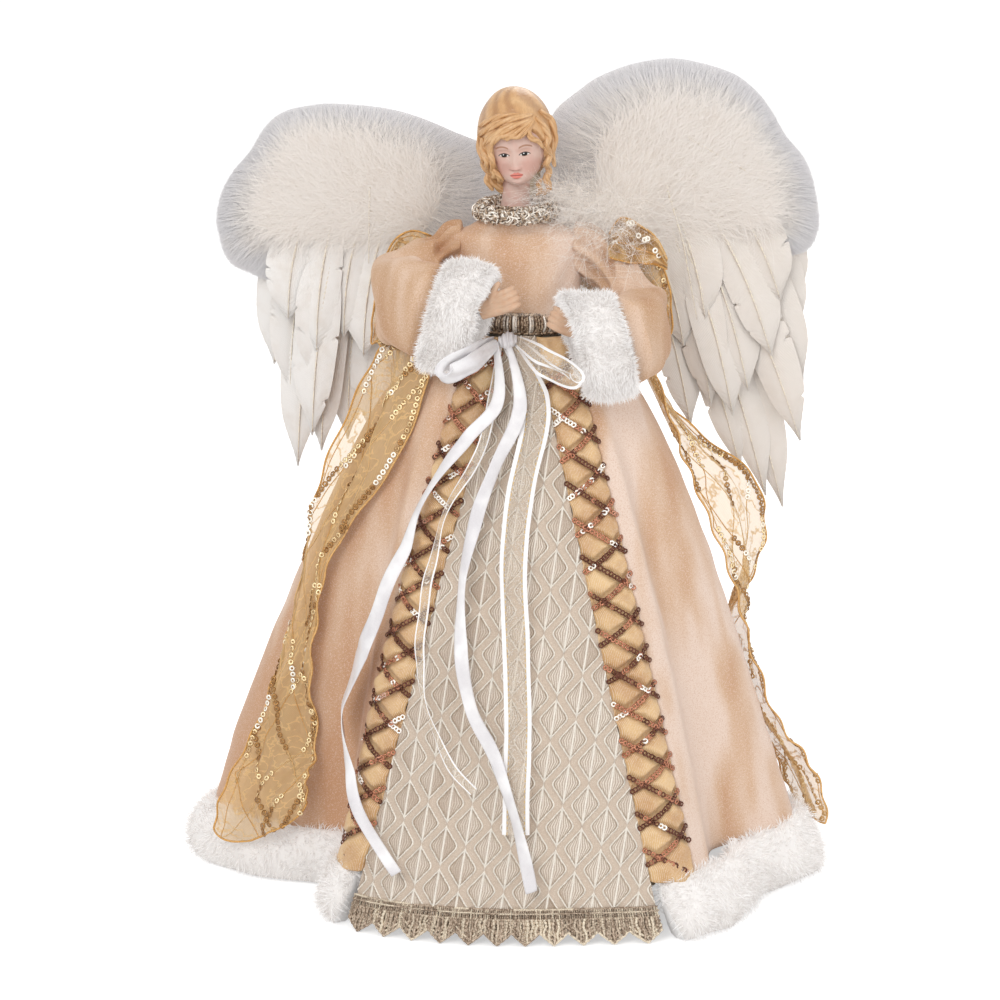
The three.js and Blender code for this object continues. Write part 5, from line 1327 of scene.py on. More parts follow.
def skull(points):
    """The face and the skull under the hair, about the head's middle, from places on a unit ball."""
    x, y, z = points.T
    front, jaw = np.maximum(0, -y), np.clip(-z, 0, 1)
    face = np.clip((front - 0.3) / 0.25, 0, 1)
    narrow = 1 - 0.30 * jaw**1.5 * np.where(y < 0.2, 1, 0.3)
    reach = 0.9
    wide = x * HEAD_HALF_WIDTH * reach * narrow
    deep = y * HEAD_HALF_DEPTH * reach * np.where(y > 0, 1, 0.94)
    tall = z * HEAD_HEIGHT / 2 * np.where(z > 0, 0.9, 1)
    a, b = wide * 1000, tall * 1000
    b = b - 0.9 * rise(-b, 7.0, 11.0)
    pair = np.abs(a)
    fall = np.clip((-3.5 - b) / 9.2, 0, 1)
    ridge = np.where(b > -12.7, 0.35 + 2.75 * fall**1.5, 3.1 * bell((b + 12.7) / 0.95))
    relief = ridge * bell(a / (1.15 + 0.75 * fall)) * rise(b, -16, -12.7)
    relief = np.where(b > -3.5, 0.35 * bell(a / 1.4) * bell((b + 3.5) / 3), relief)
    relief += 1.0 * bell((pair - 1.75) / 0.85) * bell((b + 12.7) / 0.95)
    relief -= 1.25 * bell((pair - 4.6) / 3.1) * bell((b + 4.7) / 2.4)
    relief += 0.95 * bell((pair - 4.9) / 2.1) * bell((b + 5.2) / 1.5)
    relief += 0.45 * bell((pair - 5.4) / 3.0) * bell((b + 1.6) / 1.2)
    relief += 0.75 * bell((pair - 6.6) / 3.4) * bell((b + 11.5) / 3.6)
    relief += 0.85 * bell(a / 2.3) * bell((b + 15.7) / 0.62) + 1.0 * bell(a / 1.9) * bell((b + 17.2) / 0.75)
    relief -= 0.45 * bell(a / 2.6) * bell((b + 16.4) / 0.26)
    relief -= 0.35 * bell(a / 2.0) * bell((b + 18.6) / 0.6)
    relief += 1.3 * bell(a / 3.0) * bell((b + 20.9) / 1.7)
    ways = unit(np.stack([wide / HEAD_HALF_WIDTH**2, deep / HEAD_HALF_DEPTH**2, tall / 0.0225**2], axis=-1))
    ways[:, 2] *= 0.2
    deep = deep - 0.0062 * rise(-z, 0.45, 1.0)
    return np.stack([wide, deep, tall], axis=-1) + ways * (relief * face * 0.001)[:, None]


# Degrees anticlockwise from the right, seen from the front, and degrees from the front to the hair's edge
HAIRLINE = np.array([
    [-90, 125], [-51, 92], [-24, 62], [0, 47], [30, 30], [67, 15], [110, 15], [150, 25], [173, 31], [196, 36],
    [233, 53], [255, 95], [270, 125]], float)
LOCKS = (  # thickness and places across and up on the head, in millimetres, from root to tip
    (1.8, ((9.7, 10.6), (2.2, 9.3), (-5.1, 6.7), (-10.8, 3.1), (-14.3, -0.1))),
    (1.6, ((10.2, 12.6), (1.1, 12.4), (-7.7, 9.8), (-13.6, 6.3), (-17.0, 3.5))),
    (1.7, ((9.5, 9.5), (4.1, 7.4), (-1.7, 4.8), (-6.2, 4.8), (-10.2, 0.8), (-10.9, -3.3))),
    (1.5, ((10.6, 9.8), (7.1, 6.9), (3.1, 4.3), (-0.2, 4.6), (-2.8, 2.6))),
    (1.3, ((9.9, 10.2), (8.0, 6.0), (9.2, 2.2), (11.8, 0.4), (13.6, -3.7))),
    (1.6, ((11.6, 11.2), (14.6, 6.4), (16.2, 0.8), (14.9, -3.5), (15.9, -8.3))),
    (1.8, ((13.5, 13.4), (17.6, 7.2), (18.6, -0.7), (17.0, -7.8), (17.4, -15.5))),
    (1.4, ((15.4, -2.8), (16.1, -8.3), (14.0, -13.1), (14.6, -18.6), (12.0, -23.4))),
    (1.5, ((15.3, -15.8), (12.8, -20.6), (13.8, -25.3), (10.3, -28.9))),
    (1.2, ((10.9, -20.9), (9.0, -23.5), (9.6, -26.7), (7.4, -28.7))),
    (1.8, ((-14.9, 3.1), (-14.8, -3.0), (-13.0, -8.0), (-14.0, -12.3), (-11.8, -16.6))),
    (1.3, ((-11.6, 1.0), (-11.4, -4.0), (-10.6, -8.5), (-11.6, -13.0), (-10.4, -17.0))),
    (2.0, ((-11.6, -11.2), (-10.2, -15.4), (-12.6, -18.6), (-10.6, -23.1), (-7.9, -26.4))),
    (1.6, ((-10.2, -13.4), (-8.2, -17.7), (-9.7, -21.3), (-6.9, -25.0))),
    (1.7, ((-13.9, -10.6), (-13.9, -16.3), (-15.2, -19.8), (-13.0, -24.8))),
    (1.5, ((-16.4, 4.0), (-17.2, -2.0), (-15.6, -7.0), (-16.4, -12.0), (-14.9, -16.4))),
    (1.4, ((4.6, 13.6), (-3.5, 13.8), (-11.0, 11.2), (-16.4, 7.6))),
)


def on_hair(x, z, lift):
    """The front of the hair at a place across and up, in millimetres."""
    inside = 1 - (x / 18.6) ** 2 - (z / 23.6) ** 2
    y = -np.sqrt(np.maximum(inside, 0.03)) * 19.6 - lift
    return np.stack([x, y, z], axis=-1) * 0.001


class ANGEL_OT_head(Piece, bpy.types.Operator):
    """Painted face, neck and glossy moulded hair"""
    bl_idname, bl_label = "angel.head", "Head and hair"

    def execute(self, context):
        kit = context.scene.angel_body
        bm = bmesh.new()
        bm.loops.layers.uv.new("UVMap")
        bmesh.ops.create_uvsphere(bm, u_segments=200, v_segments=140, radius=1)
        mesh = mesh_from(bm, "painted_face")
        local = skull(read_points(mesh))
        write_points(mesh, posed(local))
        chart_points(mesh, local[:, [0, 2]] * 1000)
        mesh.shade_smooth()
        face = add_object("painted_face", mesh)
        skin = self.paint(kit)
        settle(face, skin, "painted_head", "head")

        def neck(u, v):
            rows = [[0.0130, 0.32235], [0.0118, 0.3249], [0.0092, 0.3290], [0.0072, 0.3342], [0.0066, 0.3420],
                    [0.0072, 0.3540]]
            radius, z = along(rows, v * 5).transpose(-1, *range(np.ndim(v)))
            turn = 2 * math.pi * u
            return np.stack([HEAD_X + radius * np.sin(turn), 0.0010 - radius * np.cos(turn), z], axis=-1)
        throat = cloth_mesh("cast_neck", 64, 30, neck, size=(40, 40), wrap=True, caps=True)
        settle(throat, self.bare(kit), "painted_head")
        self.hair(kit)
        return {"FINISHED"}

    def bare(self, kit):
        look = Finish("Neck paint", Roughness=0.45, Specular_IOR_Level=0.4)
        mottle = look.grain(look.place(), 300.0, 3.0)
        tone = look.blend(mottle.between(0.4, 0.7) * 0.3, kit.skin, kit.blush)
        return look.wear(colour=tone, normal=look.bumps(mottle, 0.0001, 0.4))

    def paint(self, kit):
        """Eyes, brows, lips and blush, by their places on the face in millimetres."""
        look = Finish("Face paint", Specular_IOR_Level=0.45)
        x, z = look.parts(look.chart())
        pair = x.size()

        def spot(across, up, wide, tall, soft=0.25, mirror=True):
            dx = ((pair if mirror else x) - across) / wide
            dz = (z - up) / tall
            return (dx * dx + dz * dz).between(1 + soft, 1 - soft)
        mottle = look.grain(look.place(), 300.0, 3.0)
        tone = look.blend(mottle.between(0.4, 0.75) * 0.2, kit.skin, kit.blush)
        blush = spot(6.6, -11.5, 4.6, 4.0, 0.95)
        tone = look.blend(blush * 0.42, tone, kit.blush)
        tone = look.blend(spot(0, -12.0, 2.6, 1.2, 0.9, False) * 0.3, tone, kit.blush)
        tone = look.blend(spot(4.9, -3.6, 3.3, 1.5, 0.8) * 0.35, tone, EYE_SHADOW)
        arch = (pair - 5.6) / 3.2
        line = z + 0.9 + arch * arch * 1.1
        brow = line.size().between(0.62, 0.25) * arch.size().between(1.08, 0.85)
        tone = look.blend(brow * 0.75, tone, kit.brow)
        lid_arch = (pair - 4.9) / 2.55
        lid = z + 4.35 + lid_arch * lid_arch * 1.0
        low_lid = z + 6.15 - lid_arch * lid_arch * 0.75
        open_eye = lid.between(0.1, -0.15) * low_lid.between(-0.1, 0.15) * lid_arch.size().between(1.02, 0.9)
        tone = look.blend(open_eye, tone, EYE_WHITE)
        iris = spot(4.85, -5.1, 1.4, 1.4, 0.15) * open_eye
        tone = look.blend(iris, tone, IRIS)
        tone = look.blend(spot(4.85, -5.1, 1.15, 1.2, 0.2) * open_eye, tone, PUPIL)
        glint = (((x - 4.55).size().least((x + 5.15).size())) / 0.26) ** 2.0 + ((z + 4.85) / 0.26) ** 2.0
        tone = look.blend(glint.between(1.2, 0.8) * iris, tone, EYE_GLINT)
        lashes = (lid - 0.02).size().between(0.42, 0.18) * lid_arch.size().between(1.14, 1.0)
        tone = look.blend(lashes * 0.92, tone, kit.eye)
        low_lashes = low_lid.size().between(0.3, 0.1) * lid_arch.size().between(1.0, 0.8)
        tone = look.blend(low_lashes * 0.45, tone, kit.brow)
        lip_wide = x.size() / 3.1
        bow = z + 14.25 + lip_wide * lip_wide * 0.95 + (x.size() - 0.8).size().between(0.9, 0.0) * -0.3
        under = z + 17.1 - lip_wide * lip_wide * 1.5
        mouth = bow.between(0.12, -0.12) * under.between(-0.12, 0.12) * lip_wide.between(1.05, 0.95)
        tone = look.blend(mouth * 0.9, tone, kit.lips)
        part = (z + 15.5 + lip_wide * lip_wide * 0.12).size().between(0.26, 0.06)
        part = part * lip_wide.between(1.05, 0.9)
        tone = look.blend(part * 0.8, tone, LIP_PARTING)
        nostril = spot(1.25, -12.85, 0.55, 0.3, 0.4)
        tone = look.blend(nostril * 0.6, tone, NOSTRIL)
        gloss = mottle * 0.12 + 0.40 - mouth * 0.12 + open_eye * 0.2
        return look.wear(colour=tone, roughness=gloss, normal=look.bumps(mottle, 0.00006, 0.4))

    def hair(self, kit):
        """A combed cap with an opening for the face, and twisted locks round it that fall to the collar."""
        look = Finish("Moulded hair", Specular_IOR_Level=0.5, Coat_Roughness=0.2)
        groove = look.own("groove")
        cloud = look.grain(look.place(), 130.0, 2.0)
        strands = (look.grain(look.place((1.0, 1.0, 0.4)), 420.0, 2.0) * 20.0).sine() * 0.5 + 0.5
        # Painted gloss highlights in cloudy patches.
        tone = look.blend(cloud.between(0.35, 0.7) * 0.45, kit.hair, kit.hair_highlight)
        # Painted shade in the comb's grooves and along fine strands.
        tone = look.blend(groove, tone, kit.hair_shade)
        tone = look.blend(strands * 0.16, tone, kit.hair_shade)
        look.wear(colour=tone, roughness=cloud * 0.15 + 0.28, normal=look.bumps(strands, 0.00016, 0.5),
                  coat=cloud * 0.1 + 0.25)

        def comb(way):
            """How high the comb's ridges stand in each direction from the head's middle, from 0 to 1."""
            crown = unit(np.array((0.12, 0.25, 0.96)))
            right = unit(np.cross((0.0, 1.0, 0.0), crown))
            turn = np.arctan2(way @ np.cross(crown, right), way @ right)
            fall = np.arccos(np.clip(way @ crown, -1, 1))
            ridge = np.sin(9 * turn + 2.4 * np.sin(fall * 3.2) + 1.5 * np.sin(3 * turn)) * 0.5 + 0.5
            fine = np.abs(np.sin(52 * turn + 3.2 * np.sin(fall * 4.5 + 1))) ** 0.8
            return mix(0.5, ridge * 0.75 + fine * 0.25, rise(fall, 0.1, 0.6))

        def cap(u, v):
            around = u * 360 - 90
            reach = np.radians(mix(np.interp(around, HAIRLINE[:, 0], HAIRLINE[:, 1]), 179, v))
            around = np.radians(around)
            wide = np.sin(reach)
            way = np.stack([wide * np.cos(around), -np.cos(reach), wide * np.sin(around)], axis=-1)
            lift = mix(-0.0024, 0.0005, rise(v, 0.0, 0.05)) + 0.0004 * (comb(way) - 0.6) * rise(v, 0.0, 0.06)
            taper = 1 - 0.16 * np.clip(-way[..., 2], 0, 1) ** 1.5
            wide, deep, tall = HAIR_BALL
            return posed(way * np.stack([wide * taper + lift, deep + lift, tall + lift], axis=-1))
        shell = cloth_mesh("moulded_hair", 250, 120, cap, wrap=True)
        frame_part = np.array(HEAD_POSE)
        local = (read_points(shell.data) - frame_part[:3, 3]) @ frame_part[:3, :3]
        # How far down each place lies in the comb's grooves, for the painted shade.
        note(shell, "groove", np.clip(0.7 - comb(unit(local / HAIR_BALL)), 0, 0.5))
        settle(shell, look.material, "painted_head")
        path = np.linspace(0, 1, 34)
        spines, radii = [], []
        for k, (thick, places) in enumerate(LOCKS):
            x, z = along(places, path * (len(places) - 1)).T
            spine = on_hair(x, z, 0.5)
            way = unit(np.gradient(spine, axis=0))
            side = unit(np.cross(way, (0.0, -1.0, 0.0)))
            out = np.cross(side, way)
            size = 0.001 * thick * (np.sin(math.pi * np.clip(path * 0.92 + 0.05, 0, 1)) ** 0.6)
            for j in range(3):
                turn = j * 2 * math.pi / 3 + path * (5.5 + k % 3) + k
                spines.append(posed(spine + (side * np.cos(turn)[:, None] + out * np.sin(turn)[:, None])
                                    * (size * 0.52)[:, None]))
                radii.append(size * 0.62 + 0.00012)
        locks = tubes("hair_locks", spines, radii, 9)
        note(locks, "groove", np.zeros(len(locks.data.vertices)))
        settle(locks, look.material, "painted_head")


# Ribbons and scarf

class AngelTrims(bpy.types.PropertyGroup):
    satin: colour("Satin ribbon", "White satin of the bow and its tails", 246, 244, 244)
    satin_deep: colour("Satin shade", "Satin where it turns away", 218, 214, 216)
    sheer: colour("Sheer ribbon", "Stippled net between the satin edges", 232, 216, 196)
    thread: colour("Stitches", "Gold thread beside the satin edges", 196, 164, 108)
    organza: colour("Organza", "Thin gold cloth of the scarf", 224, 186, 130)
    organza_deep: colour("Organza shade", "Crinkles of the scarf", 196, 148, 84)
    edge: colour("Scarf edge", "Rolled edge of the scarf", 222, 168, 92)
    gold: colour("Gold sequins", "Sequins of the scarf", 158, 116, 68)
    gold_light: colour("Light gold sequins", "Clear sequins of the scarf", 238, 214, 168)
    scarf_sequin: length("Scarf sequin", "Diameter of a sequin on the scarf", 0.0030)
    ribbon: length("Ribbon thickness", "Thickness of the satin ribbons", 0.0004)


KNOT_SIZE = (0.0088, 0.010, 0.0082)  # width, depth, height
WAIST_BRAID = 0.0022  # thickness of the waist braid
KNOT_FRONT = (TORSO_WAIST_HALF_DEPTH + CLEARANCE + CLOTH + WAIST_BRAID + CLEARANCE + WAIST_BRAID * 0.75
              + CLEARANCE)
KNOT = np.array((BODY_LEAN - 0.006, -KNOT_FRONT - 0.005, COAT_TOP - 0.001))
LOOP_WIDTH, LOOP_AHEAD = 0.0095, 0.037
LOOP_REACH = {-1: (0.022, 0.009), 1: (0.029, 0.012)}  # outwards and down, by side
RIBBON_STEP = 0.0008 + 2 * CLEARANCE


def tail_lift(layer):
    return BAND_CROWN + 0.0009 + 3 * CLEARANCE + layer * RIBBON_STEP


def tail_place(route, width, lift, taper=1.0, curl=0.0, phase=0.0):
    """A tail of the bow on the skirt: u across, v from its foot to the knot."""
    rows = np.array(route, float)
    rows = np.stack([rows[:, 0] * PANEL_HEM_HALF, rows[:, 1] * COAT_TOP], axis=-1)
    dense = along(rows, np.linspace(0, len(rows) - 1, 400))
    reach = np.concatenate([[0], np.cumsum(np.linalg.norm(np.diff(dense, axis=0), axis=-1))])
    reach /= reach[-1]

    def place(u, v):
        s = 1 - v
        x, z = np.interp(s, reach, dense[:, 0]), np.interp(s, reach, dense[:, 1])
        ahead = np.clip(s + 0.004, 0, 1)
        dx = np.interp(ahead, reach, dense[:, 0]) - np.interp(ahead - 0.008, reach, dense[:, 0])
        dz = np.interp(ahead, reach, dense[:, 1]) - np.interp(ahead - 0.008, reach, dense[:, 1])
        long = np.hypot(dx, dz) + 1e-9
        wide = width * mix(0.35, 1, np.clip(s / 0.12, 0, 1)) * mix(1, taper, s)
        turn = curl * np.sin(s * 15 + phase) * rise(s, 0.05, 0.25)
        half = (u - 0.5) * wide * np.cos(turn)
        stand = (0.5 + (u - 0.5) * np.sign(turn)) * wide * np.abs(np.sin(turn)) + 0.0006 * np.sin(u * math.pi)
        stand = stand + 0.0012 * np.sin(s * 23 + phase) ** 2 * rise(s, 0.1, 0.3)
        px, pz = x - half * dz / long, z + half * dx / long
        return on_skirt(skirt_angle(px, pz), pz, lift + 0.0004 + stand)
    return place, float(np.linalg.norm(np.diff(dense, axis=0), axis=-1).sum())


TAILS = {
    "sheer_tail": [[0, 0], [0.04, 0.94], [0.1, 0.87], [0.03, 0.75], [0, 0.63], [0.03, 0.5], [0.055, 0.37],
                   [0.055, 0.26], [0.06, 0.19]],
    "thin_tail": [[-0.02, 0], [-0.18, 0.83], [-0.36, 0.73], [-0.46, 0.63], [-0.51, 0.53], [-0.52, 0.45],
                  [-0.47, 0.39], [-0.35, 0.31], [-0.19, 0.26]],
    "satin_tail_centre": [[0.02, 0], [0.01, 0.89], [-0.11, 0.79], [-0.23, 0.68], [-0.28, 0.57], [-0.27, 0.48],
                          [-0.21, 0.4], [-0.09, 0.33], [0.03, 0.24], [0.11, 0.16], [0.16, 0.1]],
    "satin_tail_left": [[-0.03, 0], [-0.1, 0.9], [-0.25, 0.84], [-0.44, 0.76], [-0.59, 0.66], [-0.72, 0.56],
                        [-0.84, 0.47], [-0.93, 0.39], [-0.96, 0.33], [-0.9, 0.25], [-0.77, 0.18],
                         [-0.61, 0.12]],
}
LOOP = [[0, 0, 0], [0.16, 0.4, -0.02], [0.4, 0.85, 0.05], [0.8, 1, 0.4], [1, 1.02, 0.8], [0.92, 1, 1],
        [0.72, 0.96, 0.85], [0.42, 0.85, 0.5], [0.18, 0.42, 0.25], [0.03, 0.05, 0.14]]


class ANGEL_OT_bow(Piece, bpy.types.Operator):
    """Bow at the waist: knot, two loops and four tails"""
    bl_idname, bl_label = "angel.bow", "Bow and tails"

    def execute(self, context):
        kit = context.scene.angel_trims
        satin = satin_finish("White satin", kit.satin, kit.satin_deep, kit.satin, 0.3, 14000.0)
        sheer = self.net(kit)
        for name, width, layer, taper, curl, finish, phase in (
                ("sheer_tail", 0.012, 0, 1.0, 0.25, sheer, 0.4),
                ("thin_tail", 0.004, 1, 1.0, 0.7, sheer, 2.0),
                ("satin_tail_centre", 0.0056, 2, 1.0, 0.75, satin, 1.2),
                ("satin_tail_left", 0.0054, 3, 0.85, 0.8, satin, 3.4)):
            route = [row[:] for row in TAILS[name]]
            route[0][0] += (KNOT[0] - BODY_LEAN) / PANEL_HEM_HALF
            route[0][1] = KNOT[2] / COAT_TOP
            place, reach = tail_place(route, width, tail_lift(layer), taper, curl, phase)
            tail = cloth_mesh(name + "_ribbon", 10, 240, place, size=(width, reach))
            settle(tail, finish, "ribbon" if finish == satin else "sheer_ribbon", name)
            if finish == satin:
                thicken(tail, kit.ribbon)
            if name == "sheer_tail":
                min(mesh_area(tail), width * reach)
        self.loops(kit, satin, sheer)
        self.knot(satin)
        return {"FINISHED"}

    def net(self, kit):
        look = Finish("Sheer ribbon", Roughness=0.45, Specular_IOR_Level=0.4)
        chart = look.chart()
        _, down = look.parts(chart)
        wide = look.own("across")
        rim = (wide - 0.5).size()
        edge = rim.between(0.345, 0.36)
        dots = look.grain(chart, 1300.0, 0.0, "TexVoronoi").between(0.42, 0.25)
        stitch = rim.between(0.295, 0.305) * rim.between(0.34, 0.33)
        stitch = stitch * ((down * 2600.0).sine()).between(-0.3, 0.2)
        tone = look.blend(edge, kit.sheer, kit.satin)
        tone = look.blend(dots * (1 - edge) * 0.5, tone, kit.satin)
        tone = look.blend(stitch, tone, kit.thread)
        alpha = (edge + dots * 0.3 + 0.3 + stitch).least(1.0)
        return look.wear(colour=tone, alpha=alpha, normal=look.bumps(dots, 0.0001, 0.5))

    def loops(self, kit, satin, sheer):
        for side, name in ((-1, "left"), (1, "right")):
            start = KNOT + np.array((side * (KNOT_SIZE[0] / 2 + 2 * CLEARANCE), 0, 0))
            out, ahead, down = np.array(LOOP, float).T
            reach, fall = LOOP_REACH[side]
            route = start + np.stack([side * out * reach, -ahead * LOOP_AHEAD, -down * fall], axis=-1)
            wide_way = unit(np.array((side * 0.5, -0.45, 0.75)))

            def place(u, v):
                t = v * (len(route) - 1)
                spot = along(route, t)
                way = unit(along(route, np.clip(t + 0.05, 0, 9)) - along(route, np.clip(t - 0.05, 0, 9)))
                wide = unit(wide_way - (way @ wide_way)[..., None] * way)
                width = LOOP_WIDTH * mix(0.45, 1, np.clip(np.minimum(v, 1 - v) / 0.22, 0, 1))
                thick = np.cross(way, wide)
                cup = 0.0011 * np.sin(u * math.pi) + 0.0005 * np.sin(u * 9 + v * 13)
                return spot + wide * ((u - 0.5) * width)[..., None] + thick * cup[..., None]
            loop = cloth_mesh(name + "_loop_ribbon", 12, 120, place, size=(LOOP_WIDTH, 0.1))
            settle(loop, satin if side < 0 else sheer, "ribbon", name + "_bow_loop")
            if side > 0:
                note(loop, "across", grid_across(12, 120))
            else:
                thicken(loop, kit.ribbon)
        for name in ("sheer_tail", "thin_tail"):
            tail = bpy.data.objects[name + "_ribbon"]
            note(tail, "across", grid_across(10, 240))

    def knot(self, satin):
        wide, deep, tall = KNOT_SIZE

        def place(u, v):
            turn = 2 * math.pi * u
            share = v - 0.5
            swell = along([[0.5], [0.82], [1.0], [0.82], [0.5]], v * 4)[..., 0]
            fold = 0.00035 * np.sin(v * 26 + 1.5 * np.sin(turn)) + 0.0004 * np.sin(3 * turn + 5 * v)
            return KNOT + np.stack([share * wide, (deep / 2 * swell + fold) * np.cos(turn),
                                    (tall / 2 * swell + fold) * np.sin(turn)], axis=-1)
        knot = cloth_mesh("satin_knot", 48, 40, place, size=(0.03, 0.011), wrap=True, caps=True)
        settle(knot, satin, "ribbon", "bow_knot")


def grid_across(columns, rows):
    """The share across a grid of each of its corners."""
    return np.tile(np.linspace(0, 1, columns + 1), rows + 1)


SCARF_WIDTH, SCARF_OFF, SCARF_RIPPLE, SCARF_FOOT, SCARF_TOP = 0.030, 0.0017, 0.0022, 0.018, COAT_TOP - 0.009
# The white of the scarf's brightest sequins: painted glints.
GLINT_SEQUIN = srgb(252, 246, 232)
SCARF_EDGE = 0.00052  # radius of the rolled edge
EDGE_STATIONS, CUT_STATIONS = 900, 60
THREAD_COUNT, THREAD_STATIONS, THREAD_RADIUS = 7, 700, 0.00028
SCARF_TAILS = {
    -1: [[0, -81, 0.55, -66, 0.6], [0.1, -82, 0.5, -67, 0.55], [0.2, -84, 0.2, -70, 0.3],
         [0.31, -83, 0.1, -73, 0.1],
         [0.46, -83, 0, -75, 0.05], [0.62, -85, 0.35, -76, 0.05], [0.77, -86, 0.5, -66, 0.05],
         [0.91, -88, 0.55, -62, 0.05], [1, -87, 0.75, -66, 0.35]],
    1: [[0, 112, 0.5, 98, 0.42], [0.1, 112, 0.45, 98, 0.42], [0.22, 112, 0.1, 98, 0.05],
        [0.38, 114, 0.1, 98, 0.05],
        [0.47, 112, 0.5, 98, 0.1], [0.57, 110, 1.1, 98, 0.15], [0.72, 107, 1.2, 98, 0.1],
        [0.87, 108, 0.3, 94, 0.1],
        [1, 104, 0.6, 92, 0.3]],
}
SCARF_BACK = [[-1.13, 0.22, 0.826, -0.74, 0.16, 0.808], [-1.12, 0.42, 0.882, -0.71, 0.43, 0.832],
              [-1.02, 0.38, 0.957, -0.62, 0.49, 0.87], [-0.84, 0.36, 0.99, -0.52, 0.6, 0.826],
              [-0.61, 0.46, 0.975, -0.32, 0.81, 0.801], [-0.35, 0.65, 0.926, -0.13, 0.92, 0.792],
              [0.06, 0.7, 0.902, 0.06, 0.95, 0.783], [0.48, 0.65, 0.926, 0.26, 0.92, 0.792],
              [0.74, 0.46, 0.965, 0.48, 0.81, 0.795], [0.94, 0.36, 0.978, 0.68, 0.65, 0.814],
              [1.13, 0.36, 0.944, 0.77, 0.54, 0.845], [1.21, 0.38, 0.888, 0.84, 0.49, 0.82],
              [1.2, 0.32, 0.832, 0.88, 0.27, 0.8]]


def scarf_rows():
    """Rows of seven places down the left, across the back and up the right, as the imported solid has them."""
    rows = []
    share = np.linspace(0, 1, 7)

    def tail(side, phase):
        found = []
        for row, (height, outer, outer_off, inner, inner_off) in enumerate(
                along(SCARF_TAILS[side], np.linspace(0, 8, 13))):
            z = np.array(mix(SCARF_FOOT, SCARF_TOP, height))
            start = on_skirt(np.radians(outer), z, SCARF_OFF + outer_off * SCARF_WIDTH)
            end = on_skirt(np.radians(inner), z, SCARF_OFF + inner_off * SCARF_WIDTH)
            near = np.clip((FUR_HEIGHT + 3 * SCARF_OFF - z) / SCARF_OFF, 0, 1) * FUR_REACH
            spots = mix(start, end, share[:, None])
            x, y = spots[:, 0] - axis_x(z), spots[:, 1]
            phi = np.arctan2(x, -y)
            ripple = SCARF_RIPPLE * (1 + np.cos(3 * math.pi * share + phase + row * 0.6))
            least = skirt_radius(phi, z) + flare(phi, z) + SCARF_OFF + near
            found.append(on_skirt(phi, z, np.maximum(np.hypot(x, y), least) + ripple - skirt_radius(phi, z)))
        return found
    rows += tail(-1, 0)
    for row, shares in enumerate(along(SCARF_BACK, np.linspace(0, 12, 17))):
        upper, lower = (shares[k:k + 3] * (ARM_REACH, WING_ROOT_DEPTH, SHOULDER_HEIGHT) for k in (0, 3))
        spots = mix(upper, lower, share[:, None])
        spots[:, 1] += SCARF_RIPPLE / 2 * np.sin(3 * math.pi * share + row * 0.6)
        rows.append(spots)
    rows += tail(1, 2)[::-1]
    return np.array(rows)


def scarf_place():
    rows = scarf_rows()
    flat_rows = rows.reshape(len(rows), -1)

    def place(u, v):
        strip = along(flat_rows, v * (len(rows) - 1)).reshape(np.shape(v) + (7, 3))
        spot = np.clip(u, 0, 1) * 6
        first = np.minimum(spot.astype(int), 5)
        t = (spot - first)[..., None]
        pick = np.arange(len(spot))
        return smooth_run(*(strip[pick, np.clip(first + k, 0, 6)] for k in (-1, 0, 1, 2)), t)
    return place


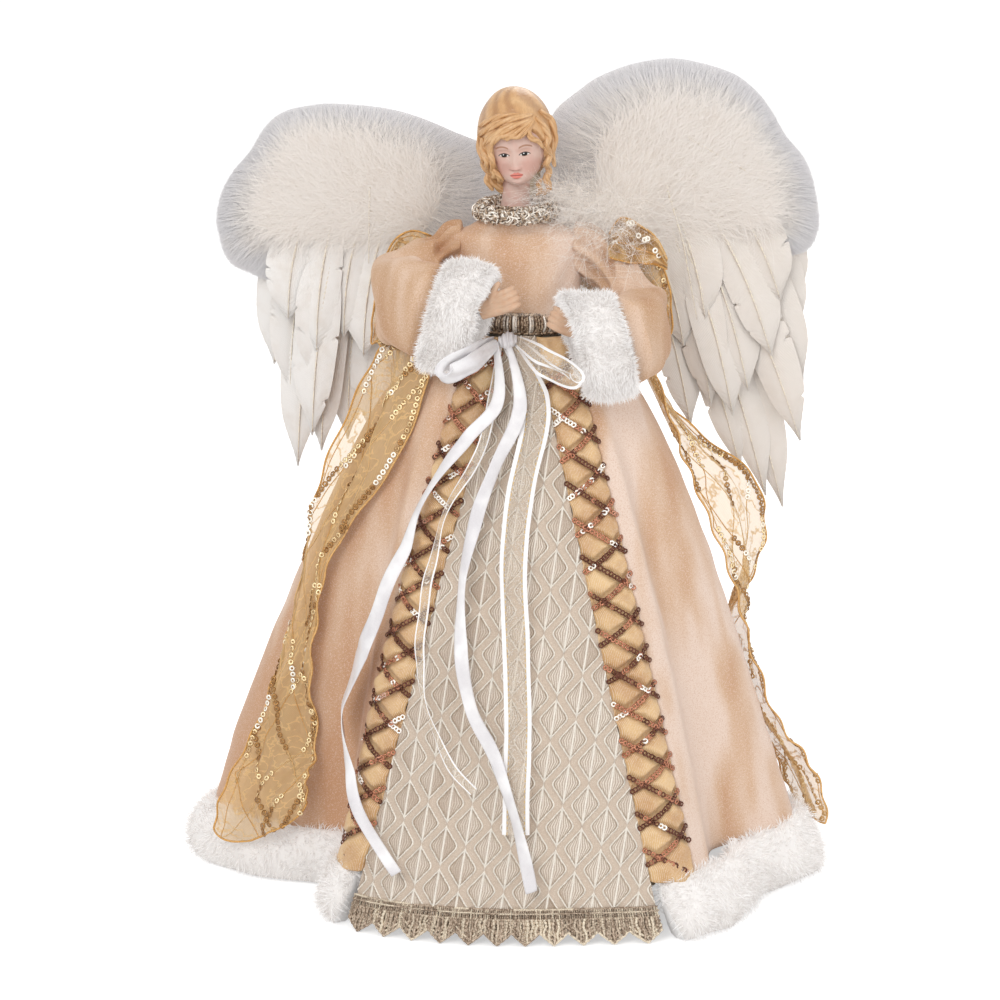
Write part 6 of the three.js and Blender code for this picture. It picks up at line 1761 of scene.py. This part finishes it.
class ANGEL_OT_scarf(Piece, bpy.types.Operator):
    """Gold organza scarf over both arms, with rows of sequins"""
    bl_idname, bl_label = "angel.scarf", "Organza scarf"

    def execute(self, context):
        kit = context.scene.angel_trims
        base = scarf_place()

        def crinkle(u, v):
            deep = rise(np.minimum(u, 1 - u), -0.05, 0.3)
            chart = np.stack([u * 0.045, v * 0.32, 0 * u], axis=-1)
            pleats = np.sin(u * 21 + 4 * np.sin(v * 31) + 2 * np.sin(v * 73)) * 0.0011
            hem = 0.0012 * np.sin(v * 260 + 2 * np.sin(v * 40)) * rise(np.abs(u - 0.5), 0.36, 0.5)
            return pleats * deep + ripples(chart, 0.011, 130) * 0.0009 + hem

        def place(u, v):
            spot = base(u, v) + facing(base, u, v, 0.004) * crinkle(u, v)[..., None]
            foot = rise(0.085 - v, 0.0, 0.085)
            lift = mix(-0.004, 0.019, u) + 0.010 * np.abs(2 * u - 1) ** 4
            return spot + np.stack([0 * u, 0 * u, foot * lift], axis=-1)
        scarf = cloth_mesh("organza_scarf", 46, 540, place, size=(0.045, 0.8))
        settle(scarf, self.organza(kit), "organza", "scarf")
        area = mesh_area(scarf)
        path = np.linspace(0, 1, EDGE_STATIONS)
        edges = [place(np.full(EDGE_STATIONS, edge), path) for edge in (0.0, 1.0)]
        roll = tubes("scarf_edges", edges, np.full((2, EDGE_STATIONS), SCARF_EDGE), 6, [0.3, 0.6])
        share = np.linspace(0, 1, CUT_STATIONS)
        cuts = [place(share, np.full(CUT_STATIONS, end)) for end in (0.0, 1.0)]
        ends = tubes("scarf_ends", cuts, np.full((2, CUT_STATIONS), SCARF_EDGE), 6, [0.3, 0.6])
        thread = yarn_finish("Scarf edge", kit.edge, kit.organza_deep, kit.organza, 0.25, 0.4)
        settle(roll, thread, "organza")
        settle(ends, thread, "organza")
        self.sew(kit, place)
        self.fold(kit)
        return {"FINISHED"}

    def fold(self, kit):
        """The bunched cloth that comes forward over the crook of the right sleeve."""
        sleeve = bpy.data.objects["right_velvet_sleeve"]
        outline = np.array([[0.045, 0.311, 0.320], [0.050, 0.309, 0.328], [0.056, 0.307, 0.327],
                            [0.062, 0.306, 0.323],
                            [0.068, 0.305, 0.318], [0.073, 0.303, 0.308]])  # across, foot and top

        def place(u, v):
            x, low, high = along(outline, u * 5).transpose(-1, *range(np.ndim(u)))
            z = mix(low, high, v)
            y = []
            for spot in zip(x.ravel(), z.ravel()):
                hit, found, _, _ = sleeve.ray_cast((spot[0], -0.2, spot[1]), (0, 1, 0))
                y.append(found.y if hit else 0.004)
            y = np.clip(np.array(y).reshape(x.shape), -0.2, 0.004)
            pleats = np.sin(v * 19 + 3 * np.sin(u * 5)) * 0.0012 + np.sin(u * 23 + v * 9) * 0.0008
            return np.stack([x, y - 0.0024 - pleats, z], axis=-1)
        cloth = cloth_mesh("scarf_fold", 48, 30, place, size=(0.03, 0.02))
        soft = cloth.modifiers.new("Soft", "SMOOTH")
        soft.factor, soft.iterations = 0.5, 4
        thicken(baked(cloth), 0.0006)
        # Here the sequins' dark gold is a painted shade and their light gold a painted sheen.
        finish = satin_finish("Bunched organza", kit.organza, kit.gold, kit.gold_light, 0.3, 7800.0)
        settle(cloth, finish, "organza")
        spots = read_points(cloth.data).reshape(31, 49, 3)
        at = np.array([[6, 12], [11, 20], [17, 27], [19, 28], [24, 21], [29, 21], [31, 23], [37, 16],
                       [40, 13]])
        sewn = spots[at[:, 1], at[:, 0]]
        rings = scatter("scarf_fold_sequins", ring_unit(12, 0.42, 0.16), sewn - (0, 0.0012, 0),
                        np.tile((0.1, -1.0, 0.2), (len(at), 1)), np.full(len(at), kit.scarf_sequin / 2),
                        np.full(len(at), 0.95), 0.2, 155)
        settle(rings, bpy.data.objects["scarf_sequins"].data.materials[0], "sequins")
        rims = tubes("scarf_fold_edges", [spots[0], spots[30], spots[11]], np.full((3, 49), 0.0005), 6,
                     [0.3, 0.6, 0.5])
        settle(rims, bpy.data.materials["Scarf edge"], "organza")

    def organza(self, kit):
        look = Finish("Organza", Roughness=0.38, Specular_IOR_Level=0.5, Sheen_Weight=0.2)
        across, down = look.parts(look.chart())
        weave = (across * 7800.0).sine() * (down * 7800.0).sine() * 0.5 + 0.5
        veins = look.grain(look.chart(), 110.0, 3.0)
        crease = (veins - 0.5).size().between(0.035, 0.0)
        # Painted shade along the crinkles and in cloudy patches.
        tone = look.blend(crease * 0.3 + veins.between(0.5, 0.8) * 0.3, kit.organza, kit.organza_deep)
        tone = look.blend(weave * 0.25, tone, kit.thread)
        alpha = (weave * 0.2 + crease * 0.35 + 0.46).least(1.0)
        return look.wear(colour=tone, alpha=alpha, normal=look.bumps(veins * 2.0 + weave * 0.1, 0.0006, 0.8))

    def sew(self, kit, place):
        """Gold threads that wander along the scarf, with runs of sequins on them."""
        dice = np.random.default_rng(150)
        path = np.linspace(0, 1, THREAD_STATIONS)
        threads, us, vs, shares = [], [], [], []
        for line in range(THREAD_COUNT):
            wander = 0.5 + 0.46 * (2 / math.pi) * np.arcsin(np.sin(path * (26 + 3 * (line % 3)) + line * 2.4))
            if line > 4:
                wander = 0.07 + 0.86 * (line - 5) + 0.02 * np.sin(path * 60)
            spots = place(wander, path)
            threads.append(spots)
            run = np.concatenate([[0], np.cumsum(np.linalg.norm(np.diff(spots, axis=0), axis=-1))])
            at = np.arange(0.001, run[-1], kit.scarf_sequin * 1.1)
            sewn = np.repeat(dice.random(len(at) // 9 + 1) < 0.55, 9)[:len(at)]
            tone = np.repeat(dice.random(len(at) // 6 + 1), 6)[:len(at)]
            at, tone = at[sewn], tone[sewn]
            us.append(np.interp(at, run, wander))
            vs.append(np.interp(at, run, path))
            shares.append(tone)
        u, v = np.concatenate(us), np.concatenate(vs)
        normals = facing(place, u, v, 0.003)
        out = (normals * (place(u, v) - np.array((0, 0, 0.2)))).sum(-1)
        normals = normals * np.where(out < 0, -1.0, 1.0)[:, None]
        shares = np.clip(np.concatenate(shares) + dice.normal(scale=0.06, size=len(u)), 0, 1)
        rings = scatter("scarf_sequins", ring_unit(8, 0.42, 0.16), place(u, v) + normals * 0.0006, normals,
                        np.full(len(u), kit.scarf_sequin / 2), shares, 0.2, 152)
        settle(rings, sequin_finish(kit.gold, kit.gold_light, GLINT_SEQUIN), "sequins")
        thick = np.full((THREAD_COUNT, THREAD_STATIONS), THREAD_RADIUS)
        cords = tubes("scarf_threads", threads, thick, 3, dice.random(THREAD_COUNT))
        settle(cords, bpy.data.materials["Scarf edge"], "organza")


# Wings

class AngelWings(bpy.types.PropertyGroup):
    vane: colour("Vane", "Flight feathers", 245, 241, 237)
    vane_deep: colour("Vane shade", "Flight feathers near the root", 224, 213, 202)
    quill: colour("Quill", "Quills of the feathers", 244, 234, 214)
    fluff: colour("Fluff", "Soft inner down of the wings", 233, 228, 223)
    fluff_deep: colour("Fluff shade", "Down near its root", 229, 221, 213)
    halo: colour("Halo", "Fine outer barbs of the wings", 231, 229, 230)
    haze: colour("Halo film", "The finest outer down", 226, 224, 226)
    fluff_count: count("Inner barbs", "Barbs in the soft middle of each wing", 14500)
    halo_count: count("Outer barbs", "Fine barbs round the rim of each wing", 17500)


WINGS = {
    -1: dict(span=0.151, rise=0.065, drop=0.118, name="left", loose=[[0.45, 0.4, 0.455, -0.1]],
             down=[[0.05, 0.63], [0.2, 0.82], [0.38, 0.96], [0.57, 1], [0.68, 0.98], [0.77, 0.92],
                   [0.83, 0.8],
                   [0.88, 0.62], [0.94, 0.46], [0.985, 0.27], [1, 0.07], [0.985, -0.06], [0.95, -0.14],
                   [0.885, -0.18],
                   [0.81, -0.21], [0.65, -0.24], [0.48, -0.27], [0.3, -0.25], [0.14, -0.14], [0.05, 0.15]],
             flight=[[0.72, 0.3, 0.81, -0.57], [0.66, 0.22, 0.75, -0.68], [0.62, 0.02, 0.725, -1],
                     [0.55, 0, 0.635, -0.92], [0.48, 0, 0.56, -0.88], [0.41, -0.03, 0.475, -0.84],
                     [0.35, -0.05, 0.4, -0.78]],
             coverts=[[0.66, 0.25, 0.74, -0.36], [0.56, 0.1, 0.66, -0.85], [0.55, 0.2, 0.64, -0.64],
                      [0.56, 0.3, 0.64, -0.49], [0.47, 0.25, 0.55, -0.42], [0.4, 0.15, 0.48, -0.5],
                      [0.32, 0.1, 0.37, -0.56]]),
    1: dict(span=0.146, rise=0.088, drop=0.138, name="right",
            loose=[[0.53, 0.58, 0.76, 0.36], [0.46, 0.32, 0.57, -0.28]],
            down=[[0.07, 0.64], [0.19, 0.85], [0.29, 0.94], [0.4, 0.99], [0.52, 1], [0.68, 0.93],
                  [0.77, 0.83],
                  [0.83, 0.71], [0.88, 0.57], [0.945, 0.44], [0.98, 0.3], [1, 0.12], [0.995, 0.01],
                  [0.965, -0.05],
                  [0.89, -0.08], [0.72, -0.15], [0.5, -0.2], [0.3, -0.22], [0.14, -0.12], [0.05, 0.15]],
            flight=[[0.73, 0.42, 0.93, -0.25], [0.71, 0.33, 0.93, -0.36], [0.66, 0.2, 0.95, -0.535],
                    [0.63, 0.05, 0.94, -0.74], [0.58, 0, 0.895, -1], [0.53, 0, 0.83, -0.95],
                    [0.46, 0, 0.74, -0.85],
                    [0.38, 0, 0.56, -0.675]],
            coverts=[[0.66, 0.3, 0.86, -0.22], [0.6, 0.2, 0.83, -0.42], [0.55, 0.15, 0.755, -0.55],
                     [0.5, 0.1, 0.7, -0.635], [0.46, 0.2, 0.625, -0.6], [0.46, 0.3, 0.6, -0.28],
                     [0.38, 0.15, 0.53, -0.38]]),
}
FEATHER_PITCH = 0.0012 + 0.0009 + CLEARANCE
FEATHER_WIDTH, COVERT_WIDTH = 0.023, 0.025
QUILL_STATIONS, QUILL_REACH = 24, 0.98  # places along a quill, and the share of the feather it runs along
PILLOW_SHARE = 0.6  # the inner down's share of the outline
PILLOW_FRONT = 0.0045  # how far its middle stands before the card
PAD_SIZE, PAD_DEPTH = (0.0155, 0.0195, 0.0255), 0.0268
WISP_COUNT = 3800


def wing_spot(side, x, z, front):
    """A place on a wing: x out along the span, z above the root, front before the card, in metres."""
    sweep = math.radians(WING_SWEEP)
    return np.stack([side * (WING_GAP + x * math.cos(sweep) + front * math.sin(sweep)),
                     WING_ROOT_DEPTH + x * math.sin(sweep) - front * math.cos(sweep) + 0 * z,
                     WING_ROOT_HEIGHT + z + 0 * x], axis=-1)


def flat_wing(wing, shares):
    """Shares of the span and of the rise or drop as lengths."""
    shares = np.asarray(shares, float)
    z = shares[..., 1]
    return np.stack([shares[..., 0] * wing["span"], z * np.where(z > 0, wing["rise"], wing["drop"])], axis=-1)


def feather_place(side, wing, shares, width, front, seed):
    """A feather: u across its vane, v from root to tip, with a few splits in its edges."""
    root, tip = flat_wing(wing, [shares[:2], shares[2:]])
    way = unit(tip - root)
    square = np.array((-way[1], way[0]))
    dice = np.random.default_rng(seed)
    splits = [(dice.uniform(0.35, 0.9), dice.choice((-1, 1)), dice.uniform(0.12, 0.35)) for _ in range(3)]
    twist = dice.uniform(-0.25, 0.25)
    long = float(np.linalg.norm(tip - root))

    def place(u, v):
        side_share = u * 2 - 1
        half = along([[0.05], [0.55], [0.95], [1.0], [0.78], [0.04]], v * 5)[..., 0] * width / 2
        half = half * np.where(side_share < 0, 0.82, 1.1)
        for at, which, deep in splits:
            slant = at - np.abs(side_share) * half / long * 0.5
            half = half * (1 - deep * bell((v - slant) / 0.006) * (np.sign(side_share) == which)
                           * rise(np.abs(side_share), 0.5, 1.0))
        bow = width * 0.12 * np.sin(math.pi * v)
        flat = root + way * (v * long)[..., None] + square * (side_share * half + bow)[..., None]
        lift = front + 0.0011 + 0.0017 * (1 - side_share**2) * np.sin(math.pi * np.clip(v, 0, 1)) ** 0.5
        lift = lift + twist * side_share * half + 0.0045 * (v - 0.35) ** 2 * (1 if seed % 2 else 0.4)
        lift = lift + 0.00022 * np.sin((v * long + np.abs(side_share) * half * 0.9) * 2600)
        return wing_spot(side, flat[..., 0], flat[..., 1], lift)
    return place, long


class ANGEL_OT_feathers(Piece, bpy.types.Operator):
    """Flight feathers and coverts with quills"""
    bl_idname, bl_label = "angel.feathers", "Feathers"

    def execute(self, context):
        kit = context.scene.angel_wings
        vane, quill = self.vane(kit), yarn_finish("Quill", kit.quill, kit.vane_deep, kit.vane, 0.0, 0.35)
        for side, wing in WINGS.items():
            quills, thick = [], []
            path = np.linspace(0.0, QUILL_REACH, QUILL_STATIONS)
            for i, shares in enumerate(wing["flight"]):
                front = CLEARANCE + (i % 4) * FEATHER_PITCH
                seed = 200 + 20 * (side + 1) + i
                place, long = feather_place(side, wing, shares, FEATHER_WIDTH, front, seed)
                name = "{}_flight_feather_{}".format(wing["name"], i + 1)
                feather = cloth_mesh(name + "_vane", 16, 110, place, size=(FEATHER_WIDTH, long))
                settle(feather, vane, "feather", name)
                quills.append(place(np.full(QUILL_STATIONS, 0.5), path) + (0, -0.0004, 0))
                thick.append(mix(0.00085, 0.0002, path))
            parts = []
            front = CLEARANCE + 4 * FEATHER_PITCH
            for i, shares in enumerate(wing["coverts"]):
                seed = 300 + 20 * (side + 1) + i
                step = front + (i % 2) * 0.00108 + i * 0.0002
                place, long = feather_place(side, wing, shares, COVERT_WIDTH, step, seed)
                parts.append(cloth_mesh("covert", 16, 96, place, size=(COVERT_WIDTH, long)))
                quills.append(place(np.full(QUILL_STATIONS, 0.5), path) + (0, -0.0004, 0))
                thick.append(mix(0.0008, 0.0002, path))
            for x0, z0, x1, z1 in wing["loose"]:
                along_quill = path[:, None] / QUILL_REACH
                flat = flat_wing(wing, mix(np.array([[x0, z0]]), np.array([[x1, z1]]), along_quill))
                quills.append(wing_spot(side, flat[:, 0], flat[:, 1], 0.0172 + 0 * path))
                thick.append(mix(0.0007, 0.0002, path))
            name = wing["name"] + "_covert_vanes"
            mesh = gathered(parts, name)
            mesh.shade_smooth()
            settle(add_object(name, mesh), vane, "feather", wing["name"] + "_coverts")
            settle(tubes(wing["name"] + "_quills", quills, thick, 6), quill, "feather")
        return {"FINISHED"}

    def vane(self, kit):
        look = Finish("Feather vane", Roughness=0.62, Sheen_Weight=0.2, Specular_IOR_Level=0.3)
        across, down = look.parts(look.chart())
        off = (across - 0.0118).size()
        barbs = ((down + off * 0.9) * 7000.0).sine() * 0.5 + 0.5
        band = look.grain(look.chart(), 90.0, 3.0)
        tone = look.blend(band.between(0.4, 0.75) * 0.4, kit.vane, kit.vane_deep)
        tone = look.blend(off.between(0.004, 0.0) * 0.25, tone, kit.vane_deep)
        # Painted shade: feathers of the right wing darker from 2 cm outwards, fully at 10 cm from the middle.
        aside, _ = look.parts(look.place())
        tone = look.blend(aside.between(0.02, 0.10) * 0.6, tone, kit.vane_deep)
        tone = look.blend(barbs * 0.12, tone, kit.vane_deep)
        return look.wear(colour=tone, normal=look.bumps(barbs + band * 0.6, 0.00018, 0.7))


class ANGEL_OT_down(Piece, bpy.types.Operator):
    """Soft down in the middle of each wing and fine barbs round its rim"""
    bl_idname, bl_label = "angel.down", "Wing down"

    def execute(self, context):
        kit = context.scene.angel_wings
        fluff = fur_finish("Wing fluff", kit.fluff_deep, kit.fluff, 0.8, 0.13)
        halo = fur_finish("Wing rim", kit.fluff, kit.halo, 0.8, 0.03)
        pad = self.pad()
        settle(pad, bpy.data.materials["Foam"], "foam", "wing_pad")
        for side, wing in WINGS.items():
            self.pillow(side, wing, fluff)
            self.inner(kit, side, wing, fluff)
            self.rim(kit, side, wing, halo)
            self.haze(kit, side, wing)
        self.wisps(fluff)
        return {"FINISHED"}

    def pad(self):
        bm = bmesh.new()
        bm.loops.layers.uv.new("UVMap")
        bmesh.ops.create_cube(bm, size=1)
        bmesh.ops.scale(bm, verts=bm.verts, vec=PAD_SIZE)
        bmesh.ops.bevel(bm, geom=bm.edges[:], offset=0.0035, offset_type="OFFSET", segments=4, profile=0.5,
                        affect="EDGES", material=-1)
        bmesh.ops.translate(bm, verts=bm.verts, vec=(0, PAD_DEPTH, WING_ROOT_HEIGHT))
        mesh = mesh_from(bm, "shoulder_pad")
        mesh.shade_smooth()
        return add_object("shoulder_pad", mesh)

    def outline(self, wing, share, scale=1.0):
        """A place on the closed outline of the down, shrunk towards its middle."""
        ring = np.array(wing["down"] + wing["down"][:3])
        spot = along(ring, 1 + np.mod(share, 1) * (len(ring) - 3))
        middle = np.array((0.5, 0.35))
        return flat_wing(wing, middle + (spot - middle) * np.asarray(scale)[..., None])

    def raised(self, wing, flat):
        """Places of the inner down, drawn up from where the flight feathers lie bare."""
        low = np.clip(-0.004 - flat[..., 1], 0, 1)
        bare = rise(flat[..., 0] / wing["span"], 1.0, 0.7)
        return np.stack([flat[..., 0], flat[..., 1] + low * 0.75 * bare], axis=-1)

    def pillow(self, side, wing, finish):
        def place(u, v):
            lean = math.pi * (v - 0.5)
            scale = PILLOW_SHARE * np.cos(lean)
            flat = self.raised(wing, self.outline(wing, u, scale))
            bulge = ripples(np.stack([flat[..., 0], flat[..., 1], v * 0.02], axis=-1), 0.016, 160) * 0.0014
            return wing_spot(side, flat[..., 0], flat[..., 1], PILLOW_FRONT + (0.0098 + bulge) * np.sin(lean))
        pillow = cloth_mesh(wing["name"] + "_down_pillow", 90, 40, place, wrap=True)
        settle(pillow, finish, "down", wing["name"] + "_wing_down")

    def inner(self, kit, side, wing, finish):
        dice = np.random.default_rng(170 + side)
        many = kit.fluff_count
        turn, scale = dice.random(many), np.sqrt(dice.random(many)) * PILLOW_SHARE
        back = dice.random(many) < 0.3
        flat = self.raised(wing, self.outline(wing, turn, scale))
        stand = 0.0105 * np.sqrt(np.clip(1 - scale**2, 0, 1))
        front = np.where(back, PILLOW_FRONT - stand, PILLOW_FRONT + stand)
        centre = flat_wing(wing, [0.22, 0.1])
        way = unit(flat - centre)
        down_pull = np.clip(-flat[:, 1] / 0.02, -0.2, 1.0) * 0.3
        pull = np.stack([0 * down_pull, -down_pull], axis=-1)
        way = unit(way + pull + dice.normal(scale=0.5, size=(many, 2)))
        reach = dice.uniform(0.007, 0.021, many)
        s = np.linspace(0, 1, 5)
        curl = dice.normal(scale=0.8, size=(many, 1))
        square = np.stack([-way[:, 1], way[:, 0]], axis=-1)
        bend = square[:, None] * (curl * s**2)[..., None] * 0.5
        run = flat[:, None] + (way[:, None] * s[None, :, None] + bend) * reach[:, None, None]
        swell = 0.0055 * np.sin(s * 2.2)[None] * dice.uniform(0.3, 1.0, (many, 1))
        lift = front[:, None] + np.where(back, -1, 1)[:, None] * swell
        spines = wing_spot(side, run[..., 0], run[..., 1], lift)
        across = unit(np.cross(np.gradient(spines, axis=1), (0.0, 1.0, 0.15)))
        widths = 0.00017 * (1 - 0.8 * s[None] ** 2) * dice.uniform(0.6, 1.3, (many, 1))
        barbs = blades(wing["name"] + "_down_barbs", spines, widths, across, dice.random(many))
        settle(barbs, finish, "down")

    def haze(self, kit, side, wing):
        """The finest outer down, too thin to tell apart, as one soft film."""
        def place(u, v):
            lean = math.pi * (v - 0.5)
            flat = self.outline(wing, u, 0.992 * np.cos(lean))
            return wing_spot(side, flat[..., 0], flat[..., 1], 0.0030 + 0.0042 * np.sin(lean))
        film = cloth_mesh(wing["name"] + "_down_film", 140, 48, place, wrap=True)
        look = Finish("Down film", Roughness=0.9, Specular_IOR_Level=0.1)
        streak = look.grain(look.chart((90.0, 2.5, 1.0)), 3.0, 3.0)
        tone = look.blend(streak.between(0.35, 0.7), kit.halo, kit.haze)
        look.wear(colour=tone, alpha=streak * 0.2 + 0.6)
        settle(film, look.material, "down")

    def rim(self, kit, side, wing, finish):
        dice = np.random.default_rng(180 + side)
        many = kit.halo_count
        turn = dice.random(many)
        end = self.outline(wing, turn, np.clip(1.0 - np.abs(dice.normal(scale=0.012, size=many)), 0.9, 1))
        start = self.outline(wing, turn + dice.normal(scale=0.006, size=many), dice.uniform(0.45, 0.8, many))
        s = np.linspace(0, 1, 4)
        bow = dice.normal(scale=0.05, size=(many, 1)) + 0.05
        span = end - start
        square = np.stack([-span[:, 1], span[:, 0]], axis=-1)
        bend = square[:, None] * (bow * np.sin(math.pi * s))[..., None]
        run = start[:, None] + span[:, None] * s[None, :, None] + bend
        front = dice.uniform(-0.004, 0.012, (many, 1)) * (1 - s * 0.75) + 0.003
        spines = wing_spot(side, run[..., 0], run[..., 1], front)
        across = unit(np.cross(np.gradient(spines, axis=1), (0.0, 1.0, 0.1)))
        widths = 0.00012 * (1 - 0.5 * s[None]) * dice.uniform(0.6, 1.3, (many, 1))
        barbs = blades(wing["name"] + "_rim_barbs", spines, widths, across, dice.random(many))
        settle(barbs, finish, "down")

    def wisps(self, finish):
        """Down that spills over the right shoulder and beside the head."""
        dice = np.random.default_rng(190)
        many = WISP_COUNT
        x = mix(0.010, 0.066, dice.beta(1.3, 1.6, many))
        z = 0.346 - np.abs(dice.normal(scale=0.018, size=many)) - (x - 0.010) * 0.2
        y = dice.uniform(-0.008, 0.026, many)
        start = np.stack([x, y, z], axis=-1)
        way = unit(np.stack([dice.normal(-0.35, 0.55, many), dice.normal(-1.0, 0.35, many),
                             dice.normal(0.05, 0.5, many)], axis=-1))
        reach = dice.uniform(0.010, 0.026, many)
        s = np.linspace(0, 1, 6)
        side = unit(dice.normal(size=(many, 3)))
        spines = start[:, None] + (way[:, None] * s[None, :, None]
                                   + side[:, None] * (s**2)[None, :, None] * 0.4) * reach[:, None, None]
        across = unit(np.cross(np.gradient(spines, axis=1), side[:, None]))
        widths = 0.00016 * (1 - 0.6 * s[None]) * dice.uniform(0.6, 1.2, (many, 1))
        settle(blades("shoulder_wisps", spines, widths, across, dice.random(many)), finish, "down")


# Hidden parts that keep their CAD shapes

class ANGEL_OT_core(Piece, bpy.types.Operator):
    """Finishes for the cone, disc, torso, wire and wing cards, which keep their own shapes"""
    bl_idname, bl_label = "angel.core", "Card, foam and wire"

    def execute(self, context):
        card = plain_finish("Card", srgb(205, 187, 156), srgb(186, 164, 130), 90.0, 0.0003, Roughness=0.9)
        foam = plain_finish("Foam", srgb(243, 240, 232), srgb(226, 221, 210), 400.0, 0.0006, Roughness=0.95)
        steel = plain_finish("Wire", srgb(176, 176, 178), srgb(140, 140, 142), 300.0, 0.0001, Roughness=0.35,
                             Metallic=1.0)
        for node, finish in (("support_cone", card), ("base_disc", card), ("left_wing_card", card),
                             ("right_wing_card", card), ("torso_form", foam), ("arm_wire", steel)):
            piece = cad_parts[node]
            piece = bpy.data.objects[piece] if isinstance(piece, str) else piece
            piece.data.materials.clear()
            piece.data.materials.append(finish)
        return {"FINISHED"}


# Stage

AIM = Vector((0, 0, 0.2))
CAMERA_TURN, CAMERA_TILT, CAMERA_DISTANCE = 3, 13, 1.5
LENS, LENS_SHIFT = 110.7, (-0.015, -0.022)
LAMPS = (  # name, place, width in metres and power in watts
    ("key", (-0.75, -2.0, 1.7), 1.3, 24.0),
    ("fill", (1.8, -1.3, 0.9), 1.6, 10.0),
    ("rim", (0.4, 1.5, 1.6), 1.2, 10.0),
)


class ANGEL_OT_stage(Piece, bpy.types.Operator):
    """Pale floor, soft lamps and the camera"""
    bl_idname, bl_label = "angel.stage", "Floor, lamps and camera"

    def execute(self, context):
        scene = context.scene
        floor = cloth_mesh("floor", 1, 1, lambda u, v: np.stack([u * 60 - 30, v * 60 - 30, 0 * u], axis=-1))
        look = Finish("Floor", Base_Color=srgb(236, 236, 236), Roughness=0.9, Specular_IOR_Level=0.1,
                      Emission_Strength=1.0)
        rays = look.node("LightPath")
        seen = Value(look, rays.socket.node.outputs["Is Camera Ray"])
        mirrored = Value(look, rays.socket.node.outputs["Is Glossy Ray"])
        passed = Value(look, rays.socket.node.outputs["Is Transmission Ray"])
        white = look.blend((seen + mirrored + passed).least(1.0), (0.0, 0.0, 0.0, 1.0), (0.5, 0.5, 0.5, 1.0))
        look.tree.links.new(white.socket, look.shader.inputs["Emission Color"])
        floor.data.materials.append(look.material)
        self.sky(scene)
        for name, place, width, power in LAMPS:
            lamp = bpy.data.lights.new(name, "AREA")
            lamp.size, lamp.energy = width, power
            stand = bpy.data.objects.new(name, lamp)
            scene.collection.objects.link(stand)
            stand.location = place
            stand.rotation_euler = (AIM - Vector(place)).to_track_quat("-Z", "Y").to_euler()
        self.camera(scene)
        return {"FINISHED"}

    def sky(self, scene):
        world = bpy.data.worlds.new("sky")
        scene.world = world
        world.use_nodes = True
        tree = world.node_tree
        tree.nodes.clear()
        rays = tree.nodes.new("ShaderNodeLightPath")
        seen = None
        for name in ("Is Camera Ray", "Is Glossy Ray", "Is Transmission Ray"):
            if seen is None:
                seen = rays.outputs[name]
                continue
            most = tree.nodes.new("ShaderNodeMath")
            most.operation = "MAXIMUM"
            tree.links.new(seen, most.inputs[0])
            tree.links.new(rays.outputs[name], most.inputs[1])
            seen = most.outputs[0]
        strength = tree.nodes.new("ShaderNodeMapRange")
        strength.inputs["To Min"].default_value = 0.70
        strength.inputs["To Max"].default_value = 1.0
        tree.links.new(seen, strength.inputs["Value"])
        back = tree.nodes.new("ShaderNodeBackground")
        back.inputs["Color"].default_value = (1, 1, 1, 1)
        tree.links.new(strength.outputs[0], back.inputs["Strength"])
        output = tree.nodes.new("ShaderNodeOutputWorld")
        tree.links.new(back.outputs[0], output.inputs["Surface"])

    def camera(self, scene):
        lens = bpy.data.cameras.new("camera")
        lens.sensor_width, lens.lens = 36.0, LENS
        lens.shift_x, lens.shift_y = LENS_SHIFT
        camera = bpy.data.objects.new("camera", lens)
        scene.collection.objects.link(camera)
        turn, tilt = math.radians(CAMERA_TURN), math.radians(CAMERA_TILT)
        back = Vector((math.sin(turn) * math.cos(tilt), -math.cos(turn) * math.cos(tilt), math.sin(tilt)))
        right = Vector((math.cos(turn), math.sin(turn), 0))
        up = back.cross(right)
        camera.matrix_world = Matrix.Translation(AIM + back * CAMERA_DISTANCE) @ Matrix(
            (right, up, back)).transposed().to_4x4()
        scene.camera = camera
        scene.view_settings.view_transform = "Standard"


GROUPS = {"angel_skirt": AngelSkirt, "angel_body": AngelBody, "angel_trims": AngelTrims,
          "angel_wings": AngelWings}
OPERATORS = (ANGEL_OT_stage, ANGEL_OT_core, ANGEL_OT_coat, ANGEL_OT_panel, ANGEL_OT_bands, ANGEL_OT_hem,
             ANGEL_OT_dress, ANGEL_OT_cuffs, ANGEL_OT_braids, ANGEL_OT_hands, ANGEL_OT_head, ANGEL_OT_bow,
             ANGEL_OT_scarf, ANGEL_OT_feathers, ANGEL_OT_down)


class ANGEL_PT_panel(bpy.types.Panel):
    """The figurine's operators and what they read"""
    bl_idname, bl_label = "ANGEL_PT_panel", "Angel figurine"
    bl_space_type, bl_region_type, bl_category = "VIEW_3D", "UI", "Angel"

    def draw(self, context):
        for operator in OPERATORS:
            self.layout.operator(operator.bl_idname)
        for name, group in GROUPS.items():
            box = self.layout.box()
            for setting in group.__annotations__:
                box.prop(getattr(context.scene, name), setting)


def register():
    for group in GROUPS.values():
        bpy.utils.register_class(group)
    for name, group in GROUPS.items():
        setattr(bpy.types.Scene, name, bpy.props.PointerProperty(type=group))
    for operator in (*OPERATORS, ANGEL_PT_panel):
        bpy.utils.register_class(operator)


def unregister():
    for operator in (*OPERATORS, ANGEL_PT_panel):
        bpy.utils.unregister_class(operator)
    for name, group in GROUPS.items():
        delattr(bpy.types.Scene, name)
        bpy.utils.unregister_class(group)


def main():
    register()
    for operator in OPERATORS:
        category, action = operator.bl_idname.split(".")
        getattr(getattr(bpy.ops, category), action)()


if __name__ == "__main__":
    main()
